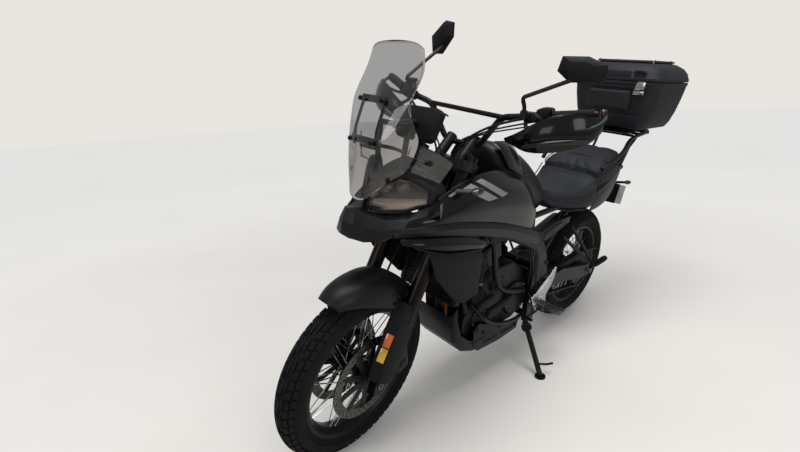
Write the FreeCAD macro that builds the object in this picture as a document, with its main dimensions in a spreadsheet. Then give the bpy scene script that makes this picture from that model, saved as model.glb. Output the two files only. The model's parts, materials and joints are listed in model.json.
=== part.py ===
# Adventure motorcycle, about 2.2 m long, leaning on its side stand with the bars a little to the left.
# Every piece is modelled straight and upright, in one of these frames, and then set to the parked attitude:
#   bike  : origin on the ground below the rear axle, X forward, Y left, Z up
#   fork  : origin on the steering axis beside the front axle, Z up the axis, X forward
#   wheel : origin at the hub's centre, Y along the axle
import FreeCAD, Part
import math
import os
from types import SimpleNamespace

import Sketcher
from FreeCAD import Placement, Rotation, Vector

os.makedirs("parts", exist_ok=True)
doc = FreeCAD.newDocument("AdventureMotorcycle")

# Driving dimensions, in millimetres and degrees
SIZES = (
    # stance
    ("wheelbase", 1475), ("rake", 26.5), ("trail", 108), ("lean_angle", 8), ("rest_steer", 8),
    ("running_gap", 0.05), ("seat_gap", 0.3),
    # wheels
    ("front_tyre_radius", 329), ("front_tyre_width", 110), ("front_rim_radius", 241), ("front_rim_width", 76),
    ("rear_tyre_radius", 321), ("rear_tyre_width", 150), ("rear_rim_radius", 216), ("rear_rim_width", 114),
    ("rim_flange", 11), ("rim_flange_thickness", 5), ("rim_depth", 17), ("rim_edge_depth", 9),
    ("rim_well_width", 30), ("spoke_count", 36), ("spoke_radius", 2.2), ("spoke_cross", 42),
    ("hub_radius", 27), ("hub_flange_radius", 45), ("hub_flange_thickness", 6),
    ("front_hub_width", 116), ("rear_hub_width", 166), ("front_flange_spacing", 62), ("rear_flange_spacing", 76),
    ("axle_radius", 12), ("axle_bore_radius", 7),
    ("front_disc_radius", 158), ("rear_disc_radius", 120), ("disc_band", 38), ("disc_thickness", 5),
    ("front_disc_offset", 61), ("rear_disc_offset", 86), ("carrier_arm_width", 18), ("carrier_arms", 6),
    # chain drive
    ("chain_offset", 96), ("chain_pitch", 15.875), ("rear_sprocket_teeth", 42), ("front_sprocket_teeth", 15),
    ("chain_roller_radius", 5.1), ("chain_width", 20), ("chain_plate", 2.6), ("chain_plate_height", 15),
    ("sprocket_thickness", 7), ("front_sprocket_x", 585), ("front_sprocket_z", 355),
    # fork and steering
    ("fork_clamp_offset", 36), ("fork_half_spacing", 105), ("fork_tube_radius", 27), ("fork_slider_radius", 21.5),
    ("fork_tube_bottom", 236), ("fork_tube_top", 838), ("clamp_boss_radius", 37), ("clamp_thickness", 34),
    ("clamp_web", 60), ("lower_clamp_height", 575), ("upper_clamp_height", 800), ("stem_radius", 16),
    ("head_tube_radius", 33), ("foot_height", 80), ("foot_width", 32), ("foot_depth", 64),
    ("bar_radius", 11), ("bar_clamp_height", 894), ("bar_clamp_forward", -40), ("bar_bend_y", 148),
    ("bar_bend_height", 998), ("bar_bend_forward", 20), ("control_y", 232), ("control_height", 1012),
    ("control_forward", 29), ("bar_end_y", 424), ("bar_end_height", 1080), ("bar_end_forward", -30),
    ("bar_bend", 55), ("crossbar_radius", 6), ("riser_spacing", 96), ("riser_radius", 20),
    ("grip_radius", 16.5), ("grip_length", 122),
    # main frame
    ("spar_radius", 21), ("spar_half_spacing", 128), ("head_spar_height", 690), ("knee_x", 540), ("knee_z", 590),
    ("pivot_x", 548), ("pivot_z", 372), ("pivot_bolt_radius", 12), ("pivot_plate_thickness", 26),
    ("cradle_radius", 16), ("cradle_low_x", 930), ("cradle_low_z", 236), ("cradle_half_spacing", 96),
    ("seat_rail_radius", 13), ("seat_rail_half_spacing", 92), ("rail_front_z", 742), ("rail_rear_x", -250),
    ("rail_rear_z", 856), ("strut_x", 230), ("strut_z", 752),
    # swingarm
    ("arm_height", 64), ("arm_thickness", 28), ("arm_half_spacing", 126), ("arm_slot_length", 40),
    ("arm_bridge_x", 395), ("arm_bridge_width", 60),
    # engine
    ("engine_width", 236), ("crankcase_front", 985), ("crankcase_rear", 585), ("crankcase_low", 250),
    ("crankcase_high", 520), ("cylinder_tilt", 18), ("cylinder_length", 250), ("cylinder_depth", 190),
    ("cylinder_width", 206), ("cover_radius", 82), ("cover_depth", 44), ("fin_count", 6),
    ("radiator_width", 300), ("radiator_height", 250), ("radiator_depth", 32), ("radiator_x", 1095),
    ("radiator_z", 625), ("radiator_tilt", 14), ("header_radius", 19), ("header_spacing", 84),
    ("silencer_radius", 58), ("silencer_length", 380), ("silencer_x", -70), ("silencer_y", -206),
    ("silencer_z", 400), ("silencer_tilt", 16), ("skid_front_x", 1085), ("skid_front_z", 372),
    ("skid_low_x", 850), ("skid_low_z", 196), ("skid_rear_x", 640), ("skid_half_width", 132), ("skid_wall", 3),
    # bodywork
    ("tank_front_x", 915), ("tank_rear_x", 500), ("tank_peak_x", 760), ("tank_top_z", 1076), ("tank_rear_z", 880),
    ("tank_low_z", 800), ("tank_half_width", 150), ("tank_waist", 105),
    ("shroud_half_width", 214), ("shroud_thickness", 5), ("shroud_front_x", 1420), ("shroud_front_z", 858),
    ("shroud_tip_x", 1250), ("shroud_tip_z", 782), ("shroud_rear_x", 780), ("shroud_peak_z", 1010),
    ("beak_tip_x", 1520), ("beak_tip_z", 846), ("beak_half_width", 128), ("beak_rear_x", 1330),
    ("beak_top_z", 950), ("beak_low_z", 805),
    ("screen_low_x", 1437), ("screen_low_z", 958), ("screen_mid_x", 1462), ("screen_mid_z", 1138),
    ("screen_top_x", 1326), ("screen_top_z", 1407), ("screen_half_width", 138), ("screen_top_half_width", 108),
    ("screen_foot_half_width", 108), ("screen_curve", 2000), ("screen_thickness", 4),
    ("dash_x", 1222), ("dash_z", 1172), ("dash_width", 178), ("dash_height", 108), ("dash_depth", 24),
    ("dash_tilt", 24),
    # seat and tail
    ("seat_step_x", 145), ("seat_step_z", 850), ("seat_front_x", 505), ("seat_low_z", 822), ("seat_half_width", 158),
    ("seat_nose_half_width", 88), ("pillion_rear_x", -148), ("pillion_front_z", 904), ("pillion_rear_z", 966),
    ("pillion_half_width", 132), ("seat_base_gap", 62),
    # luggage
    ("case_front_x", -150), ("case_length", 400), ("case_width", 470), ("case_low_z", 1084), ("case_height", 318),
    ("case_seam", 222), ("case_wall", 4), ("case_corner", 46), ("case_rear_rise", 56), ("case_top_fall", 44),
    ("rack_tube_radius", 9), ("rack_z", 1052), ("rack_half_width", 110),
    # stand, pegs
    ("stand_pivot_x", 580), ("stand_pivot_y", 150), ("stand_pivot_z", 198), ("stand_foot_x", 654),
    ("stand_foot_y", 289), ("stand_leg_radius", 12), ("stand_eye_radius", 19),
    ("stand_eye_half_width", 8), ("stand_side_gap", 0.4), ("stand_lug_thickness", 7),
    ("tank_room_scale", 1.004), ("stand_shoulder_radius", 30), ("stand_bolt_radius", 8), ("stand_prong_from", 170), ("stand_foot_radius", 24), ("stand_foot_thickness", 8),
    ("peg_x", 486), ("peg_z", 286), ("peg_y", 158), ("peg_length", 104), ("peg_width", 40), ("peg_height", 18),
)

sheet = doc.addObject("Spreadsheet::Sheet", "Dim")
for row, (alias, value) in enumerate(SIZES, start=1):
    sheet.set(f"A{row}", alias)
    sheet.set(f"B{row}", str(value))
    sheet.setAlias(f"B{row}", alias)
doc.recompute()
dim = SimpleNamespace(**{alias: float(sheet.get(alias)) for alias, value in SIZES})

ORIGIN = Vector(0, 0, 0)
X_AXIS = Vector(1, 0, 0)
Y_AXIS = Vector(0, 1, 0)
Z_AXIS = Vector(0, 0, 1)


# Attitude: the fork frame, the lean on the stand, and the wheels' centres
def turn(axis, degrees):
    return Placement(ORIGIN, Rotation(axis, degrees))


def shift(x=0, y=0, z=0):
    return Placement(Vector(x, y, z), Rotation())


rake = math.radians(dim.rake)
fork_offset = dim.front_tyre_radius * math.sin(rake) - dim.trail * math.cos(rake)
LEAN = Placement(ORIGIN, Rotation(X_AXIS, -dim.lean_angle), Vector(0, 0, dim.rear_tyre_width / 2))
fork_origin = Vector(dim.wheelbase - fork_offset * math.cos(rake), 0,
                     dim.front_tyre_radius - fork_offset * math.sin(rake))
head_raw = Placement(fork_origin, Rotation(Y_AXIS, -dim.rake))
STEER = turn(Z_AXIS, dim.rest_steer)


def front_contact_height(head):
    """Height of the front tyre's lowest point, with its crown an arc of half its width."""
    fork = LEAN * head * STEER
    centre = fork.multVec(Vector(fork_offset, 0, 0))
    axle = fork.Rotation.multVec(Y_AXIS)
    crown = dim.front_tyre_width / 2
    return centre.z - (dim.front_tyre_radius - crown) * math.sqrt(1 - axle.z ** 2) - crown


# The leaned, turned front wheel settles along the steering axis until it meets the ground.
steer_axis = LEAN.Rotation.multVec(head_raw.Rotation.multVec(Z_AXIS))
fork_settle = -front_contact_height(head_raw) / steer_axis.z
HEAD = head_raw * shift(z=fork_settle)
FORK = LEAN * HEAD * STEER
FRONT_WHEEL = FORK * shift(x=fork_offset)
REAR_WHEEL = LEAN * shift(z=dim.rear_tyre_radius)

nodes = {}


def node(label, item, frame=LEAN):
    """Names a finished piece and notes the frame it was modelled in."""
    item.Label = label
    nodes[label] = (item, frame)
    return item


# Modelling helpers
def value(text):
    return float(sheet.evalExpression(str(text)))


def bind(item, **texts):
    for name, text in texts.items():
        item.setExpression(name.replace("_", "."), str(text))
    return item


def place(item, x=0, y=0, z=0, axis=Z_AXIS, degrees=0):
    """Turns a primitive and binds its position to the sheet."""
    item.Placement = turn(axis, degrees)
    bind(item, Placement_Base_x=x, Placement_Base_y=y, Placement_Base_z=z)
    return item


def along_y(item, x=0, y=0, z=0):
    return place(item, x, y, z, X_AXIS, -90)


def cylinder(name, radius, height):
    return bind(doc.addObject("Part::Cylinder", name), Radius=radius, Height=height)


def box(name, length, width, height):
    return bind(doc.addObject("Part::Box", name), Length=length, Width=width, Height=height)


def joined(name, *items):
    result = doc.addObject("Part::MultiFuse", name)
    result.Shapes = list(items)
    result.Refine = False
    return result


def cut(name, base, tool):
    result = doc.addObject("Part::Cut", name)
    result.Base = base
    result.Tool = tool
    result.Refine = False
    return result


def grouped(name, *items):
    result = doc.addObject("Part::Compound", name)
    result.Links = list(items)
    return result


def mirrored(name, item):
    result = doc.addObject("Part::Mirroring", name)
    result.Source = item
    result.Normal = Y_AXIS
    result.Base = ORIGIN
    return result


def pair(name, item):
    """A left piece and its mirror image on the right, as one node of two solids."""
    return grouped(name, item, mirrored(name + "_right", item))


def shape_of(name, shape):
    result = doc.addObject("Part::Feature", name)
    result.Shape = shape
    return result


def body(name):
    return doc.addObject("PartDesign::Body", name)


def sketch_on(owner, name, role):
    plane = next(item for item in owner.Origin.OriginFeatures if item.Role == role)
    sketch = owner.newObject("Sketcher::SketchObject", name)
    sketch.AttachmentSupport = [(plane, "")]
    sketch.MapMode = "FlatFace"
    return sketch


def constrain(sketch, kind, *arguments, text):
    index = sketch.addConstraint(Sketcher.Constraint(kind, *arguments, value(text)))
    sketch.setExpression(f"Constraints[{index}]", str(text))


def outline(sketch, points):
    """Closed outline. A point is (x, y), or (x, y, radius) where an arc that bulges outward follows it."""
    spots = [Vector(value(point[0]), value(point[1]), 0) for point in points]
    first = sketch.GeometryCount
    count = len(points)
    for number, point in enumerate(points):
        start, end = spots[number], spots[(number + 1) % count]
        if len(point) == 2:
            sketch.addGeometry(Part.LineSegment(start, end))
            continue
        radius = value(point[2])
        chord = end - start
        middle = (start + end) * 0.5
        outward = Vector(chord.y, -chord.x, 0).normalize()
        height = math.sqrt(max(radius ** 2 - chord.Length ** 2 / 4, 0))
        crown = middle + outward * (radius - height)
        sketch.addGeometry(Part.Arc(start, crown, end))
    for number, point in enumerate(points):
        follower = first + (number + 1) % count
        before = sketch.Geometry[first + number]
        end_point = 2
        start_point = 1
        if len(point) > 2 and before.FirstParameter is not None:
            if (before.StartPoint - spots[number]).Length > 1e-6:
                end_point, start_point = 1, 2
        joint = 1
        if len(points[(number + 1) % count]) > 2:
            following = sketch.Geometry[follower]
            if (following.StartPoint - spots[(number + 1) % count]).Length > 1e-6:
                joint = 2
        sketch.addConstraint(Sketcher.Constraint("Coincident", first + number, end_point, follower, joint))
        constrain(sketch, "DistanceX", -1, 1, first + number, start_point, text=point[0])
        constrain(sketch, "DistanceY", -1, 1, first + number, start_point, text=point[1])
        if len(point) > 2 and value(point[2]) > (spots[(number + 1) % count] - spots[number]).Length / 2 + 1e-3:
            constrain(sketch, "Radius", first + number, text=point[2])


def circle(sketch, radius, x=0, y=0):
    index = sketch.addGeometry(Part.Circle(Vector(value(x), value(y), 0), Z_AXIS, value(radius)))
    constrain(sketch, "Radius", index, text=radius)
    constrain(sketch, "DistanceX", -1, 1, index, 3, text=x)
    constrain(sketch, "DistanceY", -1, 1, index, 3, text=y)


def pad(owner, name, role, length, draw, symmetric=True):
    sketch = sketch_on(owner, name + "_sketch", role)
    draw(sketch)
    feature = owner.newObject("PartDesign::Pad", name)
    feature.Profile = sketch
    feature.SideType = "Symmetric" if symmetric else "One side"
    feature.setExpression("Length", str(length))
    return feature


def pocket(owner, name, role, draw):
    """Cut right through, both ways from the sketch."""
    sketch = sketch_on(owner, name + "_sketch", role)
    draw(sketch)
    feature = owner.newObject("PartDesign::Pocket", name)
    feature.Profile = sketch
    feature.SideType = "Symmetric"
    feature.Type = "ThroughAll"
    return feature


def revolve(owner, name, points, role="XY_Plane", axis="V_Axis"):
    sketch = sketch_on(owner, name + "_sketch", role)
    outline(sketch, points)
    feature = owner.newObject("PartDesign::Revolution", name)
    feature.Profile = sketch
    feature.ReferenceAxis = (sketch, [axis])
    feature.Angle = 360
    return feature


def turned(name, points):
    """A piece turned about its Y axis: points are (radius, offset along the axis)."""
    owner = body(name)
    revolve(owner, name + "_turn", points)
    return owner


def around_y(owner, feature, name, count):
    """Repeats a feature evenly about the Y axis."""
    pattern = owner.newObject("PartDesign::PolarPattern", name)
    pattern.Originals = [feature]
    axis = next(item for item in owner.Origin.OriginFeatures if item.Role == "Y_Axis")
    pattern.Axis = (axis, [""])
    pattern.Angle = 360
    pattern.setExpression("Occurrences", str(count))
    owner.Tip = pattern
    return pattern


# Shapes that need a swept path or a smooth skin
def path(points, bend):
    """Straight runs joined by tangent arcs of the given radius."""
    edges = []
    start = points[0]
    for before, corner, after in zip(points, points[1:], points[2:]):
        back = (before - corner).normalize()
        ahead = (after - corner).normalize()
        half = back.getAngle(ahead) / 2
        room = 0.48 * min((before - corner).Length, (after - corner).Length)
        reach = min(bend / math.tan(half), room)
        if math.pi / 2 - half < 0.01:
            continue
        radius = reach * math.tan(half)
        entry = corner + back * reach
        leave = corner + ahead * reach
        towards = (back + ahead).normalize()
        crown = corner + towards * (radius / math.sin(half) - radius)
        if (entry - start).Length > 1e-3:
            edges.append(Part.LineSegment(start, entry).toShape())
        edges.append(Part.Arc(entry, crown, leave).toShape())
        start = leave
    edges.append(Part.LineSegment(start, points[-1]).toShape())
    return Part.Wire(edges)


def tube(points, radius, bend=40, bore=0):
    route = path([Vector(point) for point in points], bend)
    direction = route.Edges[0].tangentAt(route.Edges[0].FirstParameter)
    start = Vector(points[0])

    def swept(size):
        ring = Part.Wire(Part.makeCircle(size, start, direction))
        return route.makePipeShell([ring], True, False)
    solid = swept(radius)
    if bore:
        solid = solid.cut(swept(bore))
    return solid


def rod(start, end, radius):
    start = Vector(start)
    run = Vector(end) - start
    return Part.makeCylinder(radius, run.Length, start, run)


def both(*shapes):
    """The shapes with their mirror images across the bike."""
    mirrors = [shape.mirror(ORIGIN, Y_AXIS) for shape in shapes]
    return list(shapes) + mirrors


def fused(shapes):
    shapes = list(shapes)
    if len(shapes) == 1:
        return shapes[0]
    return shapes[0].multiFuse(shapes[1:])


def side_plate(points, low_y, high_y):
    """A plate across the bike's side view: points are (x, z)."""
    corners = [Vector(x, low_y, z) for x, z in points]
    return Part.Face(Part.makePolygon(corners + corners[:1])).extrude(Vector(0, high_y - low_y, 0))


def ring(points):
    curve = Part.BSplineCurve()
    curve.interpolate(Points=[Vector(point) for point in points], PeriodicFlag=True)
    return Part.Wire(curve.toShape())


def polygon(points):
    corners = [Vector(point) for point in points]
    return Part.makePolygon(corners + corners[:1])


def skin(rings, ruled=False):
    return Part.makeLoft(rings, True, ruled)


def panel(rows, thickness):
    """A smooth moulded panel through rows of points on its outer face, with the wall turned inward."""
    outer = [[Vector(point) for point in row] for row in rows]
    inner = []
    for number, row in enumerate(outer):
        before = outer[max(number - 1, 0)]
        after = outer[min(number + 1, len(outer) - 1)]
        inner.append([])
        for step, point in enumerate(row):
            along = after[step] - before[step]
            sideways = row[min(step + 1, len(row) - 1)] - row[max(step - 1, 0)]
            inner[-1].append(point + along.cross(sideways).normalize() * thickness)
    skins = []
    for grid in (outer, inner):
        surface = Part.BSplineSurface()
        surface.interpolate(grid)
        skins.append(surface)
    faces = [surface.toShape() for surface in skins]
    first_u, last_u, first_v, last_v = skins[0].bounds()
    for trace in (lambda skin_: skin_.uIso(first_u), lambda skin_: skin_.uIso(last_u),
                  lambda skin_: skin_.vIso(first_v), lambda skin_: skin_.vIso(last_v)):
        faces.append(Part.makeRuledSurface(trace(skins[0]).toShape(), trace(skins[1]).toShape()))
    shell = Part.Compound(faces)
    shell.sewShape()
    solid = Part.Solid(shell.Shells[0])
    if solid.Volume < 0:
        solid.reverse()
    return solid


def line(start, end):
    return Part.LineSegment(Vector(start), Vector(end)).toShape()


def curve_through(points):
    curve = Part.BSplineCurve()
    curve.interpolate([Vector(point) for point in points])
    return curve.toShape()


# Wheels
def tyre(end):
    half = f"Dim.{end}_tyre_width / 2"
    bead = f"(Dim.{end}_rim_width / 2 - Dim.rim_flange_thickness)"
    rim = f"Dim.{end}_rim_radius"
    crown = f"Dim.{end}_tyre_radius - {half}"
    return turned(end + "_tyre", [
        (rim, "-" + bead), (f"{rim} + Dim.rim_flange", "-" + bead), (crown, "-" + half, half),
        (crown, half), (f"{rim} + Dim.rim_flange", bead), (rim, bead)])


def rim(end):
    half = f"Dim.{end}_rim_width / 2"
    bead = f"({half} - Dim.rim_flange_thickness)"
    seat = f"Dim.{end}_rim_radius"
    return turned(end + "_rim", [
        (seat, "-" + bead), (f"{seat} + Dim.rim_flange", "-" + bead), (f"{seat} + Dim.rim_flange", "-" + half),
        (f"{seat} - Dim.rim_edge_depth", "-" + half), (f"{seat} - Dim.rim_depth", "-Dim.rim_well_width / 2"),
        (f"{seat} - Dim.rim_depth", "Dim.rim_well_width / 2"), (f"{seat} - Dim.rim_edge_depth", half),
        (f"{seat} + Dim.rim_flange", half), (f"{seat} + Dim.rim_flange", bead), (seat, bead)])


def hub(end):
    half = f"Dim.{end}_hub_width / 2"
    flange = f"(Dim.{end}_flange_spacing / 2)"
    inside = f"({flange} - Dim.hub_flange_thickness)"
    bore = "Dim.axle_radius + Dim.running_gap"
    return turned(end + "_hub_core", [
        (bore, "-" + half), ("Dim.hub_radius", "-" + half), ("Dim.hub_radius", "-" + flange),
        ("Dim.hub_flange_radius", "-" + flange), ("Dim.hub_flange_radius", "-" + inside),
        ("Dim.hub_radius", "-" + inside), ("Dim.hub_radius", inside), ("Dim.hub_flange_radius", inside),
        ("Dim.hub_flange_radius", flange), ("Dim.hub_radius", flange), ("Dim.hub_radius", half), (bore, half)])


def spokes(end, rim_shape):
    """Wire spokes from both hub flanges, crossing in pairs, to the rim's edges."""
    rim_radius = getattr(dim, end + "_rim_radius")
    rim_y = getattr(dim, end + "_rim_width") / 2 - 2 * dim.rim_flange_thickness
    flange_y = (getattr(dim, end + "_flange_spacing") - dim.hub_flange_thickness) / 2
    per_side = int(dim.spoke_count / 2)
    wires = []
    for side in (-1, 1):
        for number in range(per_side):
            angle = 360 / per_side * (number + side / 4)
            cross = dim.spoke_cross if number % 2 else -dim.spoke_cross
            inner = turn(Y_AXIS, angle).multVec(Vector(dim.hub_flange_radius - 3, side * flange_y, 0))
            outer = turn(Y_AXIS, angle + cross).multVec(Vector(rim_radius - 4, side * rim_y, 0))
            wires.append(rod(inner, outer, dim.spoke_radius).cut(rim_shape))
    return wires


def sprocket(name, teeth, bore, thickness):
    """A toothed plate whose tips stop short of the chain's rollers."""
    pitch_radius = f"(Dim.chain_pitch / 2 / sin(180 / {teeth}))"
    owner = body(name)

    def draw(sketch):
        circle(sketch, f"{pitch_radius} - Dim.chain_roller_radius - 1.2")
        circle(sketch, bore)
    pad(owner, name + "_plate", "XZ_Plane", thickness, draw)
    return owner


def disc(name, radius, offset):
    """Brake disc band on a thin spider with windows."""
    owner = turned(name, [
        (f"{radius} - Dim.disc_band", f"{offset} - Dim.disc_thickness / 2"),
        (radius, f"{offset} - Dim.disc_thickness / 2"),
        (radius, f"{offset} + Dim.disc_thickness / 2"),
        (f"{radius} - Dim.disc_band", f"{offset} + Dim.disc_thickness / 2")])
    return owner


def carrier(name, radius, offset):
    """The spider that carries a disc: a ring round the hub with arms out to the band."""
    owner = body(name)

    def draw_ring(sketch):
        circle(sketch, "Dim.hub_radius + 14")
        circle(sketch, "Dim.hub_radius")
    pad(owner, name + "_ring", "XZ_Plane", "Dim.disc_thickness", draw_ring)

    def draw_arm(sketch):
        outline(sketch, [
            ("Dim.hub_radius + 8", "-Dim.carrier_arm_width / 2"),
            (f"{radius} - Dim.disc_band + 3", "-Dim.carrier_arm_width / 2"),
            (f"{radius} - Dim.disc_band + 3", "Dim.carrier_arm_width / 2"),
            ("Dim.hub_radius + 8", "Dim.carrier_arm_width / 2")])
    arm = pad(owner, name + "_arm", "XZ_Plane", "Dim.disc_thickness", draw_arm)
    around_y(owner, arm, name + "_arms", "Dim.carrier_arms")
    bind(owner, Placement_Base_y=offset)
    return owner


def wheel(end, frame):
    node(end + "_tyre", tyre(end), frame)
    rim_body = rim(end)
    core = hub(end)
    doc.recompute()
    wires = shape_of(end + "_spokes", Part.makeCompound(spokes(end, rim_body.Shape)))
    node(end + "_laced_wheel", joined(end + "_rim_and_hub", core, rim_body, wires), frame)


wheel("front", FRONT_WHEEL)
wheel("rear", REAR_WHEEL)
front_disc = joined("front_disc_left", disc("front_disc_band", "Dim.front_disc_radius", "Dim.front_disc_offset"),
                    carrier("front_carrier", "Dim.front_disc_radius", "Dim.front_disc_offset"))
node("front_brake_discs", pair("front_discs", front_disc), FRONT_WHEEL)
rear_disc = joined("rear_disc_right", disc("rear_disc_band", "Dim.rear_disc_radius", "-Dim.rear_disc_offset"),
                   carrier("rear_carrier", "Dim.rear_disc_radius", "-Dim.rear_disc_offset"))
node("rear_brake_disc", rear_disc, REAR_WHEEL)
rear_sprocket = sprocket("rear_sprocket_plate", "Dim.rear_sprocket_teeth", "Dim.hub_radius",
                         "Dim.sprocket_thickness")
rear_sprocket.setExpression("Placement.Base.y", "Dim.chain_offset")
carrier_block = turned("sprocket_carrier", [
    ("Dim.hub_radius", "Dim.rear_hub_width / 2 - 30"), ("Dim.hub_radius + 30", "Dim.rear_hub_width / 2 - 24"),
    ("Dim.hub_radius + 30", "Dim.chain_offset - Dim.sprocket_thickness / 2"),
    ("Dim.hub_radius", "Dim.chain_offset - Dim.sprocket_thickness / 2")])
node("rear_sprocket", joined("rear_sprocket_on_carrier", rear_sprocket, carrier_block), REAR_WHEEL)


# Fork and steering, in the fork frame
leg = cylinder("fork_tube", "Dim.fork_tube_radius", "Dim.fork_tube_top - Dim.fork_tube_bottom")
place(leg, "Dim.fork_clamp_offset", "Dim.fork_half_spacing", "Dim.fork_tube_bottom")
slider = cylinder("fork_slider", "Dim.fork_slider_radius", "Dim.fork_tube_bottom")
place(slider, "Dim.fork_clamp_offset", "Dim.fork_half_spacing", "0")
foot = body("fork_foot")


def draw_foot(sketch):
    outline(sketch, [
        ("Dim.fork_clamp_offset - Dim.fork_slider_radius - 6", "Dim.foot_height / 2"),
        ("Dim.fork_clamp_offset - Dim.fork_slider_radius - 6", "0"),
        (f"{fork_offset} - 18", "-Dim.foot_height / 2"), (f"{fork_offset} + 18", "-Dim.foot_height / 2"),
        (f"{fork_offset} + 26", "-6"), (f"{fork_offset} + 20", "Dim.foot_height / 2")])


pad(foot, "foot_block", "XZ_Plane", "Dim.foot_width", draw_foot)
bind(foot, Placement_Base_y="Dim.fork_half_spacing")
fork_bore = along_y(cylinder("fork_axle_bore", "Dim.axle_radius", "4 * Dim.fork_half_spacing"),
                    f"{fork_offset}", "-2 * Dim.fork_half_spacing", 0)
leg_solid = cut("fork_leg_bored", joined("fork_leg", leg, slider, foot), fork_bore)
node("fork_legs", pair("fork_leg_pair", leg_solid), FORK)

axle_half = "(Dim.fork_half_spacing + Dim.foot_width / 2 + 4)"
node("front_axle", turned("front_axle_tube", [
    ("Dim.axle_bore_radius", "-" + axle_half), ("Dim.axle_radius", "-" + axle_half),
    ("Dim.axle_radius", axle_half), ("Dim.axle_bore_radius", axle_half)]), FORK * shift(x=fork_offset))


def fork_clamp(name, height):
    """A yoke across both fork tubes, clamped round each."""
    web = box(name + "_web", "Dim.clamp_web", "2 * Dim.fork_half_spacing", "Dim.clamp_thickness")
    place(web, "Dim.fork_clamp_offset - Dim.clamp_web + 10", "-Dim.fork_half_spacing",
          f"{height} - Dim.clamp_thickness / 2")
    boss = cylinder(name + "_boss", "Dim.clamp_boss_radius", "Dim.clamp_thickness")
    place(boss, "Dim.fork_clamp_offset", "Dim.fork_half_spacing", f"{height} - Dim.clamp_thickness / 2")
    solid = joined(name + "_solid", web, boss, mirrored(name + "_boss_right", boss))
    hole = cylinder(name + "_hole", "Dim.fork_tube_radius", "2 * Dim.clamp_thickness")
    place(hole, "Dim.fork_clamp_offset", "Dim.fork_half_spacing", f"{height} - Dim.clamp_thickness")
    return cut(name + "_bored", solid, grouped(name + "_holes", hole, mirrored(name + "_hole_right", hole)))


stem = cylinder("steering_stem", "Dim.stem_radius",
                "Dim.upper_clamp_height - Dim.lower_clamp_height + Dim.clamp_thickness")
place(stem, z="Dim.lower_clamp_height - Dim.clamp_thickness / 2")
node("lower_clamp_and_stem", joined("lower_clamp_stem", fork_clamp("lower_clamp", "Dim.lower_clamp_height"),
                                    stem), FORK)
upper = fork_clamp("upper_clamp", "Dim.upper_clamp_height")
node("upper_clamp", cut("upper_clamp_on_stem", upper, stem), FORK)


def bar_points():
    """The left half of the handlebar from the middle outwards, in the fork frame."""
    middle = Vector(dim.bar_clamp_forward, 0, dim.bar_clamp_height)
    straight = Vector(dim.bar_clamp_forward, dim.riser_spacing / 2 + 22, dim.bar_clamp_height)
    bend = Vector(dim.bar_bend_forward, dim.bar_bend_y, dim.bar_bend_height)
    control = Vector(dim.control_forward, dim.control_y, dim.control_height)
    end = Vector(dim.bar_end_forward, dim.bar_end_y, dim.bar_end_height)
    return middle, straight, bend, control, end


middle, straight, bend, control, bar_end = bar_points()
flip = Vector(1, -1, 1)


def across(point):
    return Vector(point.x, -point.y, point.z)


bar_route = [across(point) for point in (bar_end, control, bend, straight)] + [straight, bend, control, bar_end]
bar = tube(bar_route, dim.bar_radius, dim.bar_bend)
brace = rod(across(bend), bend, dim.crossbar_radius)
clamp_top = dim.upper_clamp_height + dim.clamp_thickness / 2
below_clamp = Part.makeBox(400, 400, 200, Vector(-200, -200, clamp_top - 200))
risers = []
for side in (-1, 1):
    top = Vector(dim.bar_clamp_forward, side * dim.riser_spacing / 2, dim.bar_clamp_height + dim.bar_radius + 8)
    low = Vector(dim.fork_clamp_offset - dim.clamp_web / 2, side * dim.riser_spacing / 2, dim.upper_clamp_height)
    risers.append(rod(low, top, dim.riser_radius).cut(below_clamp))
node("handlebar", shape_of("handlebar_welded", fused([bar, brace] + risers)), FORK)

grip_way = (bar_end - control).normalize()
grip_start = bar_end - grip_way * dim.grip_length
grip = rod(grip_start, bar_end, dim.grip_radius).cut(bar)
node("grips", shape_of("grip_pair", Part.makeCompound(both(grip))), FORK)

switch_end = grip_start - grip_way * 2
switch_start = switch_end - grip_way * 46
switch_box = rod(switch_start, switch_end, dim.grip_radius + 7).cut(bar)
perch = rod(switch_start - grip_way * 22, switch_start - grip_way * 2, dim.bar_radius + 8).cut(bar)
lever_root = switch_start - grip_way * 12 + Vector(26, 0, 0)
lever = tube([lever_root, lever_root + grip_way * 60 + Vector(30, 0, 0), bar_end + Vector(52, -20, 0)], 6, 30)
lever_arm = rod(switch_start - grip_way * 12, lever_root + Vector(6, 0, 0), 8).cut(bar)
controls = fused([perch, lever_arm, lever])
reservoir_root = switch_start - grip_way * 12
reservoir = Part.makeCylinder(24, 46, reservoir_root + Vector(34, 0, 14))
reservoir_arm = rod(reservoir_root + Vector(8, 0, 4), reservoir_root + Vector(34, 0, 24), 8).cut(bar)
left_controls = fused([switch_box, controls])
right_controls = fused([switch_box, controls, reservoir, reservoir_arm]).mirror(ORIGIN, Y_AXIS)
node("hand_controls", shape_of("hand_control_pair", Part.makeCompound([left_controls, right_controls])), FORK)


def handguard():
    """A curved shield ahead of the lever, on an arm from the bar's end and another from beside the perch."""
    rows = []
    for along, depth, half in ((0.0, 62, 40), (0.3, 94, 62), (0.65, 98, 66), (1.0, 54, 46)):
        spot = switch_start + (bar_end + grip_way * 12 - switch_start) * along
        face = spot + Vector(depth, 0, -12)
        rows.append([face + Vector(-14, 0, half), face, face + Vector(-14, 0, -half)])
    shell = panel(rows, 4)
    outer_arm = rod(bar_end, bar_end + grip_way * 16, dim.grip_radius - 2)
    outer_strut = rod(bar_end + grip_way * 8, bar_end + grip_way * 10 + Vector(54, 0, -10), 8)
    return fused([shell, outer_arm, outer_strut])


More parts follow.
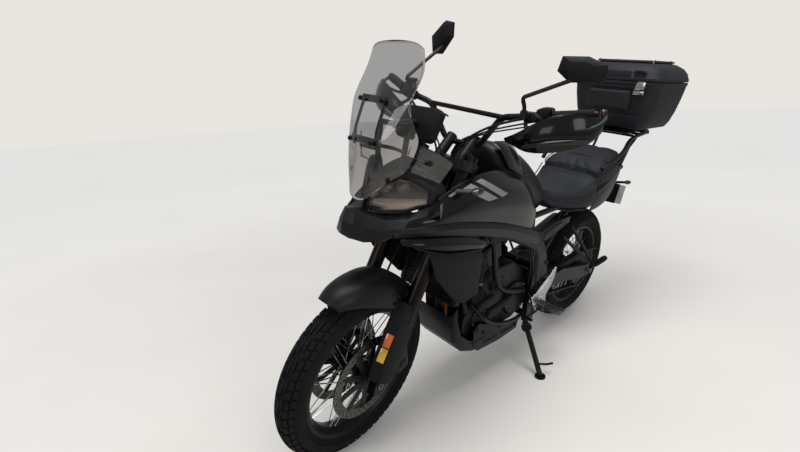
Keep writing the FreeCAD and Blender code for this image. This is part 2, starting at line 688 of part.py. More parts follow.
hand_controls = [left_controls, right_controls]
guard_pair = [shield.cut(Part.makeCompound([bar] + both(grip) + hand_controls)) for shield in both(handguard())]
guard_pair = [max(shield.Solids, key=lambda solid: solid.Volume) for shield in guard_pair]
node("handguards", shape_of("handguard_pair", Part.makeCompound(guard_pair)), FORK)


def mirror(name, root, elbow, head):
    """A mirror on its stalk: the stalk from the perch and an oval head facing back."""
    stalk = tube([root, elbow, head], 6, 30)
    rings = []
    for back, wide, high in ((0, 62, 44), (-12, 72, 52), (20, 50, 34), (32, 24, 16)):
        spot = head + Vector(back, 0, 0)
        rings.append((back, ring([spot + Vector(0, wide, 4), spot + Vector(0, 0, high),
                                  spot + Vector(0, -wide, 8), spot + Vector(0, 0, -high)])))
    rings.sort(key=lambda item: item[0])
    return fused([stalk, skin([item[1] for item in rings])])


fork_straight = HEAD.inverse()
left_root = fork_straight.multVec(Vector(1030, dim.control_y, 1236))
left_head = fork_straight.multVec(Vector(1000, 385, 1372))
right_root = across(left_root)
right_head = fork_straight.multVec(Vector(845, -262, 1428))
mirrors = [mirror("left_mirror", left_root, left_root + Vector(10, 60, 70), left_head),
           mirror("right_mirror", right_root, right_root + Vector(-10, -12, 60), right_head)]
mirror_pair = [item.cut(Part.makeCompound(hand_controls + guard_pair)) for item in mirrors]
node("mirrors", shape_of("mirror_pair", Part.makeCompound(mirror_pair)), FORK)


def wheel_arc_point(radius, degrees, y):
    """A point round the front axle, in the fork frame, measured up from straight ahead."""
    angle = math.radians(degrees - dim.rake)
    return Vector(fork_offset + radius * math.cos(angle), y, radius * math.sin(angle))


def front_fender():
    """The arch over the front tyre, with deeper sides between the fork legs."""
    rows = []
    for degrees, crown, half, drop in ((68, 372, 40, 26), (80, 378, 62, 66), (95, 386, 84, 108),
                                       (110, 392, 84, 112), (125, 380, 74, 72), (140, 372, 62, 40)):
        rows.append([wheel_arc_point(crown - drop, degrees, half), wheel_arc_point(crown - 16, degrees, half - 8),
                     wheel_arc_point(crown, degrees, 0), wheel_arc_point(crown - 16, degrees, 8 - half),
                     wheel_arc_point(crown - drop, degrees, -half)])
    return panel(rows, 4)


guard = side_plate([(dim.fork_clamp_offset + 34, 20), (dim.fork_clamp_offset + 28, 250),
                    (dim.fork_clamp_offset - 6, 262), (dim.fork_clamp_offset - 30, 200),
                    (dim.fork_clamp_offset + 12, 20)],
                   dim.fork_half_spacing + dim.fork_slider_radius + dim.seat_gap,
                   dim.fork_half_spacing + dim.fork_slider_radius + 6)
leg_room_radius = max(dim.fork_slider_radius, dim.fork_tube_radius) + dim.seat_gap
leg_room = Part.makeCylinder(leg_room_radius, dim.fork_tube_top, Vector(dim.fork_clamp_offset, dim.fork_half_spacing, 0))
fender_parts = [front_fender().cut(Part.makeCompound(both(leg_room)))] + both(guard.cut(leg_room))
node("front_fender", shape_of("front_fender_and_guards", Part.makeCompound(fender_parts)), FORK)
caliper = side_plate([(-112, 60), (-52, 24), (-8, 96), (-30, 128), (-84, 118)],
                     dim.front_disc_offset + dim.disc_thickness, dim.fork_half_spacing - dim.fork_slider_radius)
lug_low = dim.foot_height / 2 + dim.seat_gap
caliper_lug = side_plate([(-40, lug_low), (dim.fork_clamp_offset, lug_low), (dim.fork_clamp_offset, 100), (-30, 100)],
                         dim.fork_half_spacing - dim.fork_slider_radius - 6, dim.fork_half_spacing + 6)
caliper_lug = caliper_lug.cut(Part.makeCylinder(dim.fork_slider_radius, 400, Vector(
    dim.fork_clamp_offset, dim.fork_half_spacing, -50)))
node("front_calipers", shape_of("caliper_pair", Part.makeCompound(both(fused([caliper, caliper_lug])))), FORK)


# Main frame, in the bike frame
def head_point(height, y=0, forward=0):
    """A point beside the steering axis, in the bike frame."""
    return HEAD.multVec(Vector(forward, y, height))


head_low = dim.lower_clamp_height + dim.clamp_thickness / 2 + dim.seat_gap
head_high = dim.upper_clamp_height - dim.clamp_thickness / 2 - dim.seat_gap
stem_bore = rod(head_point(head_low - 20), head_point(head_high + 20), dim.stem_radius + dim.running_gap)
head_tube = rod(head_point(head_low), head_point(head_high), dim.head_tube_radius)
spar = tube([head_point(dim.head_spar_height, dim.head_tube_radius - 12, -6),
             head_point(dim.head_spar_height - 40, dim.spar_half_spacing - 24, -160),
             Vector(dim.knee_x + 40, dim.spar_half_spacing, dim.knee_z + 20),
             Vector(dim.pivot_x, dim.spar_half_spacing, dim.pivot_z + 60)], dim.spar_radius, 110)
down_tube = tube([head_point(dim.head_spar_height - 62, 14, -14), head_point(dim.head_spar_height - 92, 42, -118),
                  Vector(1000, dim.cradle_half_spacing, 420)], dim.cradle_radius, 60)
pivot_plate = side_plate([(dim.pivot_x - 46, dim.pivot_z + 40), (dim.pivot_x - 40, dim.pivot_z - 60),
                          (dim.pivot_x - 24, dim.pivot_z - 146), (dim.pivot_x + 34, dim.pivot_z - 150),
                          (dim.pivot_x + 44, dim.pivot_z - 40), (dim.pivot_x + 34, dim.pivot_z + 110),
                          (dim.pivot_x - 20, dim.pivot_z + 120)],
                         dim.spar_half_spacing - dim.pivot_plate_thickness / 2,
                         dim.spar_half_spacing + dim.pivot_plate_thickness / 2)
cross_low = rod(Vector(dim.pivot_x + 4, -dim.spar_half_spacing, dim.pivot_z - 128),
                Vector(dim.pivot_x + 4, dim.spar_half_spacing, dim.pivot_z - 128), dim.cradle_radius)
cross_high = rod(Vector(dim.pivot_x + 10, -dim.spar_half_spacing, dim.pivot_z + 130),
                 Vector(dim.pivot_x + 10, dim.spar_half_spacing, dim.pivot_z + 130), dim.cradle_radius + 3)
main_frame = fused([head_tube] + both(spar, down_tube, pivot_plate) + [cross_low, cross_high]).cut(stem_bore)
pivot_bolt = rod(Vector(dim.pivot_x, -dim.spar_half_spacing - 30, dim.pivot_z),
                 Vector(dim.pivot_x, dim.spar_half_spacing + 30, dim.pivot_z), dim.pivot_bolt_radius)
node("main_frame", shape_of("frame_welded", fused([main_frame, pivot_bolt])))

rail = tube([Vector(dim.knee_x + 60, dim.seat_rail_half_spacing, dim.rail_front_z),
             Vector(dim.strut_x + 60, dim.seat_rail_half_spacing, dim.rail_front_z + 4),
             Vector(dim.rail_rear_x, dim.seat_rail_half_spacing, dim.rail_rear_z)], dim.seat_rail_radius, 120)
strut = tube([Vector(dim.pivot_x - 24, dim.seat_rail_half_spacing + 12, dim.pivot_z + 110),
              Vector(dim.strut_x, dim.seat_rail_half_spacing, dim.strut_z + 20)], dim.seat_rail_radius, 10)
rail_foot = rod(Vector(dim.knee_x + 46, dim.seat_rail_half_spacing, dim.rail_front_z),
                Vector(dim.knee_x + 70, dim.spar_half_spacing - 14, dim.knee_z + 46), dim.seat_rail_radius)
rail_ties = [rod(Vector(x, -dim.seat_rail_half_spacing, z), Vector(x, dim.seat_rail_half_spacing, z), 9)
             for x, z in ((dim.rail_rear_x + 14, dim.rail_rear_z - 4), (dim.strut_x, dim.strut_z + 16))]
subframe = fused(both(rail, strut, rail_foot) + rail_ties).cut(main_frame)
node("subframe", shape_of("subframe_welded", subframe))

# Swingarm, with its axle, and the spring between it and the frame
axle_z = dim.rear_tyre_radius
arm = side_plate([(dim.pivot_x + 30, dim.pivot_z - 26), (dim.pivot_x + 30, dim.pivot_z + 26),
                  (300, 416), (40, axle_z + 40), (-48, axle_z + 26), (-52, axle_z - 24), (40, axle_z - 30),
                  (300, 342)],
                 dim.arm_half_spacing - dim.arm_thickness / 2, dim.arm_half_spacing + dim.arm_thickness / 2)
arm_bridge = Part.makeBox(dim.arm_bridge_width, 2 * dim.arm_half_spacing, 54,
                          Vector(dim.arm_bridge_x, -dim.arm_half_spacing, 330))
rear_axle = rod(Vector(0, -dim.arm_half_spacing - 30, axle_z), Vector(0, dim.arm_half_spacing + 30, axle_z),
                dim.axle_radius)
rear_axle = rear_axle.cut(rod(Vector(0, -200, axle_z), Vector(0, 200, axle_z), dim.axle_bore_radius))
arm_keep = fused(both(arm) + [arm_bridge])
arm_keep = arm_keep.cut(fused([rod(Vector(0, -200, axle_z), Vector(0, 200, axle_z), dim.axle_radius),
                               pivot_bolt, main_frame]))
node("swingarm", shape_of("swingarm_welded", arm_keep))
node("rear_axle", shape_of("rear_axle_tube", rear_axle))
spring_low = Vector(dim.arm_bridge_x + 24, 0, 378)
spring_high = Vector(dim.pivot_x + 6, 0, dim.pivot_z + 112)
shock = fused([rod(spring_low, spring_high, 22), rod(spring_low + Vector(8, 0, 24), spring_high - Vector(8, 0, 24),
                                                     34)])
node("shock_absorber", shape_of("shock_spring", shock.cut(fused([main_frame, arm_keep]))))

# Chain loop round both sprockets
front_pitch_radius = dim.chain_pitch / 2 / math.sin(math.pi / dim.front_sprocket_teeth)
rear_pitch_radius = dim.chain_pitch / 2 / math.sin(math.pi / dim.rear_sprocket_teeth)


def chain_loop(grow, thickness, y):
    """The chain's band, grown outward and inward from its pitch line."""
    front = Vector(dim.front_sprocket_x, 0, dim.front_sprocket_z)
    rear = Vector(0, 0, dim.rear_tyre_radius)
    run = front - rear
    lift = math.acos((rear_pitch_radius - front_pitch_radius) / run.Length)
    slope = math.atan2(run.z, run.x)

    def rim_point(centre, radius, angle):
        return Vector(centre.x + radius * math.cos(angle), y, centre.z + radius * math.sin(angle))
    rear_radius, front_radius = rear_pitch_radius + grow, front_pitch_radius + grow
    top, low = slope + lift, slope - lift
    wire = Part.Wire([
        Part.Arc(rim_point(rear, rear_radius, top), rim_point(rear, rear_radius, slope + math.pi),
                 rim_point(rear, rear_radius, low)).toShape(),
        line(rim_point(rear, rear_radius, low), rim_point(front, front_radius, low)),
        Part.Arc(rim_point(front, front_radius, low), rim_point(front, front_radius, slope),
                 rim_point(front, front_radius, top)).toShape(),
        line(rim_point(front, front_radius, top), rim_point(rear, rear_radius, top))])
    return Part.Face(wire).extrude(Vector(0, thickness, 0))


half_plate = dim.chain_plate_height / 2
chain_y = dim.chain_offset - dim.chain_width / 2
chain = chain_loop(half_plate, dim.chain_width, chain_y)
chain = chain.cut(chain_loop(-half_plate, dim.chain_width, chain_y))
channel = chain_loop(half_plate, dim.chain_width - 2 * dim.chain_plate, chain_y + dim.chain_plate)
channel = channel.cut(chain_loop(-dim.chain_roller_radius, dim.chain_width, chain_y))
inner_channel = chain_loop(-dim.chain_roller_radius, dim.chain_width - 2 * dim.chain_plate,
                           chain_y + dim.chain_plate)
chain = chain.cut(inner_channel)
node("drive_chain", shape_of("chain_band", chain))
front_sprocket = Part.makeCylinder(front_pitch_radius - dim.chain_roller_radius, dim.sprocket_thickness,
                                   Vector(dim.front_sprocket_x, dim.chain_offset - dim.sprocket_thickness / 2,
                                          dim.front_sprocket_z), Y_AXIS)
sprocket_shaft = Part.makeCylinder(15, dim.chain_offset - 70, Vector(dim.front_sprocket_x, 70,
                                                                    dim.front_sprocket_z), Y_AXIS)

# Engine with its covers, radiator, exhaust and skid plate
case_side = side_plate([(dim.crankcase_rear, dim.crankcase_low + 60), (dim.crankcase_rear + 40, dim.crankcase_low),
                        (dim.crankcase_front - 40, dim.crankcase_low - 4), (dim.crankcase_front, 330),
                        (dim.crankcase_front, 470), (dim.crankcase_front - 60, dim.crankcase_high),
                        (dim.crankcase_rear + 60, dim.crankcase_high), (dim.crankcase_rear, 460)],
                       -70, 70)
cylinder_block = Part.makeBox(dim.cylinder_depth, dim.cylinder_width, dim.cylinder_length,
                              Vector(-dim.cylinder_depth / 2, -dim.cylinder_width / 2, 0))
cylinder_block.Placement = Placement(Vector(850, 0, dim.crankcase_high - 30), Rotation(Y_AXIS, dim.cylinder_tilt))
clutch_cover = Part.makeCylinder(dim.cover_radius, dim.engine_width / 2 - 60, Vector(720, -dim.engine_width / 2, 380),
                                 Y_AXIS)
alternator_cover = Part.makeCylinder(dim.cover_radius - 10, dim.engine_width / 2 - 60, Vector(870, 60, 350), Y_AXIS)
engine = fused([case_side, cylinder_block, clutch_cover, alternator_cover, sprocket_shaft, front_sprocket])
engine = engine.cut(fused([main_frame, pivot_bolt]))
node("engine", shape_of("engine_block", engine))

radiator = Part.makeBox(dim.radiator_depth, dim.radiator_width, dim.radiator_height,
                        Vector(-dim.radiator_depth / 2, -dim.radiator_width / 2, -dim.radiator_height / 2))
radiator.Placement = Placement(Vector(dim.radiator_x, 0, dim.radiator_z), Rotation(Y_AXIS, -dim.radiator_tilt))
node("radiator", shape_of("radiator_core", radiator.cut(main_frame)))

header = tube([Vector(960, dim.header_spacing / 2, 640), Vector(1040, dim.header_spacing / 2, 600),
               Vector(1050, dim.header_spacing / 2, 330), Vector(960, dim.header_spacing / 2, 226),
               Vector(800, dim.header_spacing / 4, 222)], dim.header_radius, 60)
collector = Part.makeBox(180, 110, 46, Vector(660, -60, 198))
silencer_nose = Vector(dim.silencer_x + dim.silencer_length / 2 * math.cos(math.radians(dim.silencer_tilt)),
                       dim.silencer_y,
                       dim.silencer_z - dim.silencer_length / 2 * math.sin(math.radians(dim.silencer_tilt)))
link_pipe = tube([Vector(680, -30, 222), Vector(530, -56, 222), Vector(420, -130, 262),
                  silencer_nose + Vector(160, 8, -26), silencer_nose + Vector(-20, 0, 6)], 26, 90)
headers = fused(both(header) + [collector, link_pipe]).cut(fused([engine, main_frame]))
node("exhaust_headers", shape_of("header_pipes", headers))
silencer = Part.makeCylinder(dim.silencer_radius, dim.silencer_length, Vector(0, 0, -dim.silencer_length / 2))
silencer.Placement = Placement(Vector(dim.silencer_x, dim.silencer_y, dim.silencer_z),
                               Rotation(Y_AXIS, -90 + dim.silencer_tilt))
node("silencer", shape_of("silencer_can", silencer.cut(link_pipe)))
skid_points = [(dim.skid_front_x, dim.skid_front_z), (dim.skid_low_x + 120, dim.skid_low_z + 20),
               (dim.skid_low_x, dim.skid_low_z - 6), (dim.skid_rear_x, dim.skid_low_z)]
skid_inner = [(x - 4, z + dim.skid_wall) for x, z in reversed(skid_points)]
skid = side_plate(skid_points + skid_inner, -dim.skid_half_width, dim.skid_half_width)
skid_side = side_plate(skid_points + [(dim.skid_rear_x, 250), (dim.skid_low_x + 60, 330)],
                       dim.skid_half_width - dim.skid_wall, dim.skid_half_width)
node("skid_plate", shape_of("skid_shell", fused([skid] + both(skid_side)).cut(fused([headers, main_frame]))))


# Bodywork, in the bike frame
def hoop(x, half, top, low, shoulder=0.72, drop=26):
    """A closed cross-section of a rounded body at one station."""
    middle = (top + low) / 2
    left = [(half * shoulder, top - drop), (half, middle + drop / 2), (half * 0.8, low + 8)]
    right = [(-y, z) for y, z in reversed(left)]
    return ring([Vector(x, y, z) for y, z in [(0, top)] + left + [(0, low)] + right])


tank = skin([hoop(dim.tank_front_x, dim.tank_half_width - 34, dim.tank_top_z - 60, dim.tank_low_z + 60),
             hoop(dim.tank_front_x - 55, dim.tank_half_width, dim.tank_top_z - 14, dim.tank_low_z + 10),
             hoop(dim.tank_peak_x, dim.tank_half_width, dim.tank_top_z, dim.tank_low_z),
             hoop(dim.tank_peak_x - 140, dim.tank_waist + 14, dim.tank_top_z - 90, dim.tank_low_z - 4),
             hoop(dim.tank_rear_x + 30, dim.tank_waist - 16, dim.tank_rear_z + 34, dim.tank_low_z - 10)])
filler_cap = Part.makeCylinder(32, 60, Vector(dim.tank_peak_x - 130, 0, dim.tank_top_z - 130), Vector(-0.5, 0, 1))
tank = fused([tank, filler_cap]).cut(main_frame)
node("fuel_tank", shape_of("tank_shell", tank))

shroud_rows = [
    [(dim.shroud_front_x - 75, 140, dim.shroud_front_z + 97), (dim.shroud_front_x - 20, 130, dim.shroud_front_z + 42),
     (dim.shroud_front_x + 5, 118, dim.shroud_front_z - 8), (dim.shroud_front_x - 20, 112, dim.shroud_front_z - 30)],
    [(1270, 178, 975), (1290, 190, 900), (1300, 196, 845), (1290, 176, 800)],
    [(1170, 190, dim.shroud_peak_z - 5), (1190, dim.shroud_half_width - 4, 900), (1180, dim.shroud_half_width, 830),
     (1190, 190, 775)],
    [(1040, 180, dim.shroud_peak_z - 10), (1040, 200, 890), (1030, 196, 800), (1050, 180, 742)],
    [(920, 152, 990), (900, 172, 880), (900, 172, 780), (960, 160, 712)],
    [(dim.shroud_rear_x + 20, 140, 950), (dim.shroud_rear_x, 150, 870), (dim.shroud_rear_x, 150, 785),
     (dim.shroud_rear_x + 70, 140, 720)]]
shroud = panel(shroud_rows, dim.shroud_thickness)
shroud_stay = rod(Vector(930, dim.spar_half_spacing - 10, 800), Vector(930, 176, 806), 9)
side_fairing = fused([shroud, shroud_stay])
tank_room = tank.copy()
tank_room.scale(dim.tank_room_scale, Vector(dim.tank_peak_x, 0, dim.tank_low_z))
side_fairing = side_fairing.cut(fused([main_frame, tank_room]))
side_fairing = max(side_fairing.Solids, key=lambda solid: solid.Volume)
node("side_fairings", shape_of("side_fairing_pair", Part.makeCompound(both(side_fairing))))

# The nose under the lamp, and the stay that carries lamp, screen and dashboard
deflector_rows = [[Vector(1388, 140, 1064), Vector(1378, 148, 1102), Vector(1368, 150, 1139)],
                  [Vector(1344, 156, 1042), Vector(1332, 172, 1080), Vector(1318, 178, 1112)],
                  [Vector(1301, 160, 1019), Vector(1284, 184, 1052), Vector(1265, 200, 1087)]]
deflector = panel(deflector_rows, 3)
beak_rows = [
    [(dim.beak_rear_x + 60, -dim.beak_half_width, dim.beak_low_z + 20), (dim.beak_rear_x + 40, 0, dim.beak_low_z),
     (dim.beak_rear_x + 60, dim.beak_half_width, dim.beak_low_z + 20)],
    [(dim.beak_tip_x - 70, 36 - dim.beak_half_width, dim.beak_low_z + 16), (dim.beak_tip_x - 30, 0,
                                                                          dim.beak_low_z + 14),
     (dim.beak_tip_x - 70, dim.beak_half_width - 36, dim.beak_low_z + 16)],
    [(dim.beak_tip_x - 46, 40 - dim.beak_half_width, dim.beak_tip_z + 14), (dim.beak_tip_x, 0, dim.beak_tip_z),
     (dim.beak_tip_x - 46, dim.beak_half_width - 40, dim.beak_tip_z + 14)],
    [(dim.beak_tip_x - 70, 30 - dim.beak_half_width, dim.beak_top_z - 20), (dim.beak_tip_x - 26, 0,
                                                                          dim.beak_top_z - 30),
     (dim.beak_tip_x - 70, dim.beak_half_width - 30, dim.beak_top_z - 20)],
    [(dim.beak_tip_x - 100, 24 - dim.beak_half_width, dim.beak_top_z + 10), (dim.beak_tip_x - 80, 0, dim.beak_top_z),
     (dim.beak_tip_x - 100, dim.beak_half_width - 24, dim.beak_top_z + 10)]]
beak = panel(beak_rows, dim.shroud_thickness)
stay_low = head_point(dim.head_spar_height - 20, 0, dim.head_tube_radius - 6)
stay_rail = [Vector(stay_low), Vector(1336, 32, 905), Vector(1352, 60, 1010), Vector(1330, 66, 1180)]
stay_tubes = tube(stay_rail, 9, 60)
stay_bridge = rod(Vector(1330, -66, 1178), Vector(1330, 66, 1178), 9)
deflector_arm = rod(Vector(1340, 62, 1088), Vector(1333, 172, 1084), 6)
lamp_bridge = rod(Vector(1340, -60, 950), Vector(1340, 60, 950), 8)
dash = Part.makeBox(dim.dash_depth, dim.dash_width, dim.dash_height,
                    Vector(-dim.dash_depth / 2, -dim.dash_width / 2, -dim.dash_height / 2))
dash.Placement = Placement(Vector(dim.dash_x, 0, dim.dash_z), Rotation(Y_AXIS, dim.dash_tilt))
dash_arm = rod(Vector(1330, 0, 1178), Vector(dim.dash_x, 0, dim.dash_z), 14)
front_stay = fused(both(stay_tubes, deflector_arm) + [stay_bridge, lamp_bridge, dash_arm.cut(dash)])
front_stay = front_stay.cut(fused([main_frame] + both(deflector)))
front_stay = max(front_stay.Solids, key=lambda solid: solid.Volume)
node("fairing_stay", shape_of("front_stay_welded", front_stay))
node("dashboard", shape_of("dash_slab", dash))

lamp_rows = ((10, 1438, 964, 922), (70, 1404, 1004, 930), (112, 1362, 1034, 948), (144, 1306, 990, 964))
lamp_sections = [polygon([(x - 6, y, top), (x, y, (top + low) / 2), (x - 8, y, low), (x - 44, y, low + 4),
                          (x - 44, y, top - 4)]) for y, x, top, low in lamp_rows]
lamp_left = skin(lamp_sections, True)
lamps = fused([lamp_left, lamp_left.mirror(ORIGIN, Y_AXIS), rod(Vector(1400, -14, 944), Vector(1400, 14, 944), 12),
               rod(Vector(1350, -60, 960), Vector(1350, 60, 960), 14)])
lamps = lamps.cut(front_stay)
beak = beak.cut(lamps)
node("beak", shape_of("beak_shell", beak.cut(front_stay)))
node("headlamps", shape_of("headlamp_pair", lamps))


def screen_rows():
    """The screen's outer face from its foot to its top edge, curved back at the sides."""
    profile = Part.Arc(Vector(dim.screen_low_x, 0, dim.screen_low_z), Vector(dim.screen_mid_x, 0, dim.screen_mid_z),
                       Vector(dim.screen_top_x, 0, dim.screen_top_z)).toShape()
    halves = (dim.screen_foot_half_width, dim.screen_half_width, dim.screen_half_width,
              dim.screen_half_width - 6, dim.screen_top_half_width)
    rows = []
    for number, half in enumerate(halves):
        along = profile.FirstParameter + (profile.LastParameter - profile.FirstParameter) * number / 4
        spot = profile.valueAt(along)
        rows.append([Vector(spot.x - (half * step) ** 2 * 2 / dim.screen_curve, half * step, spot.z)
                     for step in (-1, -0.5, 0, 0.5, 1)])
    return rows


screen = panel(screen_rows(), dim.screen_thickness)
screen_posts = [rod(Vector(1330, side * 50, 1178), Vector(1470, side * 50, 1170), 6).common(
    Part.makeBox(180, 400, 600, Vector(1337, -200, 900))) for side in (-1, 1)]
screen_foot = [rod(Vector(1340, side * 60, 1002), Vector(1470, side * 52, 1002), 6) for side in (-1, 1)]
mounts = fused(screen_posts).cut(fused([screen, front_stay]))
mounts_inside = [solid for solid in mounts.Solids if solid.CenterOfMass.x < 1420]
node("windscreen", shape_of("windscreen_clear", Part.makeCompound(
    [screen] + mounts_inside + both(deflector))))

# Seats, tail and rear lights
rider_seat = skin([hoop(dim.seat_front_x, dim.seat_nose_half_width - 20, dim.tank_rear_z - 14, dim.rail_front_z + 34),
                   hoop(dim.seat_front_x - 90, dim.seat_nose_half_width + 14, dim.seat_low_z + 8,
                        dim.rail_front_z + 16),
                   hoop(dim.seat_step_x + 150, dim.seat_half_width - 14, dim.seat_low_z, dim.rail_front_z + 22),
                   hoop(dim.seat_step_x, dim.seat_half_width, dim.seat_step_z, dim.rail_front_z + 50)])
rider_seat = rider_seat.cut(fused([tank, subframe, main_frame]))
rider_seat = max(rider_seat.Solids, key=lambda solid: solid.Volume)
node("rider_seat", shape_of("rider_cushion", rider_seat))
pillion_seat = skin([hoop(dim.seat_step_x - 1, dim.pillion_half_width - 4, dim.pillion_front_z,
                          dim.rail_front_z + 66, 0.8, 16),
                     hoop(0, dim.pillion_half_width + 8, dim.pillion_rear_z - 22, dim.rail_front_z + 96, 0.8, 16),
                     hoop(dim.pillion_rear_x, dim.pillion_half_width - 20, dim.pillion_rear_z,
                          dim.pillion_rear_z - 84, 0.8, 14)])
pillion_seat = pillion_seat.cut(subframe)
node("passenger_seat", shape_of("passenger_cushion", pillion_seat))
tail_rows = [
    [(200, 150, 800), (205, 152, 750), (200, 140, 700)],
    [(60, 152, 838), (70, 154, 790), (90, 138, 705)],
    [(-80, 140, 890), (-60, 146, 830), (-40, 128, 720)],
    [(-215, 100, 925), (-200, 112, 870), (-190, 96, 780)]]
tail_left = panel(tail_rows, 4)
tail_braces = [rod(Vector(x, dim.seat_rail_half_spacing - 2, z), Vector(x, 140, z + 4), 7)
               for x, z in ((150, 766), (-60, 812))]
tail_panels = fused([tail_left] + tail_braces).cut(fused([subframe, rider_seat, pillion_seat]))
tail_solid = max(tail_panels.Solids, key=lambda solid: solid.Volume)
node("tail_panels", shape_of("tail_panel_pair", Part.makeCompound(both(tail_solid))))
tail_lamp = Part.makeBox(26, 120, 34, Vector(dim.rail_rear_x - 36, -60, dim.rail_rear_z - 4))
tail_lamp = fused([tail_lamp, rod(Vector(dim.rail_rear_x - 16, 0, dim.rail_rear_z),
                                  Vector(dim.rail_rear_x + 12, 0, dim.rail_rear_z - 4), 12)]).cut(subframe)
node("tail_lamp", shape_of("tail_lamp_lens", tail_lamp))
holder = side_plate([(dim.rail_rear_x + 30, dim.rail_rear_z - 16), (dim.rail_rear_x - 6, dim.rail_rear_z - 16),
                     (-330, 720), (-384, 610), (-372, 606), (-316, 712)], -36, 36)
plate = side_plate([(-332, 724), (-388, 600), (-391, 602), (-335, 726)], -90, 90)
holder = fused([holder, plate]).cut(fused([subframe, tail_lamp]))
node("plate_holder", shape_of("plate_hanger", holder))


def indicator(root, tip):
    stalk = rod(root, tip, 7)
    lens = Part.makeSphere(18)
    matrix = FreeCAD.Matrix()
    matrix.scale(1.5, 0.9, 0.62)
    lens = lens.transformGeometry(matrix)
    lens.translate(Vector(tip))
    return fused([stalk, lens])


front_indicator = indicator((1225, 186, 990), (1198, 246, 999)).cut(side_fairing)
front_indicator = max(front_indicator.Solids, key=lambda solid: solid.Volume)
rear_indicator = indicator((-322, 30, 742), (-330, 118, 760)).cut(holder)
rear_indicator = max(rear_indicator.Solids, key=lambda solid: solid.Volume)
node("indicators", shape_of("indicator_set", Part.makeCompound(both(front_indicator, rear_indicator))))

# Luggage rack and top case
rack_top = dim.rack_z + 14
rack_side = tube([Vector(-30, dim.rack_half_width, dim.rail_rear_z - 70), Vector(-90, dim.rack_half_width + 8, 990),
                  Vector(-190, dim.rack_half_width, dim.rack_z), Vector(-520, dim.rack_half_width, dim.rack_z)],
                 dim.rack_tube_radius, 60)
rack_foot = rod(Vector(-30, dim.rack_half_width, dim.rail_rear_z - 70),
                Vector(-30, dim.seat_rail_half_spacing, dim.rail_rear_z - 66), dim.rack_tube_radius)
rack_rear = tube([Vector(-205, dim.seat_rail_half_spacing, dim.rail_rear_z - 8),
                  Vector(-260, dim.rack_half_width, dim.rack_z)], dim.rack_tube_radius, 10)
rack_ties = [rod(Vector(x, -dim.rack_half_width, dim.rack_z), Vector(x, dim.rack_half_width, dim.rack_z),
                 dim.rack_tube_radius) for x in (-210, -360, -516)]
rack_plate = Part.makeBox(250, 190, 5, Vector(-460, -95, dim.rack_z + 8))
rack = fused(both(rack_side, rack_foot, rack_rear) + rack_ties + [rack_plate])
rack = rack.cut(fused([subframe, tail_solid, tail_solid.mirror(ORIGIN, Y_AXIS), pillion_seat]))
rack = max(rack.Solids, key=lambda solid: solid.Volume)
node("luggage_rack", shape_of("rack_welded", rack))

case_rear_x = dim.case_front_x - dim.case_length
case_half = dim.case_width / 2
seam_z = dim.case_low_z + dim.case_seam
case_top_z = dim.case_low_z + dim.case_height


def case_level(z, inset, front_in, rear_in):
    """A rounded rectangle at one height of the case."""
    front = dim.case_front_x - inset - front_in
    rear = case_rear_x + inset + rear_in
    half = case_half - inset
    corner = dim.case_corner
    bevel = corner * (1 - math.sqrt(0.5))
    edges = [line((front - corner, half, z), (rear + corner, half, z)),
             Part.Arc(Vector(rear + corner, half, z), Vector(rear + bevel, half - bevel, z),
                      Vector(rear, half - corner, z)).toShape(),
             line((rear, half - corner, z), (rear, corner - half, z)),
             Part.Arc(Vector(rear, corner - half, z), Vector(rear + bevel, bevel - half, z),
                      Vector(rear + corner, -half, z)).toShape(),
             line((rear + corner, -half, z), (front - corner, -half, z)),
             Part.Arc(Vector(front - corner, -half, z), Vector(front - bevel, bevel - half, z),
                      Vector(front, corner - half, z)).toShape(),
             line((front, corner - half, z), (front, half - corner, z)),
             Part.Arc(Vector(front, half - corner, z), Vector(front - bevel, half - bevel, z),
                      Vector(front - corner, half, z)).toShape()]
    return Part.Wire(edges)


def case_form(levels, wall):
    return skin([case_level(z, inset + wall, front_in, rear_in) for z, inset, front_in, rear_in in levels], True)


tub_levels = ((dim.case_low_z, 26, 4, 60), (dim.case_low_z + 56, 8, 0, 14), (seam_z, 0, 0, 0))
tub = case_form(tub_levels, 0)
tub_inside = case_form(((dim.case_low_z + dim.case_wall, 26, 4, 60), (dim.case_low_z + 56, 8, 0, 14),
                        (seam_z + 1, 0, 0, 0)), dim.case_wall)
tub = tub.cut(tub_inside)
lid_low = seam_z + dim.seat_gap
lid_levels = ((lid_low, 0, 0, 0), (case_top_z - 36, 6, 4, 10), (case_top_z, 34, 8, 60))
lid = case_form(lid_levels, 0)
lid_inside = case_form(((lid_low - 1, 0, 0, 0), (case_top_z - 36, 6, 4, 10),
                        (case_top_z - dim.case_wall, 34, 8, 60)), dim.case_wall)
lid = lid.cut(lid_inside)
latch = Part.makeBox(12, 52, 46, Vector(dim.case_front_x - 1, 128, lid_low + 2))
hinge_x = case_rear_x - 9
hinge_z = seam_z
hinge_radius = 6
hinge_pin = rod(Vector(hinge_x, -150, hinge_z), Vector(hinge_x, 150, hinge_z), 3)
knuckles_lid = [rod(Vector(hinge_x, y - 24, hinge_z), Vector(hinge_x, y + 24, hinge_z), hinge_radius)
                for y in (-100, 100)]
leaf_lid = [Part.makeBox(14, 48, 4, Vector(hinge_x, y - 24, hinge_z + 2)) for y in (-100, 100)]
hinge_room = rod(Vector(hinge_x, -200, hinge_z), Vector(hinge_x, 200, hinge_z), 3 + dim.running_gap)
case_lid = fused([lid] + knuckles_lid + leaf_lid + [latch]).cut(hinge_room)
knuckles_tub = [rod(Vector(hinge_x, y - 24, hinge_z), Vector(hinge_x, y + 24, hinge_z), hinge_radius)
                for y in (-148.5, -51.5, 51.5, 148.5)]
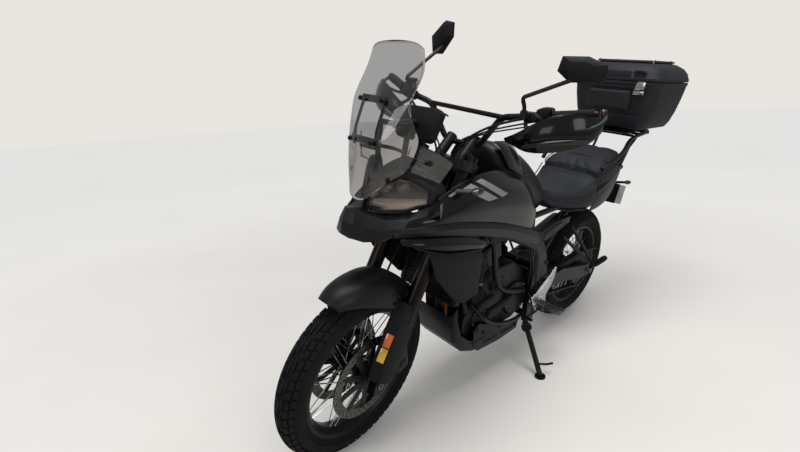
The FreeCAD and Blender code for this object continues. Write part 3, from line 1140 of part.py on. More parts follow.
leaf_tub = [Part.makeBox(14, 48, 4, Vector(hinge_x, y - 24, hinge_z - 6)) for y in (-148.5, -51.5, 51.5, 148.5)]
rack_lock = Part.makeBox(200, 120, dim.case_low_z - dim.rack_z - 13 + 1, Vector(-430, -60, dim.rack_z + 13))
case_tub = fused([tub, rack_lock, hinge_pin] + knuckles_tub + leaf_tub)
node("top_case_tub", shape_of("case_tub_shell", case_tub))
node("top_case_lid", shape_of("case_lid_shell", case_lid))
back_pad = Part.makeBox(16, 200, 84, Vector(dim.case_front_x, -130, seam_z - 90))
back_pad = back_pad.makeFillet(7, back_pad.Edges)
node("backrest_pad", shape_of("backrest_cushion", back_pad))

# Side stand: from its pivot lug under the frame to a disc on the ground
to_bike = LEAN.inverse()
stand_pivot = Vector(dim.stand_pivot_x, dim.stand_pivot_y, dim.stand_pivot_z)
stand_foot = to_bike.multVec(Vector(dim.stand_foot_x, dim.stand_foot_y, dim.stand_foot_thickness))
foot_down = to_bike.Rotation.multVec(Vector(0, 0, -1))
stand_run = (stand_foot - stand_pivot).normalize()
stowed_run = Vector(-0.96, 0.18, -0.16).normalize()
stand_axis = stand_run.cross(stowed_run).normalize()
stand_leg = rod(stand_pivot + stand_run * dim.stand_eye_radius, stand_foot, dim.stand_leg_radius)
stand_foot_disc = Part.makeCylinder(dim.stand_foot_radius, dim.stand_foot_thickness, stand_foot, foot_down)
prong_start = stand_pivot + stand_run * dim.stand_prong_from
prong = tube([prong_start, prong_start + Vector(-30, 34, 4), prong_start + Vector(-44, 54, 16)], 5, 20)


def across_stand(low, high, radius):
    return rod(stand_pivot + stand_axis * low, stand_pivot + stand_axis * high, radius)


eye_half = dim.stand_eye_half_width
lug_low = eye_half + dim.stand_side_gap
lug_high = lug_low + dim.stand_lug_thickness
leg_shoulder = [across_stand(eye_half, 3 * lug_high, dim.stand_shoulder_radius),
                across_stand(-3 * lug_high, -eye_half, dim.stand_shoulder_radius)]
stand_leg = stand_leg.cut(Part.makeCompound(leg_shoulder))
stand_eye = across_stand(-eye_half, eye_half, dim.stand_eye_radius)
bolt_room = across_stand(-3 * lug_high, 3 * lug_high, dim.stand_bolt_radius + dim.running_gap)
side_stand = fused([stand_leg, stand_foot_disc, prong, stand_eye]).cut(bolt_room)
node("side_stand", shape_of("stand_welded", side_stand))
lugs = [across_stand(lug_low, lug_high, dim.stand_eye_radius),
        across_stand(-lug_high, -lug_low, dim.stand_eye_radius)]
arm_root = Vector(dim.pivot_x + 10, dim.spar_half_spacing, dim.pivot_z - 120)
arm_start = stand_pivot - (lug_low + lug_high) / 2 * stand_axis - stand_run * dim.stand_eye_radius / 2
lug_arm = rod(arm_start, arm_root, dim.stand_leg_radius)
outer_strap = rod(stand_pivot + (lug_low + lug_high) / 2 * stand_axis - stand_run * dim.stand_eye_radius / 2,
                  (arm_start + arm_root) / 2, dim.stand_bolt_radius)
eye_room = across_stand(-lug_low, lug_low, dim.stand_shoulder_radius - dim.stand_side_gap)
stand_bolt = across_stand(-lug_high - 4, lug_high + 4, dim.stand_bolt_radius)
bracket = fused([lug_arm, outer_strap] + lugs).cut(eye_room).fuse(stand_bolt)
bracket = bracket.cut(fused([main_frame, pivot_bolt]))
bracket = max(bracket.Solids, key=lambda solid: solid.Volume)
node("stand_bracket", shape_of("stand_lug", bracket))

# Footrests
plate_left = side_plate([(dim.peg_x + 78, 352), (dim.peg_x + 40, 300), (dim.peg_x - 20, 262), (dim.peg_x - 34, 300),
                         (dim.peg_x - 60, 380), (dim.peg_x - 110, 452), (dim.peg_x - 92, 466), (dim.peg_x, 400),
                         (dim.peg_x + 60, 380)], dim.spar_half_spacing + dim.pivot_plate_thickness / 2,
                        dim.spar_half_spacing + dim.pivot_plate_thickness / 2 + 6)
peg = Part.makeBox(dim.peg_width, dim.peg_length, dim.peg_height,
                   Vector(dim.peg_x - dim.peg_width / 2, dim.peg_y, dim.peg_z - dim.peg_height / 2))
peg_root = rod(Vector(dim.peg_x, dim.spar_half_spacing, dim.peg_z), Vector(dim.peg_x, dim.peg_y + 6, dim.peg_z), 9)
rest = fused([plate_left, peg, peg_root]).cut(fused([main_frame, pivot_bolt]))
rest = max(rest.Solids, key=lambda solid: solid.Volume)
node("rider_footrests", shape_of("rider_rest_pair", Part.makeCompound(both(rest))))
hanger = fused([tube([Vector(328, 118, 600), Vector(220, 160, 500), Vector(118, 190, 428)], 9, 60),
                tube([Vector(240, 112, 640), Vector(170, 160, 520), Vector(118, 190, 428)], 9, 60),
                rod(Vector(118, 190, 428), Vector(140, 250, 520), 13)])
hanger_feet = [rod(Vector(328, 118, 600), Vector(318, dim.seat_rail_half_spacing, 640), 9),
               rod(Vector(240, 112, 640), Vector(246, dim.seat_rail_half_spacing, 735), 9)]
passenger_rest = fused([hanger] + hanger_feet).cut(subframe)
passenger_rest = max(passenger_rest.Solids, key=lambda solid: solid.Volume)
node("passenger_footrests", shape_of("passenger_rest_pair", Part.makeCompound(both(passenger_rest))))


# Parked attitude, with the origin under the middle of the box that holds the whole motorcycle
doc.recompute()
for item, frame in nodes.values():
    item.Placement = frame * item.Placement
doc.recompute()
for label, (item, frame) in nodes.items():
    if item.Shape.isNull() or not item.Shape.isValid() or not item.Shape.Solids:
        raise RuntimeError(f"{label} has no valid solid")
bounds = FreeCAD.BoundBox()
for item, frame in nodes.values():
    bounds.add(item.Shape.optimalBoundingBox(False, False))
to_origin = Vector(-(bounds.XMin + bounds.XMax) / 2, -(bounds.YMin + bounds.YMax) / 2, -bounds.ZMin)
park = Placement(to_origin, Rotation())
for item, frame in nodes.values():
    item.Placement = park * item.Placement
doc.recompute()

for item in doc.Objects:
    if {"Invalid", "Error"} & set(item.State):
        raise RuntimeError(f"{item.Label} failed: {item.State}")
for label, (item, frame) in nodes.items():
    item.Shape.exportStep(f"parts/{label}.step")



def say(name, frame, point, axis):
    """Prints a joint's or mount's place and direction in the parked attitude."""
    place_now = park * frame
    spot = place_now.multVec(point)
    way = place_now.Rotation.multVec(axis)
    print(f"{name}: {spot.x:.3f} {spot.y:.3f} {spot.z:.3f}  {way.x:.6f} {way.y:.6f} {way.z:.6f}")


say("steering", FORK, Vector(0, 0, dim.lower_clamp_height), Z_AXIS)
say("front_wheel", FRONT_WHEEL, ORIGIN, Y_AXIS)
say("rear_wheel", REAR_WHEEL, ORIGIN, Y_AXIS)
say("side_stand", LEAN, stand_pivot, stand_axis)
say("lid", LEAN, Vector(hinge_x, 0, hinge_z), Y_AXIS * -1)
print(f"nodes {len(nodes)}, size {bounds.XLength:.1f} x {bounds.YLength:.1f} x {bounds.ZLength:.1f},"
      f" moved by {to_origin.x:.2f} {to_origin.y:.2f} {to_origin.z:.2f}, fork settled {fork_settle:.3f}")
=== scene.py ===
"""Adventure motorcycle: the looks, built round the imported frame.

Lengths are in metres, in the frame's own axes: +X forward, +Y to the rider's left, +Z up.
Most pieces are drawn upright, in the bike's or the fork's own axes, and then set into place.
"""
import sys
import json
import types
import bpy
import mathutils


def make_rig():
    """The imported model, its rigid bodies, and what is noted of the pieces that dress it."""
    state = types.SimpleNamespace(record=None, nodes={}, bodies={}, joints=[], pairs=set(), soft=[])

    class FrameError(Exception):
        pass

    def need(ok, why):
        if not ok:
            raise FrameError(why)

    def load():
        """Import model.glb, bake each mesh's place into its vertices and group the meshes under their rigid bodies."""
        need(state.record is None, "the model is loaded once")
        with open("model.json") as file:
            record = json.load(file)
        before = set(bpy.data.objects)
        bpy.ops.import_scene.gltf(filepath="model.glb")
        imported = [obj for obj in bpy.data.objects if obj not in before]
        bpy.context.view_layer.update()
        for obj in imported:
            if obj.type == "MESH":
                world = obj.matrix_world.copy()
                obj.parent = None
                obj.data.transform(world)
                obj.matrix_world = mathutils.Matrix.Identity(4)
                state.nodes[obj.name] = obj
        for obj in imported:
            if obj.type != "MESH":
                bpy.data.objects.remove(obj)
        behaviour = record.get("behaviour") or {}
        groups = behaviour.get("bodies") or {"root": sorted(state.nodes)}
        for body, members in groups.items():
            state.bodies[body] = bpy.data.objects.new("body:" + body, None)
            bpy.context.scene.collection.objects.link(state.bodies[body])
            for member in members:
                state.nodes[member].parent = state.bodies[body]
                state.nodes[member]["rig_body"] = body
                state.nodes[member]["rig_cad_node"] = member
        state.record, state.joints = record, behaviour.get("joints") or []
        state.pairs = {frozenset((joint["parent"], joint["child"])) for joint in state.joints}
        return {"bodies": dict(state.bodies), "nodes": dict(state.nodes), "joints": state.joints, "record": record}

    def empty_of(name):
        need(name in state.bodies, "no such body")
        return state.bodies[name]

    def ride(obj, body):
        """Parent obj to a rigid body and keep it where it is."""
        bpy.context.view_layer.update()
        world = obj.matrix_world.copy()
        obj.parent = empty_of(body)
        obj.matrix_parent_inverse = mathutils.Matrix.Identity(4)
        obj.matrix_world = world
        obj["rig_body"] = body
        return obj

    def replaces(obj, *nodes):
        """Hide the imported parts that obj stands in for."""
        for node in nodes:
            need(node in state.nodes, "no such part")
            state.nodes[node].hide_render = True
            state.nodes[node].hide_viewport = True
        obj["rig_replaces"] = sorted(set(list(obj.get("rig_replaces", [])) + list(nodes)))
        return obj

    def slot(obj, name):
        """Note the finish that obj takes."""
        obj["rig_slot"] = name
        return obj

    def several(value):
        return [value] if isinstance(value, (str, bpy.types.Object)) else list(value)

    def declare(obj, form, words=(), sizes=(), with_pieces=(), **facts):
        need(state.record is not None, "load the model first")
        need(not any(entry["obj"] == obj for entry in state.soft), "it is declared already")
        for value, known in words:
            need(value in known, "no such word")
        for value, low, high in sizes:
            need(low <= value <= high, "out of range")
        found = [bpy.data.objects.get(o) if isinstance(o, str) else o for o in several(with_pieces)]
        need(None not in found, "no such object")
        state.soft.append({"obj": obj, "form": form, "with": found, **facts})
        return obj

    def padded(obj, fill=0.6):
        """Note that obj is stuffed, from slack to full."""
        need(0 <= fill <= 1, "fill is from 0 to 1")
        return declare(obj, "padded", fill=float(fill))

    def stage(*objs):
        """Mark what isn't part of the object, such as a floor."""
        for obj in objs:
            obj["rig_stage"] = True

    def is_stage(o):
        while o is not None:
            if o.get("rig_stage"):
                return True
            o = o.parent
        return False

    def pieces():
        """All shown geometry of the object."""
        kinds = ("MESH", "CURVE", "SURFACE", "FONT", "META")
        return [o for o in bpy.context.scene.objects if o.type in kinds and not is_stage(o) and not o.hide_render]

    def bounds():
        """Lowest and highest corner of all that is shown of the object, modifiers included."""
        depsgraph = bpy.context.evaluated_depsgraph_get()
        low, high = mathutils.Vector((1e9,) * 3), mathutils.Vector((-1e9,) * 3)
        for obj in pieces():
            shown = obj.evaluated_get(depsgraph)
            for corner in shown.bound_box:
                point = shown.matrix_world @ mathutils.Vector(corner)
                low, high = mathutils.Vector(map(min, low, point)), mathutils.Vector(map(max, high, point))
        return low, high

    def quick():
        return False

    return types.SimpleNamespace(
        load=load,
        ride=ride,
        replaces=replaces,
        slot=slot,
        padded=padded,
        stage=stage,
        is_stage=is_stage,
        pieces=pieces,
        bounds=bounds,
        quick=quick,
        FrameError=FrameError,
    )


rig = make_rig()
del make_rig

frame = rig.load()

import json
import math

import bpy
from mathutils import Matrix, Vector

bl_info = {
    "name": "Adventure motorcycle",
    "version": (1, 0, 0),
    "blender": (4, 5, 0),
    "location": "View3D > Sidebar > Motorcycle",
    "description": "Adds the tyres, bodywork, seats, lamps and fittings of an adventure motorcycle",
    "category": "Add Mesh",
}

CAD_BOX = [list(corner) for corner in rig.bounds()]
MM = 0.001
JOINT = {joint["name"]: joint for joint in frame["joints"]}


# Sizes and colours

def length(name, description, default):
    """A length that a user may change."""
    return bpy.props.FloatProperty(name=name, description=description, default=default, subtype='DISTANCE',
                                   unit='LENGTH')


def shade(name, description, default):
    """A colour that a user may change, as sRGB hex."""
    return bpy.props.StringProperty(name=name, description=description, default=default)


class MOTO_PG_sizes(bpy.types.PropertyGroup):
    front_tyre_radius: length("Front tyre radius", "From the axle to the tread", 0.329)
    front_tyre_width: length("Front tyre width", "Across the tread", 0.110)
    rear_tyre_radius: length("Rear tyre radius", "From the axle to the tread", 0.321)
    rear_tyre_width: length("Rear tyre width", "Across the tread", 0.150)
    tread_depth: length("Tread depth", "Height of the tread blocks", 0.0065)
    grip_radius: length("Grip radius", "Over the rubber", 0.0165)


class MOTO_PG_colours(bpy.types.PropertyGroup):
    body_gloss: shade("Body paint", "Gloss black paint of tank and side panels", "050506")
    body_satin: shade("Satin panels", "Satin black of nose, fender and lower panels", "0E0F11")
    plastic: shade("Moulded plastic", "Grained black plastic", "0D0E10")
    seat: shade("Seat cover", "Dark slate vinyl", "15181D")
    headers: shade("Exhaust headers", "Heated steel", "4A2E1A")
    graphic: shade("Side stripe", "Grey stripe on the side panels", "76787D")


# Places

def axes_matrix(origin, across, up):
    """A frame from its left-pointing and up-pointing axes."""
    y_axis = across.normalized()
    z_axis = (up - up.dot(y_axis) * y_axis).normalized()
    x_axis = y_axis.cross(z_axis)
    turned = Matrix((x_axis, y_axis, z_axis)).transposed().to_4x4()
    return Matrix.Translation(origin) @ turned


REAR_AXLE = Vector(JOINT["rear_wheel_spin"]["pos_m"])
FRONT_AXLE = Vector(JOINT["front_wheel_spin"]["pos_m"])
ACROSS = Vector(JOINT["rear_wheel_spin"]["axis"])
STEERED_ACROSS = Vector(JOINT["front_wheel_spin"]["axis"])
STEERING_AXIS = Vector(JOINT["steering"]["axis"])
STEERING_POINT = Vector(JOINT["steering"]["pos_m"])
REAR_RADIUS = 0.321
LEAN = math.asin(-ACROSS.z)
CROWN_RADIUS = 0.075

# the bike's upright frame: origin on the ground below the rear axle
BIKE = axes_matrix(Vector(), ACROSS, Vector((1, 0, 0)).cross(ACROSS))
BIKE = Matrix.Translation(REAR_AXLE - BIKE @ Vector((0, 0, REAR_RADIUS))) @ BIKE

# the fork's frame: z up the steering axis, x forward, origin level with the axle on that axis
FORK = axes_matrix(Vector(), STEERED_ACROSS, STEERING_AXIS)
FORK_OFFSET = (FORK.inverted() @ (FRONT_AXLE - STEERING_POINT)).x
FORK = Matrix.Translation(FRONT_AXLE - FORK @ Vector((FORK_OFFSET, 0, 0))) @ FORK
# what turns with the fork, drawn as it stands with the wheel straight ahead
RAKE = math.radians(26.5)
AHEAD_ORIGIN = (1.4301, 0, 0.3066)
AHEAD = Matrix.Translation(AHEAD_ORIGIN) @ axes_matrix(
    Vector(), Vector((0, 1, 0)), Vector((-math.sin(RAKE), 0, math.cos(RAKE))))
STEERED = FORK @ AHEAD.inverted()
FRONT_WHEEL = Matrix.Translation(FRONT_AXLE) @ FORK.to_3x3().to_4x4()
REAR_WHEEL = Matrix.Translation(REAR_AXLE) @ BIKE.to_3x3().to_4x4()
# the ground point below the rear tyre's crown, from which the photograph was taken
GROUND = Vector((REAR_AXLE.x, REAR_AXLE.y - (REAR_RADIUS - CROWN_RADIUS) * math.sin(LEAN), 0))


# Making pieces

TO_METRES = Matrix.Scale(MM, 4)


def placed_at(x, y, z):
    """A place given in millimetres."""
    return Matrix.Translation(Vector((x, y, z)) * MM)


def rotated(degrees, axis):
    """A turn round an axis."""
    return Matrix.Rotation(math.radians(degrees), 4, axis)


def deselect():
    """Goes back to object mode with nothing selected."""
    if bpy.context.object and bpy.context.object.mode != 'OBJECT':
        bpy.ops.object.mode_set(mode='OBJECT')
    bpy.ops.object.select_all(action='DESELECT')


def only(*pieces):
    """Selects these pieces alone, the first one active."""
    deselect()
    for piece in pieces:
        piece.select_set(True)
    bpy.context.view_layer.objects.active = pieces[0]


def laid(piece, place):
    """The piece with its mesh moved to a place."""
    piece.data.transform(place)
    return piece


def settle(piece, place=Matrix.Identity(4)):
    """Puts a piece's place into its mesh, so its object stands at the origin."""
    piece.data.transform(place @ piece.matrix_world)
    piece.matrix_world = Matrix.Identity(4)
    return piece


def shaped(piece, kind, **settings):
    """Adds a modifier with its settings and applies it."""
    only(piece)
    made = piece.modifiers.new(kind.lower(), kind)
    for name, value in settings.items():
        setattr(made, name, value)
    bpy.ops.object.modifier_apply(modifier=made.name)
    return piece


def rounded(piece, width, angle, segments=2):
    """Bevels the edges where faces meet at more than an angle in degrees."""
    return shaped(piece, 'BEVEL', width=width, segments=segments, limit_method='ANGLE',
                  angle_limit=math.radians(angle))


def edited(piece, *steps):
    """Runs edit-mode steps on the whole mesh."""
    only(piece)
    bpy.ops.object.mode_set(mode='EDIT')
    bpy.ops.mesh.select_all(action='SELECT')
    for step in steps:
        step()
    bpy.ops.object.mode_set(mode='OBJECT')
    return piece


def face_out():
    """In edit mode, turns the faces outwards."""
    bpy.ops.mesh.normals_make_consistent(inside=False)


def merged(piece, gap=1e-5):
    """Merges points that lie on each other, and turns the faces outwards."""
    return edited(piece, lambda: bpy.ops.mesh.remove_doubles(threshold=gap), face_out)


def surface_of(rows, closed=False):
    """A sheet through rows of points; closed joins each row's ends."""
    deselect()
    height, width = len(rows), len(rows[0]) + (1 if closed else 0)
    bpy.ops.mesh.primitive_grid_add(x_subdivisions=width - 1, y_subdivisions=height - 1, size=1)
    piece = bpy.context.object
    flat = [point for row in rows for point in (list(row) + [row[0]] if closed else row)]
    for vertex, point in zip(piece.data.vertices, flat):
        vertex.co = point
    return merged(piece)


def creased(piece, lines, sharpness=0.85):
    """Keeps the edges along these lines of points sharp when the surface is smoothed."""
    spots = {}
    for line in lines:
        for near, far in zip(line, line[1:]):
            key = [tuple(round(c, 5) for c in point) for point in (near, far)]
            spots[tuple(key)] = spots[tuple(reversed(key))] = True
    layer = piece.data.attributes.new("crease_edge", 'FLOAT', 'EDGE')
    for edge in piece.data.edges:
        ends = tuple(tuple(round(c, 5) for c in piece.data.vertices[v].co) for v in edge.vertices)
        layer.data[edge.index].value = sharpness if ends in spots else 0.0
    return piece


def capped_loft(rows):
    """A closed body through rings of points, with flat ends."""
    return edited(surface_of(rows, closed=True), lambda: bpy.ops.mesh.fill_holes(sides=0), face_out)


def turned(profile, steps=48):
    """A body of revolution about Y; profile is (radius, y) pairs, closed through the axis where a radius is 0."""
    rows = [[(radius * math.cos(math.tau * k / steps), across, radius * math.sin(math.tau * k / steps))
             for k in range(steps)] for radius, across in profile]
    return surface_of(rows, closed=True)


def plate(points, low, high, edge=0.0, plane='XZ', steps=2):
    """A flat plate with an outline; points lie in the plane, low and high are its two faces across it."""
    deselect()
    bpy.ops.mesh.primitive_circle_add(vertices=len(points), radius=1, fill_type='NGON')
    piece = bpy.context.object
    order = {'XZ': lambda a, b: (a, low, b), 'XY': lambda a, b: (a, b, low), 'YZ': lambda a, b: (low, a, b)}[plane]
    for vertex, (a, b) in zip(piece.data.vertices, points):
        vertex.co = order(a, b)
    lift = {'XZ': (0, high - low, 0), 'XY': (0, 0, high - low), 'YZ': (high - low, 0, 0)}[plane]
    edited(piece, lambda: bpy.ops.mesh.extrude_region_move(TRANSFORM_OT_translate={"value": lift}))
    edited(piece, face_out)
    if edge:
        rounded(piece, edge, 30, steps)
    return piece


def pipe(points, radius, sides=12, order=3, flat=False, resolution=6):
    """A round tube along a smooth line near the points."""
    deselect()
    bpy.ops.curve.primitive_nurbs_path_add()
    line = bpy.context.object
    data = line.data
    data.splines.clear()
    spline = data.splines.new('POLY' if flat else 'NURBS')
    spline.points.add(len(points) - 1)
    for spot, point in zip(spline.points, points):
        spot.co = (*point, 1)
    if not flat:
        spline.order_u = order
        spline.use_endpoint_u = True
        spline.resolution_u = resolution
    data.bevel_depth = radius
    data.bevel_resolution = max(0, sides // 4 - 1)
    data.use_fill_caps = True
    only(line)
    bpy.ops.object.convert(target='MESH')
    piece = bpy.context.object
    return merged(piece)


def joined(*pieces):
    """One piece made of several."""
    only(*pieces)
    if len(pieces) > 1:
        bpy.ops.object.join()
    return bpy.context.object


def copied(piece, places):
    """The piece at each of the places, as one piece."""
    made = []
    for place in places:
        only(piece)
        bpy.ops.object.duplicate()
        copy = bpy.context.object
        copy.data.transform(place)
        if place.determinant() < 0:
            copy.data.flip_normals()
        made.append(copy)
    bpy.data.objects.remove(piece)
    return joined(*made)


MIRROR = Matrix.Diagonal((1, -1, 1, 1))


def both_sides(piece):
    """The piece and its mirror image across the bike."""
    return copied(piece, (Matrix.Identity(4), MIRROR))


def ready(piece, name, finish, body, slot, place=Matrix.Identity(4), stands_for=(), smooth=32, padded=None):
    """Names, places and finishes a piece, and says what it rides on."""
    piece.name = name
    piece.data.name = name
    settle(piece, place)
    if smooth:
        only(piece)
        bpy.ops.object.shade_smooth_by_angle(angle=math.radians(smooth))
    wear(piece, finish)
    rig.ride(piece, body)
    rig.slot(piece, slot)
    if stands_for:
        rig.replaces(piece, *stands_for)
    if padded is not None:
        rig.padded(piece, fill=padded)
    return piece


def on_bike(piece, name, finish, slot, stands_for=(), **more):
    """A piece fixed to the frame, drawn upright."""
    return ready(piece, name, finish, "chassis", slot, BIKE, stands_for, **more)


def on_fork(piece, name, finish, slot, stands_for=()):
    """A piece that turns with the fork, drawn straight ahead."""
    return ready(piece, name, finish, "front_fork", slot, STEERED, stands_for)


def around(steps, axis='Y', start=0.0, centre=Vector()):
    """Places turned in even steps round an axis."""
    return [Matrix.Translation(centre) @ Matrix.Rotation(start + math.tau * k / steps, 4, axis)
            @ Matrix.Translation(-Vector(centre)) for k in range(steps)]


def bolt(place, radius=0.006, head=0.005):
    """A button-head bolt with a socket, standing along its own Z, its seat at the origin."""
    profile = [(0.0, head * 0.62), (radius * 0.48, head * 0.62), (radius * 0.52, head), (radius * 0.8, head * 0.9),
               (radius, head * 0.45), (radius, -0.001)]
    return laid(turned(profile, 12), place @ rotated(90, 'X'))


# Materials

def linear(hex_colour):
    """An sRGB hex colour as the linear colour that the shaders take."""
    channels = [int(hex_colour[i:i + 2], 16) / 255 for i in (0, 2, 4)]
    return tuple(c / 12.92 if c <= 0.04045 else ((c + 0.055) / 1.055) ** 2.4 for c in channels) + (1.0,)


def add_node(tree, kind, output, settings=(), stops=(), **sockets):
    """Adds a node with its settings and its sockets' values or links, and gives the named output.

    A colour ramp's stops are places with hex colours or greys.
    """
    made = tree.nodes.new(kind)
    for name, value in dict(settings).items():
        setattr(made, name, value)
    for name, value in sockets.items():
        socket = made.inputs[name.replace("_", " ")]
        if isinstance(value, bpy.types.NodeSocket):
            tree.links.new(value, socket)
        else:
            socket.default_value = value
    if stops:
        elements = made.color_ramp.elements
        while len(elements) < len(stops):
            elements.new(0.5)
        for element, (place, colour) in zip(elements, stops):
            element.position = place
            element.color = linear(colour) if isinstance(colour, str) else (colour, colour, colour, 1)
    return made.outputs[output]


def new_material(name, **shader):
    """An empty Principled material; shader gives the sockets' own values."""
    material = bpy.data.materials.new(name)
    material.use_nodes = True
    surface = material.node_tree.nodes["Principled BSDF"]
    for socket, value in shader.items():
        surface.inputs[socket.replace("_", " ")].default_value = value
    return material, material.node_tree, surface


def plug(tree, surface, **links):
    """Links outputs to the shader's sockets."""
    for socket, output in links.items():
        tree.links.new(output, surface.inputs[socket.replace("_", " ")])


def grained(name, colour, second, grain_mm, depth_mm, low, high, **shader):
    """A surface with a fine grain: two close tones, uneven roughness and a bump."""
    material, tree, surface = new_material(name, **shader)
    place = add_node(tree, 'ShaderNodeTexCoord', "Object")
    grain = add_node(tree, 'ShaderNodeTexNoise', "Fac", Vector=place, Scale=1000 / grain_mm, Detail=3, Roughness=0.55)
    broad = add_node(tree, 'ShaderNodeTexNoise', "Fac", Vector=place, Scale=1000 / 90, Detail=2, Roughness=0.55)
    tone = add_node(tree, 'ShaderNodeValToRGB', "Color", stops=[(0.3, colour), (0.75, second)], Fac=broad)
    rough = add_node(tree, 'ShaderNodeValToRGB', "Color", stops=[(0.25, low), (0.8, high)], Fac=grain)
    bump = add_node(tree, 'ShaderNodeBump', "Normal", Height=grain, Distance=depth_mm * MM)
    plug(tree, surface, Base_Color=tone, Roughness=rough, Normal=bump)
    return material


def ground_disc(name, dark, light):
    """Steel ground by a turning stone: fine broken streaks."""
    material, tree, surface = new_material(name, Metallic=1.0, Anisotropic=0.4)
    place = add_node(tree, 'ShaderNodeTexCoord', "Object")
    streak = add_node(tree, 'ShaderNodeTexNoise', "Fac", Vector=place, Scale=1000 / 1.3, Detail=6, Roughness=0.7)
    broad = add_node(tree, 'ShaderNodeTexNoise', "Fac", Vector=place, Scale=1000 / 30, Detail=3, Roughness=0.55)
    bump = add_node(tree, 'ShaderNodeBump', "Normal", Height=streak, Distance=0.02 * MM)
    tone = add_node(tree, 'ShaderNodeValToRGB', "Color", stops=[(0.3, dark), (0.7, light)], Fac=broad)
    rough = add_node(tree, 'ShaderNodeValToRGB', "Color", stops=[(0.2, 0.22), (0.8, 0.40)], Fac=streak)
    plug(tree, surface, Base_Color=tone, Roughness=rough, Normal=bump)
    return material


def heated(name, colour):
    """Stainless pipe that has been hot: bronze going to brown and blue in slow bands."""
    material, tree, surface = new_material(name, Metallic=1.0)
    place = add_node(tree, 'ShaderNodeTexCoord', "Object")
    bands = add_node(tree, 'ShaderNodeTexNoise', "Fac", Vector=place, Scale=1000 / 140, Detail=2, Roughness=0.55)
    streak = add_node(tree, 'ShaderNodeTexNoise', "Fac", Vector=place, Scale=1000 / 5, Detail=4, Roughness=0.55)
    tone = add_node(tree, 'ShaderNodeValToRGB', "Color",
                    stops=[(0.25, colour), (0.5, "5C3C20"), (0.62, "3E2A1E"), (0.8, "2A2830")], Fac=bands)
    bump = add_node(tree, 'ShaderNodeBump', "Normal", Height=streak, Distance=0.02 * MM)
    rough = add_node(tree, 'ShaderNodeValToRGB', "Color", stops=[(0.2, 0.30), (0.8, 0.48)], Fac=streak)
    plug(tree, surface, Base_Color=tone, Roughness=rough, Normal=bump)
    return material


def pebbled(name, colour, second, grain_mm, depth_mm):
    """Pressed vinyl: small raised pebbles with darker creases."""
    material, tree, surface = new_material(name, Sheen_Weight=0.04, Sheen_Roughness=0.5, Specular_IOR_Level=0.22)
    place = add_node(tree, 'ShaderNodeTexCoord', "Object")
    cells = add_node(tree, 'ShaderNodeTexVoronoi', "Distance", {"feature": 'DISTANCE_TO_EDGE'}, Vector=place,
                     Scale=1000 / grain_mm, Randomness=0.9)
    crease = add_node(tree, 'ShaderNodeValToRGB', "Color", stops=[(0.0, 0.0), (0.35, 1.0)], Fac=cells)
    broad = add_node(tree, 'ShaderNodeTexNoise', "Fac", Vector=place, Scale=1000 / 120, Detail=2, Roughness=0.55)
    tone = add_node(tree, 'ShaderNodeValToRGB', "Color", stops=[(0.3, colour), (0.7, second)], Fac=broad)
    bump = add_node(tree, 'ShaderNodeBump', "Normal", Height=crease, Distance=depth_mm * MM)
    rough = add_node(tree, 'ShaderNodeValToRGB', "Color", stops=[(0.0, 0.66), (1.0, 0.50)], Fac=crease)
    plug(tree, surface, Base_Color=tone, Roughness=rough, Normal=bump)
    return material


def clear(name, tint, haze, ior):
    """Clear plastic sheet with light scuffs."""
    material, tree, surface = new_material(name, Transmission_Weight=1.0, IOR=ior, Base_Color=linear(tint))
    place = add_node(tree, 'ShaderNodeTexCoord', "Object")
    scuff = add_node(tree, 'ShaderNodeTexNoise', "Fac", Vector=place, Scale=1000 / 45, Detail=4, Roughness=0.55)
    rough = add_node(tree, 'ShaderNodeValToRGB', "Color", stops=[(0.35, haze), (0.8, haze * 3)], Fac=scuff)
    plug(tree, surface, Roughness=rough)
    return material


def ribbed(name, colour, second, rib_mm, bands, low, high, depth_mm=0.0, **shader):
    """A surface of even ribs: a lamp lens's prisms or a core's thin fins."""
    material, tree, surface = new_material(name, **shader)
    place = add_node(tree, 'ShaderNodeTexCoord', "Object")
    ribs = add_node(tree, 'ShaderNodeTexWave', "Fac", {"wave_type": 'BANDS', "bands_direction": bands}, Vector=place,
                    Scale=1000 / rib_mm / 20, Distortion=0.3, Detail=1.0)
    bump = add_node(tree, 'ShaderNodeBump', "Normal", Height=ribs, Distance=depth_mm * MM)
    # the tone follows the ribs; on the radiator core it is painted shade in the gaps between the fins and painted
    # light on their edges
    tone = add_node(tree, 'ShaderNodeValToRGB', "Color", stops=[(0.2, colour), (0.8, second)], Fac=ribs)
    rough = add_node(tree, 'ShaderNodeValToRGB', "Color", stops=[(0.0, low), (1.0, high)], Fac=ribs)
    plug(tree, surface, Base_Color=tone, Roughness=rough, Normal=bump)
    return material


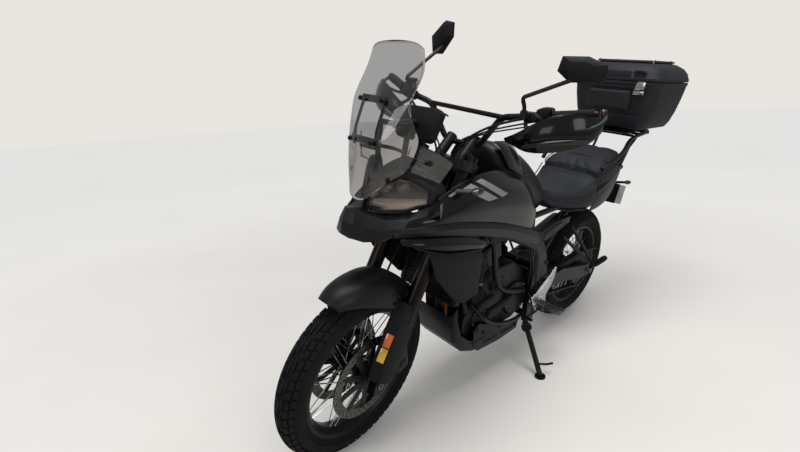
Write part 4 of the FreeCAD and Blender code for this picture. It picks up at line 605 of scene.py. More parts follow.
def make_materials(colours):
    """The finishes by name."""
    made = {}
    # moulded tyre rubber: matt, dusty in broad patches, with a skin like fine sand
    made["tyre_rubber"] = grained("moulded_tyre_rubber", "0F0F10", "171716", 1.6, 0.12, 0.74, 0.92,
                                  Specular_IOR_Level=0.15)
    # powder-coated steel tube: satin with a slight orange peel, 2 mm across
    made["frame_coat"] = grained("powder_coated_steel", "08090A", "0D0E10", 2.2, 0.05, 0.32, 0.44,
                                 Specular_IOR_Level=0.2)
    # sand-cast alloy painted black: grainy like sand, drawn at 1.1 mm so that it shows
    made["cast_black"] = grained("painted_cast_alloy", "0A0B0C", "121314", 1.1, 0.10, 0.40, 0.56,
                                 Specular_IOR_Level=0.25)
    # sand-cast alloy left bare: dull silver
    made["cast_bare"] = grained("cast_alloy", "5E6063", "74767A", 1.2, 0.08, 0.36, 0.50, Metallic=1.0)
    # sprayed and lacquered ABS: deep gloss black, flat to the eye, faint orange peel under a clear coat
    made["gloss_black"] = grained("lacquered_abs", colours.body_gloss, "08090A", 6.0, 0.012, 0.18, 0.24,
                                  Specular_IOR_Level=0.15, Coat_Weight=0.3, Coat_Roughness=0.05)
    # sprayed satin ABS: charcoal black with a soft sheen
    made["satin_black"] = grained("satin_sprayed_abs", colours.body_satin, "131417", 2.4, 0.02, 0.36, 0.46,
                                  Specular_IOR_Level=0.2)
    # moulded ABS with leather-like grain, drawn at 1.5 mm from the usual 0.5 mm so that it shows
    made["moulded_black"] = grained("grained_moulded_abs", colours.plastic, "121316", 1.5, 0.09, 0.52, 0.66,
                                    Specular_IOR_Level=0.15)
    # polypropylene of the top case: deeper grain, drier, bluish dark grey
    made["case_black"] = grained("grained_polypropylene", "15171B", "1C1E23", 1.8, 0.14, 0.52, 0.68,
                                 Specular_IOR_Level=0.25)
    # dark anodised fork tube: metallic near-black with a warm cast, ground smooth
    made["fork_dark"] = grained("dark_anodised_alloy", "1A1615", "241E1B", 0.9, 0.01, 0.24, 0.32, Metallic=0.9)
    # steel brake disc ground by a turning stone: bright broken streaks
    made["disc_steel"] = ground_disc("ground_brake_steel", "56544F", "716F6A")
    # pressed and polished alloy of the heel guards and spokes: bright, with soft hairlines
    made["polished"] = grained("polished_alloy", "A5A6A8", "BDBEBF", 1.5, 0.008, 0.18, 0.28, Metallic=1.0)
    # zinc-plated steel of the fasteners: pale grey with a dull shine
    made["plated"] = grained("zinc_plated_steel", "77787A", "909192", 0.8, 0.02, 0.28, 0.42, Metallic=1.0)
    # black oxide steel of bolts and chain, oiled: dark with a low metal shine
    made["black_steel"] = grained("black_oxide_steel", "171717", "232221", 0.8, 0.03, 0.34, 0.50, Metallic=0.9)
    # heated stainless header pipes: bronze, going darker and bluer in slow bands
    made["header_steel"] = heated("heat_tinted_steel", colours.headers)
    # moulded soft rubber of grips, hoses and cables: matt, with a dry skin
    made["rubber"] = grained("soft_rubber", "0B0B0C", "121213", 0.9, 0.06, 0.68, 0.86, Specular_IOR_Level=0.25)
    # grained seat vinyl: dark slate, pebbled at 2 mm
    made["vinyl"] = pebbled("seat_vinyl", colours.seat, "1A1D23", 2.2, 0.16)
    # sewn vinyl binding of the seat's seams and the backrest, near black, with the same pebbles
    made["vinyl_dark"] = pebbled("seat_binding_vinyl", "121316", "191B1F", 2.2, 0.16)
    # drape-formed polycarbonate of the screen, faintly smoked and warm: clear, with light scuffs
    made["smoke_clear"] = clear("smoked_polycarbonate", "EFECE8", 0.012, 1.49)
    # injection-moulded polycarbonate of the lamp lenses, smoked brown: sharp reflections, a warm tint behind
    made["lamp_smoke"] = clear("smoked_lamp_polycarbonate", "CFC5BC", 0.006, 1.58)
    # vacuum-plated plastic of the reflector bowls: a near mirror
    made["reflector"] = grained("vacuum_plated_bowl", "B2B4B8", "CDCFD1", 3.0, 0.01, 0.06, 0.12, Metallic=1.0)
    # silvered float glass of the mirrors: flat and sharp
    made["mirror"] = grained("silvered_glass", "C9CDD1", "D4D7DA", 40, 0.001, 0.02, 0.03, Metallic=1.0)
    # moulded acrylic lenses, glossy, with 6 mm prisms inside, or 3 mm on the reflectors: smoked amber first
    made["amber"] = ribbed("smoked_amber_lens", "1E140A", "150E08", 6, 'DIAGONAL', 0.12, 0.20, Coat_Weight=0.4,
                           Coat_Roughness=0.04)
    # orange reflex acrylic
    made["orange"] = ribbed("orange_reflex_lens", "C75A0A", "A34806", 3, 'DIAGONAL', 0.12, 0.20, Coat_Weight=1.0,
                            Coat_Roughness=0.03)
    # yellow reflex acrylic
    made["yellow"] = ribbed("yellow_reflex_lens", "CFA10B", "B38706", 3, 'DIAGONAL', 0.12, 0.20, Coat_Weight=1.0,
                            Coat_Roughness=0.03)
    # red acrylic of the tail lamp
    made["red"] = ribbed("red_lens", "7E0B0C", "5C0708", 6, 'DIAGONAL', 0.10, 0.18, Coat_Weight=1.0,
                         Coat_Roughness=0.03)
    # white diffusing film of the blank plate: soft, without gloss
    made["white_lens"] = ribbed("white_diffuser", "C9CAC6", "BDBEBA", 6, 'DIAGONAL', 0.30, 0.36)
    # radiator core: thin pressed fins, 2.4 mm apart, with painted shade near black in the gaps between the fins and
    # painted light, dark grey, on their edges
    made["fins"] = ribbed("pressed_radiator_fins", "0B0C0D", "232425", 2.4, 'Z', 0.6, 0.35, 0.6, Metallic=0.4)
    # toughened dark glass of the display: black and smooth, reflects the sky
    made["display"] = grained("display_glass", "040506", "060708", 30, 0.001, 0.05, 0.08, Coat_Weight=1.0)
    # grey cast film of the side stripes: satin
    made["graphic"] = grained("grey_film", colours.graphic, "7E8085", 3, 0.01, 0.32, 0.40, Specular_IOR_Level=0.4)
    # silver cast film: satin with a metal glint
    made["silver_film"] = grained("silver_film", "7C7E82", "929498", 3, 0.01, 0.28, 0.36, Metallic=0.6)
    # red sprayed ring of the bar ends: satin
    made["red_trim"] = grained("red_sprayed_edge", "6E1515", "811A19", 3, 0.01, 0.28, 0.36)
    return made


FINISH = {}
NODE_FINISH = {
    "front_laced_wheel": "frame_coat", "rear_laced_wheel": "frame_coat", "front_brake_discs": "disc_steel",
    "rear_brake_disc": "disc_steel", "rear_sprocket": "black_steel", "front_axle": "plated", "rear_axle": "plated",
    "fork_legs": "fork_dark", "lower_clamp_and_stem": "cast_black", "upper_clamp": "cast_black",
    "handlebar": "frame_coat", "grips": "rubber", "hand_controls": "moulded_black", "handguards": "gloss_black",
    "mirrors": "moulded_black", "front_fender": "satin_black", "front_calipers": "cast_black",
    "main_frame": "frame_coat", "subframe": "frame_coat", "swingarm": "frame_coat", "shock_absorber": "black_steel",
    "engine": "cast_black", "drive_chain": "black_steel", "radiator": "fins", "exhaust_headers": "header_steel",
    "silencer": "frame_coat", "skid_plate": "frame_coat", "fuel_tank": "gloss_black", "side_fairings": "gloss_black",
    "beak": "satin_black", "fairing_stay": "frame_coat", "dashboard": "display", "headlamps": "moulded_black",
    "windscreen": "smoke_clear", "rider_seat": "vinyl", "passenger_seat": "vinyl", "tail_panels": "satin_black",
    "tail_lamp": "red", "plate_holder": "moulded_black", "indicators": "amber", "luggage_rack": "frame_coat",
    "top_case_tub": "case_black", "top_case_lid": "case_black", "backrest_pad": "vinyl_dark",
    "side_stand": "frame_coat", "stand_bracket": "frame_coat", "rider_footrests": "cast_bare",
    "passenger_footrests": "cast_black", "front_tyre": "tyre_rubber", "rear_tyre": "tyre_rubber",
}


def wear(piece, finish):
    """Gives a piece its finish."""
    piece.data.materials.clear()
    piece.data.materials.append(FINISH[finish])


class MOTO_OT_finishes(bpy.types.Operator):
    """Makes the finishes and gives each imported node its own"""
    bl_idname = "moto.finishes"
    bl_label = "Finishes"

    def execute(self, context):
        FINISH.update(make_materials(context.scene.moto_colours))
        for name, node in frame["nodes"].items():
            wear(node, NODE_FINISH[name])
        return {'FINISHED'}


# Stage

SOFTBOXES = (  # name, place, aim, size in metres and power in watts
    ("ceiling_softbox", (0.2, 0.4, 4.4), (0.1, 0, 0.4), (3.6, 2.2), 150),
    ("left_softbox", (1.2, 4.8, 2.8), (0.2, 0, 0.6), (2.4, 2.0), 50),
    ("front_softbox", (5.4, 0.4, 2.6), (0.2, 0, 0.6), (2.2, 2.0), 34))
LENS_SPOT = Vector((2.2423, 1.2105, 1.2233))  # the camera's place from the ground point, in metres
LENS_ANGLES = (-130.824, -15.415, -2.990)  # its yaw, pitch and roll, in degrees
LENS_PIXELS = 439.76  # its focal length, in pixels of the photograph
PHOTO_WIDTH = 800
SENSOR_WIDTH = 36
FLOOR_REACH = 12.0  # metres over which the floor's own glow makes up for the lamps' falling light
FLOOR_GLOW = [(0.0, 0.04), (0.12, 0.07), (0.22, 0.20), (0.34, 0.36), (0.5, 0.44), (1.0, 0.48)]


class MOTO_OT_stage(bpy.types.Operator):
    """Adds the floor, the lamps and the camera"""
    bl_idname = "moto.stage"
    bl_label = "Stage and camera"

    def execute(self, context):
        deselect()
        bpy.ops.mesh.primitive_plane_add(size=60, location=(0, 0, 0))
        floor = context.object
        floor.name = "studio_floor"
        settle(floor)
        # matt studio paint, warm off-white, mottled in slow patches a metre across
        material, tree, surface = new_material("studio_paint", Roughness=0.6, Specular_IOR_Level=0.2)
        place = add_node(tree, 'ShaderNodeTexCoord', "Object")
        mottle = add_node(tree, 'ShaderNodeTexNoise', "Fac", Vector=place, Scale=1000 / 900, Detail=2, Roughness=0.55)
        tone = add_node(tree, 'ShaderNodeValToRGB', "Color", stops=[(0.3, "D9D6D0"), (0.7, "DEDBD5")], Fac=mottle)
        seen = add_node(tree, 'ShaderNodeLightPath', "Is Camera Ray")
        reach = add_node(tree, 'ShaderNodeVectorMath', "Value", {"operation": 'LENGTH'}, Vector=place)
        share = add_node(tree, 'ShaderNodeMapRange', "Result", Value=reach, From_Max=FLOOR_REACH)
        far = add_node(tree, 'ShaderNodeValToRGB', "Color", stops=FLOOR_GLOW, Fac=share)
        glow = add_node(tree, 'ShaderNodeMixRGB', "Color", {"blend_type": 'MULTIPLY'}, Fac=1.0,
                        Color1=far, Color2=seen)
        plug(tree, surface, Base_Color=tone, Emission_Color=glow)
        surface.inputs["Emission Strength"].default_value = 1.0
        floor.data.materials.append(material)
        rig.stage(floor)

        world = bpy.data.worlds.new("studio_light") if context.scene.world is None else context.scene.world
        context.scene.world = world
        world.use_nodes = True
        tree = world.node_tree
        seen = add_node(tree, 'ShaderNodeLightPath', "Is Camera Ray")
        wall = add_node(tree, 'ShaderNodeMixRGB', "Color", Fac=seen, Color1=linear("A7A8AA"), Color2=linear("E9E5E0"))
        tree.links.new(wall, tree.nodes["Background"].inputs["Color"])
        tree.nodes["Background"].inputs["Strength"].default_value = 1.0
        for name, place, aim, size, power in SOFTBOXES:
            bpy.ops.object.light_add(type='AREA', location=place)
            lamp = context.object
            lamp.name = name
            lamp.data.shape = 'RECTANGLE'
            lamp.data.size, lamp.data.size_y = size
            lamp.data.energy = power
            lamp.rotation_mode = 'QUATERNION'
            lamp.rotation_quaternion = (Vector(aim) - Vector(place)).to_track_quat('-Z', 'Y')
        context.scene.view_settings.view_transform = 'Standard'

        yaw, pitch, roll = (math.radians(angle) for angle in LENS_ANGLES)
        look = Vector((math.cos(pitch) * math.cos(yaw), math.cos(pitch) * math.sin(yaw), math.sin(pitch)))
        right = look.cross(Vector((0, 0, 1))).normalized()
        above = right.cross(look)
        tilted_right = math.cos(roll) * right + math.sin(roll) * above
        tilted_up = math.cos(roll) * above - math.sin(roll) * right
        bpy.ops.object.camera_add(location=GROUND + LENS_SPOT)
        camera = context.object
        camera.name = "photo_camera"
        camera.rotation_mode = 'QUATERNION'
        camera.rotation_quaternion = Matrix((tilted_right, tilted_up, -look)).transposed().to_quaternion()
        camera.data.sensor_width = SENSOR_WIDTH
        camera.data.lens = SENSOR_WIDTH * LENS_PIXELS / PHOTO_WIDTH
        context.scene.camera = camera
        return {'FINISHED'}


# Bodywork, upright in the bike's frame

def line_mm(points):
    """Points in millimetres as points in metres."""
    return [Vector(point) * MM for point in points]


def mm(rows):
    """Rows of points in millimetres as rows in metres."""
    return [line_mm(row) for row in rows]


def panel(rows, thickness=0.003, levels=2, edge=0.0012, inward=True, ridges=()):
    """A smooth moulded panel through rows of points, with its wall, its rounded edges and sharp lengthwise ridges."""
    piece = surface_of(mm(rows))
    if ridges:
        creased(piece, [[row[k] for row in mm(rows)] for k in ridges])
    shaped(piece, 'SUBSURF', levels=levels, render_levels=levels, boundary_smooth='PRESERVE_CORNERS')
    outward(piece)
    shaped(piece, 'SOLIDIFY', thickness=thickness, offset=-1.0 if inward else 1.0, use_even_offset=True)
    if edge:
        rounded(piece, edge, 50)
    return piece


def outward(piece, middle=None):
    """Turns a sheet's faces away from a point, by default the bike's middle line beside its centre."""
    total = sum((p.center for p in piece.data.polygons), Vector()) / len(piece.data.polygons)
    if middle is None:
        middle = Vector((total.x, 0, total.z - 0.05))
    lean_out = sum((p.normal.dot(p.center - middle) * p.area for p in piece.data.polygons))
    if lean_out < 0:
        piece.data.flip_normals()


UPPER_PANEL = [
    [(1288, 168, 970), (1291, 179, 956), (1297, 191, 932), (1304, 197, 914), (1308, 197, 899)],
    [(1232, 172, 997), (1232, 188, 975), (1225, 203, 942), (1228, 207, 920), (1230, 204, 893)],
    [(1163, 174, 1017), (1165, 192, 992), (1160, 209, 943), (1160, 211, 915), (1162, 206, 880)],
    [(1083, 170, 1025), (1085, 190, 998), (1080, 207, 938), (1080, 210, 905), (1085, 204, 862)],
    [(990, 160, 1022), (990, 182, 992), (985, 200, 932), (985, 206, 895), (1000, 200, 842)],
    [(879, 148, 992), (880, 166, 970), (880, 184, 930), (875, 196, 870), (868, 195, 800)],
    [(775, 138, 955), (775, 150, 946), (765, 166, 915), (745, 180, 850), (746, 182, 752)],
    [(705, 132, 900), (698, 142, 875), (688, 154, 835), (684, 164, 795), (700, 168, 738)]]
TONGUE = [
    [(1405, 134, 889), (1406, 138, 884), (1408, 138, 879)],
    [(1372, 160, 913), (1372, 168, 902), (1372, 168, 892)],
    [(1340, 178, 921), (1340, 188, 908), (1342, 186, 897)],
    [(1304, 197, 914), (1306, 199, 906), (1308, 197, 899)]]
RAIL = [
    [(1425, 120, 879), (1428, 128, 868), (1425, 120, 855)],
    [(1385, 160, 896), (1388, 172, 884), (1380, 164, 866)],
    [(1330, 188, 902), (1332, 204, 886), (1326, 192, 862)],
    [(1250, 200, 899), (1250, 217, 879), (1248, 204, 851)],
    [(1160, 202, 882), (1158, 219, 860), (1156, 206, 830)],
    [(1050, 197, 855), (1048, 214, 833), (1045, 200, 796)],
    [(940, 190, 824), (938, 206, 800), (936, 192, 763)],
    [(840, 184, 788), (836, 198, 762), (834, 184, 724)],
    [(730, 174, 742), (726, 186, 714), (722, 174, 678)],
    [(640, 164, 700), (636, 174, 672), (632, 164, 640)]]
UPPER_FIN = [
    [(1412, 140, 857), (1414, 148, 848), (1412, 150, 842)],
    [(1366, 178, 860), (1372, 190, 846), (1378, 190, 837)],
    [(1261, 196, 852), (1278, 212, 832), (1290, 214, 812)],
    [(1150, 200, 822), (1168, 212, 800), (1180, 212, 786)],
    [(1052, 194, 780), (1062, 204, 768), (1078, 204, 762)]]
LOWER_FIN = [
    [(1380, 190, 836), (1382, 184, 834), (1384, 170, 836)],
    [(1288, 222, 800), (1290, 206, 792), (1294, 178, 796)],
    [(1180, 218, 781), (1184, 202, 774), (1190, 176, 778)],
    [(1080, 206, 762), (1084, 192, 758), (1090, 172, 762)]]
LOWER_SHROUD = [
    [(1330, 150, 838), (1318, 172, 800), (1304, 176, 764), (1272, 170, 690), (1212, 160, 624), (1150, 152, 556)],
    [(1270, 178, 830), (1262, 192, 790), (1250, 196, 752), (1222, 186, 676), (1180, 172, 610), (1132, 160, 540)],
    [(1180, 190, 800), (1174, 200, 768), (1166, 203, 736), (1146, 193, 664), (1126, 178, 592), (1092, 166, 528)],
    [(1075, 190, 764), (1072, 198, 742), (1066, 200, 716), (1052, 190, 660), (1040, 176, 600), (1020, 166, 548)]]
KNEE_PANEL = [
    [(1000, 196, 845), (1004, 190, 800), (1010, 184, 752)],
    [(868, 193, 802), (868, 184, 766), (866, 176, 732)],
    [(746, 180, 754), (742, 174, 722), (738, 168, 694)],
    [(640, 158, 705), (632, 156, 680), (622, 150, 655)],
    [(556, 140, 672), (548, 142, 655), (540, 138, 636)]]
TANK_RINGS = [  # station, half width, top, side top height, widest height, low
    (915, 106, 1074, 1050, 986, 900), (886, 140, 1086, 1060, 972, 860), (852, 150, 1086, 1056, 956, 836),
    (820, 150, 1078, 1044, 945, 820), (740, 144, 1052, 1012, 915, 790), (660, 128, 1016, 974, 880, 764),
    (580, 104, 968, 926, 848, 745), (510, 84, 914, 880, 815, 735), (474, 74, 880, 852, 802, 732)]
SHOULDER = [
    [(904, 66, 1088), (902, 108, 1070), (896, 144, 1010)], [(876, 74, 1094), (876, 112, 1072), (874, 149, 1000)],
    [(830, 76, 1088), (830, 110, 1066), (830, 149, 982)], [(770, 60, 1068), (772, 100, 1040), (772, 140, 955)]]
NOSE = [
    [(1446, 0, 930), (1438, 20, 918), (1412, 48, 911), (1368, 94, 916), (1334, 128, 928), (1304, 152, 946),
     (1284, 166, 968)],
    [(1512, 0, 938), (1498, 26, 936), (1470, 52, 922), (1430, 92, 905), (1375, 130, 904), (1318, 158, 918),
     (1290, 172, 962)],
    [(1528, 0, 900), (1514, 34, 896), (1490, 66, 888), (1448, 104, 880), (1398, 138, 888), (1346, 176, 916),
     (1298, 190, 934)],
    [(1532, 0, 858), (1520, 30, 850), (1500, 72, 846), (1462, 106, 850), (1424, 124, 866), (1372, 160, 905),
     (1300, 192, 926)],
    [(1504, 0, 836), (1496, 26, 838), (1476, 66, 840), (1440, 98, 845), (1404, 114, 858), (1360, 140, 880),
     (1300, 166, 900)]]
BROW = [
    [(1462, 0, 984), (1456, 0, 966)],
    [(1440, 18, 1003), (1434, 20, 986)],
    [(1408, 52, 1026), (1402, 52, 1008)],
    [(1366, 94, 1052), (1360, 92, 1034)],
    [(1340, 116, 1050), (1336, 112, 1032)],
    [(1298, 152, 1014), (1294, 144, 998)],
    [(1276, 166, 982), (1276, 158, 972)],
    [(1272, 168, 948), (1280, 160, 946)]]


def on_panel(rows, along, down):
    """The point of a panel's net at a place counted in rows and columns."""
    i, j = min(int(along), len(rows) - 2), min(int(down), len(rows[0]) - 2)
    u, v = along - i, down - j
    top = Vector(rows[i][j]).lerp(Vector(rows[i + 1][j]), u)
    return top.lerp(Vector(rows[i][j + 1]).lerp(Vector(rows[i + 1][j + 1]), u), v) * MM


def film_on(target, outline):
    """A thin film with this outline, in the upper panel's rows and columns, laid onto the panel."""
    deselect()
    bpy.ops.mesh.primitive_circle_add(vertices=len(outline), radius=1, fill_type='NGON')
    film = bpy.context.object
    for vertex, (along, down) in zip(film.data.vertices, outline):
        vertex.co = on_panel(UPPER_PANEL, along, down) + Vector((0, 0.04, 0))
    edited(film, lambda: bpy.ops.mesh.quads_convert_to_tris(ngon_method='BEAUTY'),
           lambda: bpy.ops.mesh.subdivide(number_cuts=7))
    shaped(film, 'SHRINKWRAP', target=target, wrap_method='PROJECT', use_project_y=True, use_negative_direction=True,
           use_positive_direction=False, wrap_mode='ABOVE_SURFACE', offset=0.0012)
    outward(film)
    return shaped(film, 'SOLIDIFY', thickness=0.0006, offset=-1.0)


class MOTO_OT_side_panels(bpy.types.Operator):
    """Adds the gloss side panels, the long rails, the fins and the radiator shrouds"""
    bl_idname = "moto.side_panels"
    bl_label = "Side panels"

    def execute(self, context):
        upper = panel(UPPER_PANEL, 0.0035, ridges=(1, 3))
        only(upper)
        bpy.ops.object.duplicate()
        target = context.object
        gloss = joined(upper, panel(TONGUE, 0.003, 1))
        on_bike(both_sides(gloss), "side_panels_gloss", "gloss_black", "gloss_black_plastic", ("side_fairings",))
        film = joined(film_on(target, ((1.5, 0.7), (2.1, 0.6), (3.6, 2.0), (3.0, 2.1))),
                      film_on(target, ((2.4, 0.55), (2.8, 0.5), (4.3, 1.9), (3.9, 2.0))))
        edge_film = film_on(target, ((0.6, 0.55), (1.2, 0.45), (1.35, 0.7), (0.75, 0.85)))
        bpy.data.objects.remove(target)
        on_bike(both_sides(film), "side_stripes_grey", "graphic", "gloss_black_plastic")
        on_bike(both_sides(edge_film), "side_stripes_silver", "silver_film", "gloss_black_plastic")
        rail = both_sides(panel(RAIL, 0.004, ridges=(1,)))
        on_bike(rail, "side_rails_satin", "satin_black", "matt_black_plastic")
        fins = joined(panel(UPPER_FIN, 0.0025, ridges=(1,)), panel(LOWER_FIN, 0.0025, ridges=(0, 1)))
        on_bike(both_sides(fins), "side_fins_gloss", "gloss_black", "gloss_black_plastic")
        shroud = both_sides(panel(LOWER_SHROUD, 0.003, ridges=(1, 3)))
        on_bike(shroud, "radiator_shrouds", "moulded_black", "matt_black_plastic")
        knee = both_sides(panel(KNEE_PANEL, 0.003))
        on_bike(knee, "knee_panels", "moulded_black", "matt_black_plastic")
        return {'FINISHED'}


def tank_ring(x, half, top, shoulder, wide, low):
    """One section of the tank, from the keel up the left side to the ridge and down the right."""
    left = [(0.0, low), (half * 0.55, low), (half * 0.88, (low + wide) / 2), (half, wide),
            (half * 0.93, (wide + shoulder) / 2), (half * 0.66, shoulder), (half * 0.3, top - 3), (0.0, top)]
    ring = left + [(-y, z) for y, z in reversed(left[1:-1])]
    return [(x, y, z) for y, z in ring]


class MOTO_OT_tank(bpy.types.Operator):
    """Adds the tank cover, its gloss shoulders and its filler cap"""
    bl_idname = "moto.tank"
    bl_label = "Tank"

    def execute(self, context):
        tank = capped_loft(mm([tank_ring(*ring) for ring in TANK_RINGS]))
        shaped(tank, 'SUBSURF', levels=2, render_levels=2)
        on_bike(tank, "tank_cover", "satin_black", "gloss_black_plastic", ("fuel_tank",))
        shoulder = both_sides(panel(SHOULDER, 0.003))
        on_bike(shoulder, "tank_shoulders", "gloss_black", "gloss_black_plastic")
        tilt = Matrix.Translation((0.742, 0, 1.052)) @ rotated(-23, 'Y')
        flange = laid(turned([(0, 0.012), (0.020, 0.012), (0.024, 0.009), (0.030, 0.009), (0.033, 0.006),
                              (0.040, 0.005), (0.043, 0.001), (0.043, -0.008)], 40), rotated(90, 'X'))
        bolts = bolt(Matrix.Translation((0.036, 0, 0.005)), 0.0032, 0.003)
        bolts = copied(bolts, around(6, 'Z'))
        flap = laid(plate([(-12, -9), (12, -9), (16, 0), (12, 9), (-12, 9)], 0, 5, 1, 'XY'),
                    TO_METRES @ Matrix.Translation((0, 0, 11)))
        cap = joined(flange, bolts, flap)
        ready(cap, "filler_cap", "black_steel", "chassis", "gloss_black_plastic", BIKE @ tilt)
        return {'FINISHED'}


class MOTO_OT_nose(bpy.types.Operator):
    """Adds the nose panel and the brow round the lamps"""
    bl_idname = "moto.nose"
    bl_label = "Nose"

    def execute(self, context):
        left = surface_of(mm(NOSE))
        right = surface_of(mm([[(x, -y, z) for x, y, z in row] for row in NOSE]))
        right.data.flip_normals()
        nose = merged(joined(left, right), 1e-4)
        outward(nose, Vector((1.35, 0, 0.89)))
        shaped(nose, 'SOLIDIFY', thickness=0.004, offset=-1.0)
        rounded(nose, 0.003, 8, 3)
        on_bike(nose, "nose_panel", "satin_black", "matt_black_plastic", ("beak",))
        brow_rows = [[(x - 26, y, z + 13), (x - 6, y, z + 12), (u + 2, v, w - 4), (u - 18, v, w - 6)]
                     for (x, y, z), (u, v, w) in BROW]
        brow = both_sides(panel(brow_rows, 0.004))
        on_bike(brow, "lamp_brow", "satin_black", "matt_black_plastic")
        return {'FINISHED'}


# Screen, lamps and cockpit, upright in the bike's frame

SCREEN = [
    [(1332, 0, 1419), (1334, 60, 1416), (1336, 96, 1409), (1331, 113, 1396)],
    [(1372, 0, 1345), (1368, 64, 1345), (1356, 108, 1344), (1336, 131, 1340)],
    [(1396, 0, 1300), (1391, 62, 1300), (1380, 106, 1300), (1364, 131, 1300)],
    [(1428, 0, 1232), (1424, 60, 1232), (1414, 104, 1232), (1401, 129, 1232)],
    [(1452, 0, 1168), (1447, 60, 1168), (1425, 110, 1170), (1374, 159, 1166)],
    [(1462, 0, 1130), (1457, 56, 1130), (1434, 104, 1132), (1370, 152, 1136)],
    [(1472, 0, 1065), (1464, 56, 1064), (1440, 96, 1062), (1379, 126, 1059)],
    [(1478, 0, 1005), (1471, 40, 1005), (1455, 70, 1012), (1410, 98, 1036)],
    [(1481, 0, 960), (1476, 28, 962), (1468, 48, 974), (1440, 70, 1000)]]
DEFLECTOR = [[(1369, 122, 1057), (1360, 138, 1090), (1352, 146, 1138)],
             [(1330, 150, 1040), (1322, 166, 1072), (1312, 180, 1116)],
             [(1292, 172, 1022), (1280, 188, 1050), (1266, 198, 1084)]]
LENS = [[(1416, 22, 1002), (1391, 58, 1026), (1364, 92, 1034), (1308, 148, 992)],
        [(1434, 18, 962), (1404, 60, 974), (1366, 98, 982), (1312, 148, 972)],
        [(1440, 14, 922), (1410, 48, 916), (1366, 94, 922), (1312, 146, 950)]]


def whole_rows(half):
    """Rows given from the middle line outwards, with their mirror image added."""
    return [[(x, -y, z) for x, y, z in reversed(row[1:])] + row for row in half]


class MOTO_OT_windscreen(bpy.types.Operator):
    """Adds the screen, its link plates and screws, and the two wind deflectors"""
    bl_idname = "moto.windscreen"
    bl_label = "Windscreen"

    def execute(self, context):
        sheet = panel(whole_rows(SCREEN), 0.0035, 2, 0.001)
        vanes = both_sides(panel(DEFLECTOR, 0.0035, 2, 0.001))
        on_bike(joined(sheet, vanes), "screen_sheet", "smoke_clear", "smoke_clear", ("windscreen",))
        uprights = both_sides(joined(pipe(line_mm([(1404, 50, 1262), (1440, 50, 1170), (1444, 50, 1120)]),
                                          0.005, 8, flat=True),
                                     pipe(line_mm([(1442, 50, 1132), (1380, 64, 1120), (1330, 72, 1092),
                                                   (1322, 60, 1010)]), 0.006, 8)))
        ties = [plate([(-62, -11), (62, -11), (62, 11), (-62, 11)], -3, 3, 2.5, 'XY') for _ in range(2)]
        for tie, (x, z) in zip(ties, ((1408, 1254), (1446, 1138))):
            tie.data.transform(placed_at(x, 0, z) @ rotated(66, 'Y') @ rotated(90, 'Z') @ TO_METRES)
        on_bike(joined(uprights, *ties), "screen_bracket", "frame_coat", "matt_black_plastic")
        facing = rotated(66, 'Y')
        screws = [bolt(placed_at(x, y, z) @ facing, 0.0075, 0.005) for x, z in ((1424, 1254), (1462, 1138))
                  for y in (-50, 50)]
        outer = bolt(placed_at(1427, 92, 1030) @ rotated(40, 'Z') @ rotated(76, 'Y'), 0.0085, 0.005)
        on_bike(joined(both_sides(outer), *screws), "screen_screws", "black_steel", "matt_black_plastic")
        return {'FINISHED'}


def bowl(place, radius=0.034, depth=0.04):
    """A reflector bowl open along its own Z, with a glass ball in front of the lamp."""
    profile = [(0.006, -depth), (radius * 0.45, -depth * 0.93), (radius * 0.72, -depth * 0.7),
               (radius * 0.92, -depth * 0.35), (radius, 0), (radius * 1.06, 0), (radius * 0.98, -depth * 0.4),
               (radius * 0.76, -depth * 0.78), (radius * 0.4, -depth * 1.05), (0, -depth * 1.1)]
    return laid(turned(profile, 32), place @ rotated(90, 'X'))


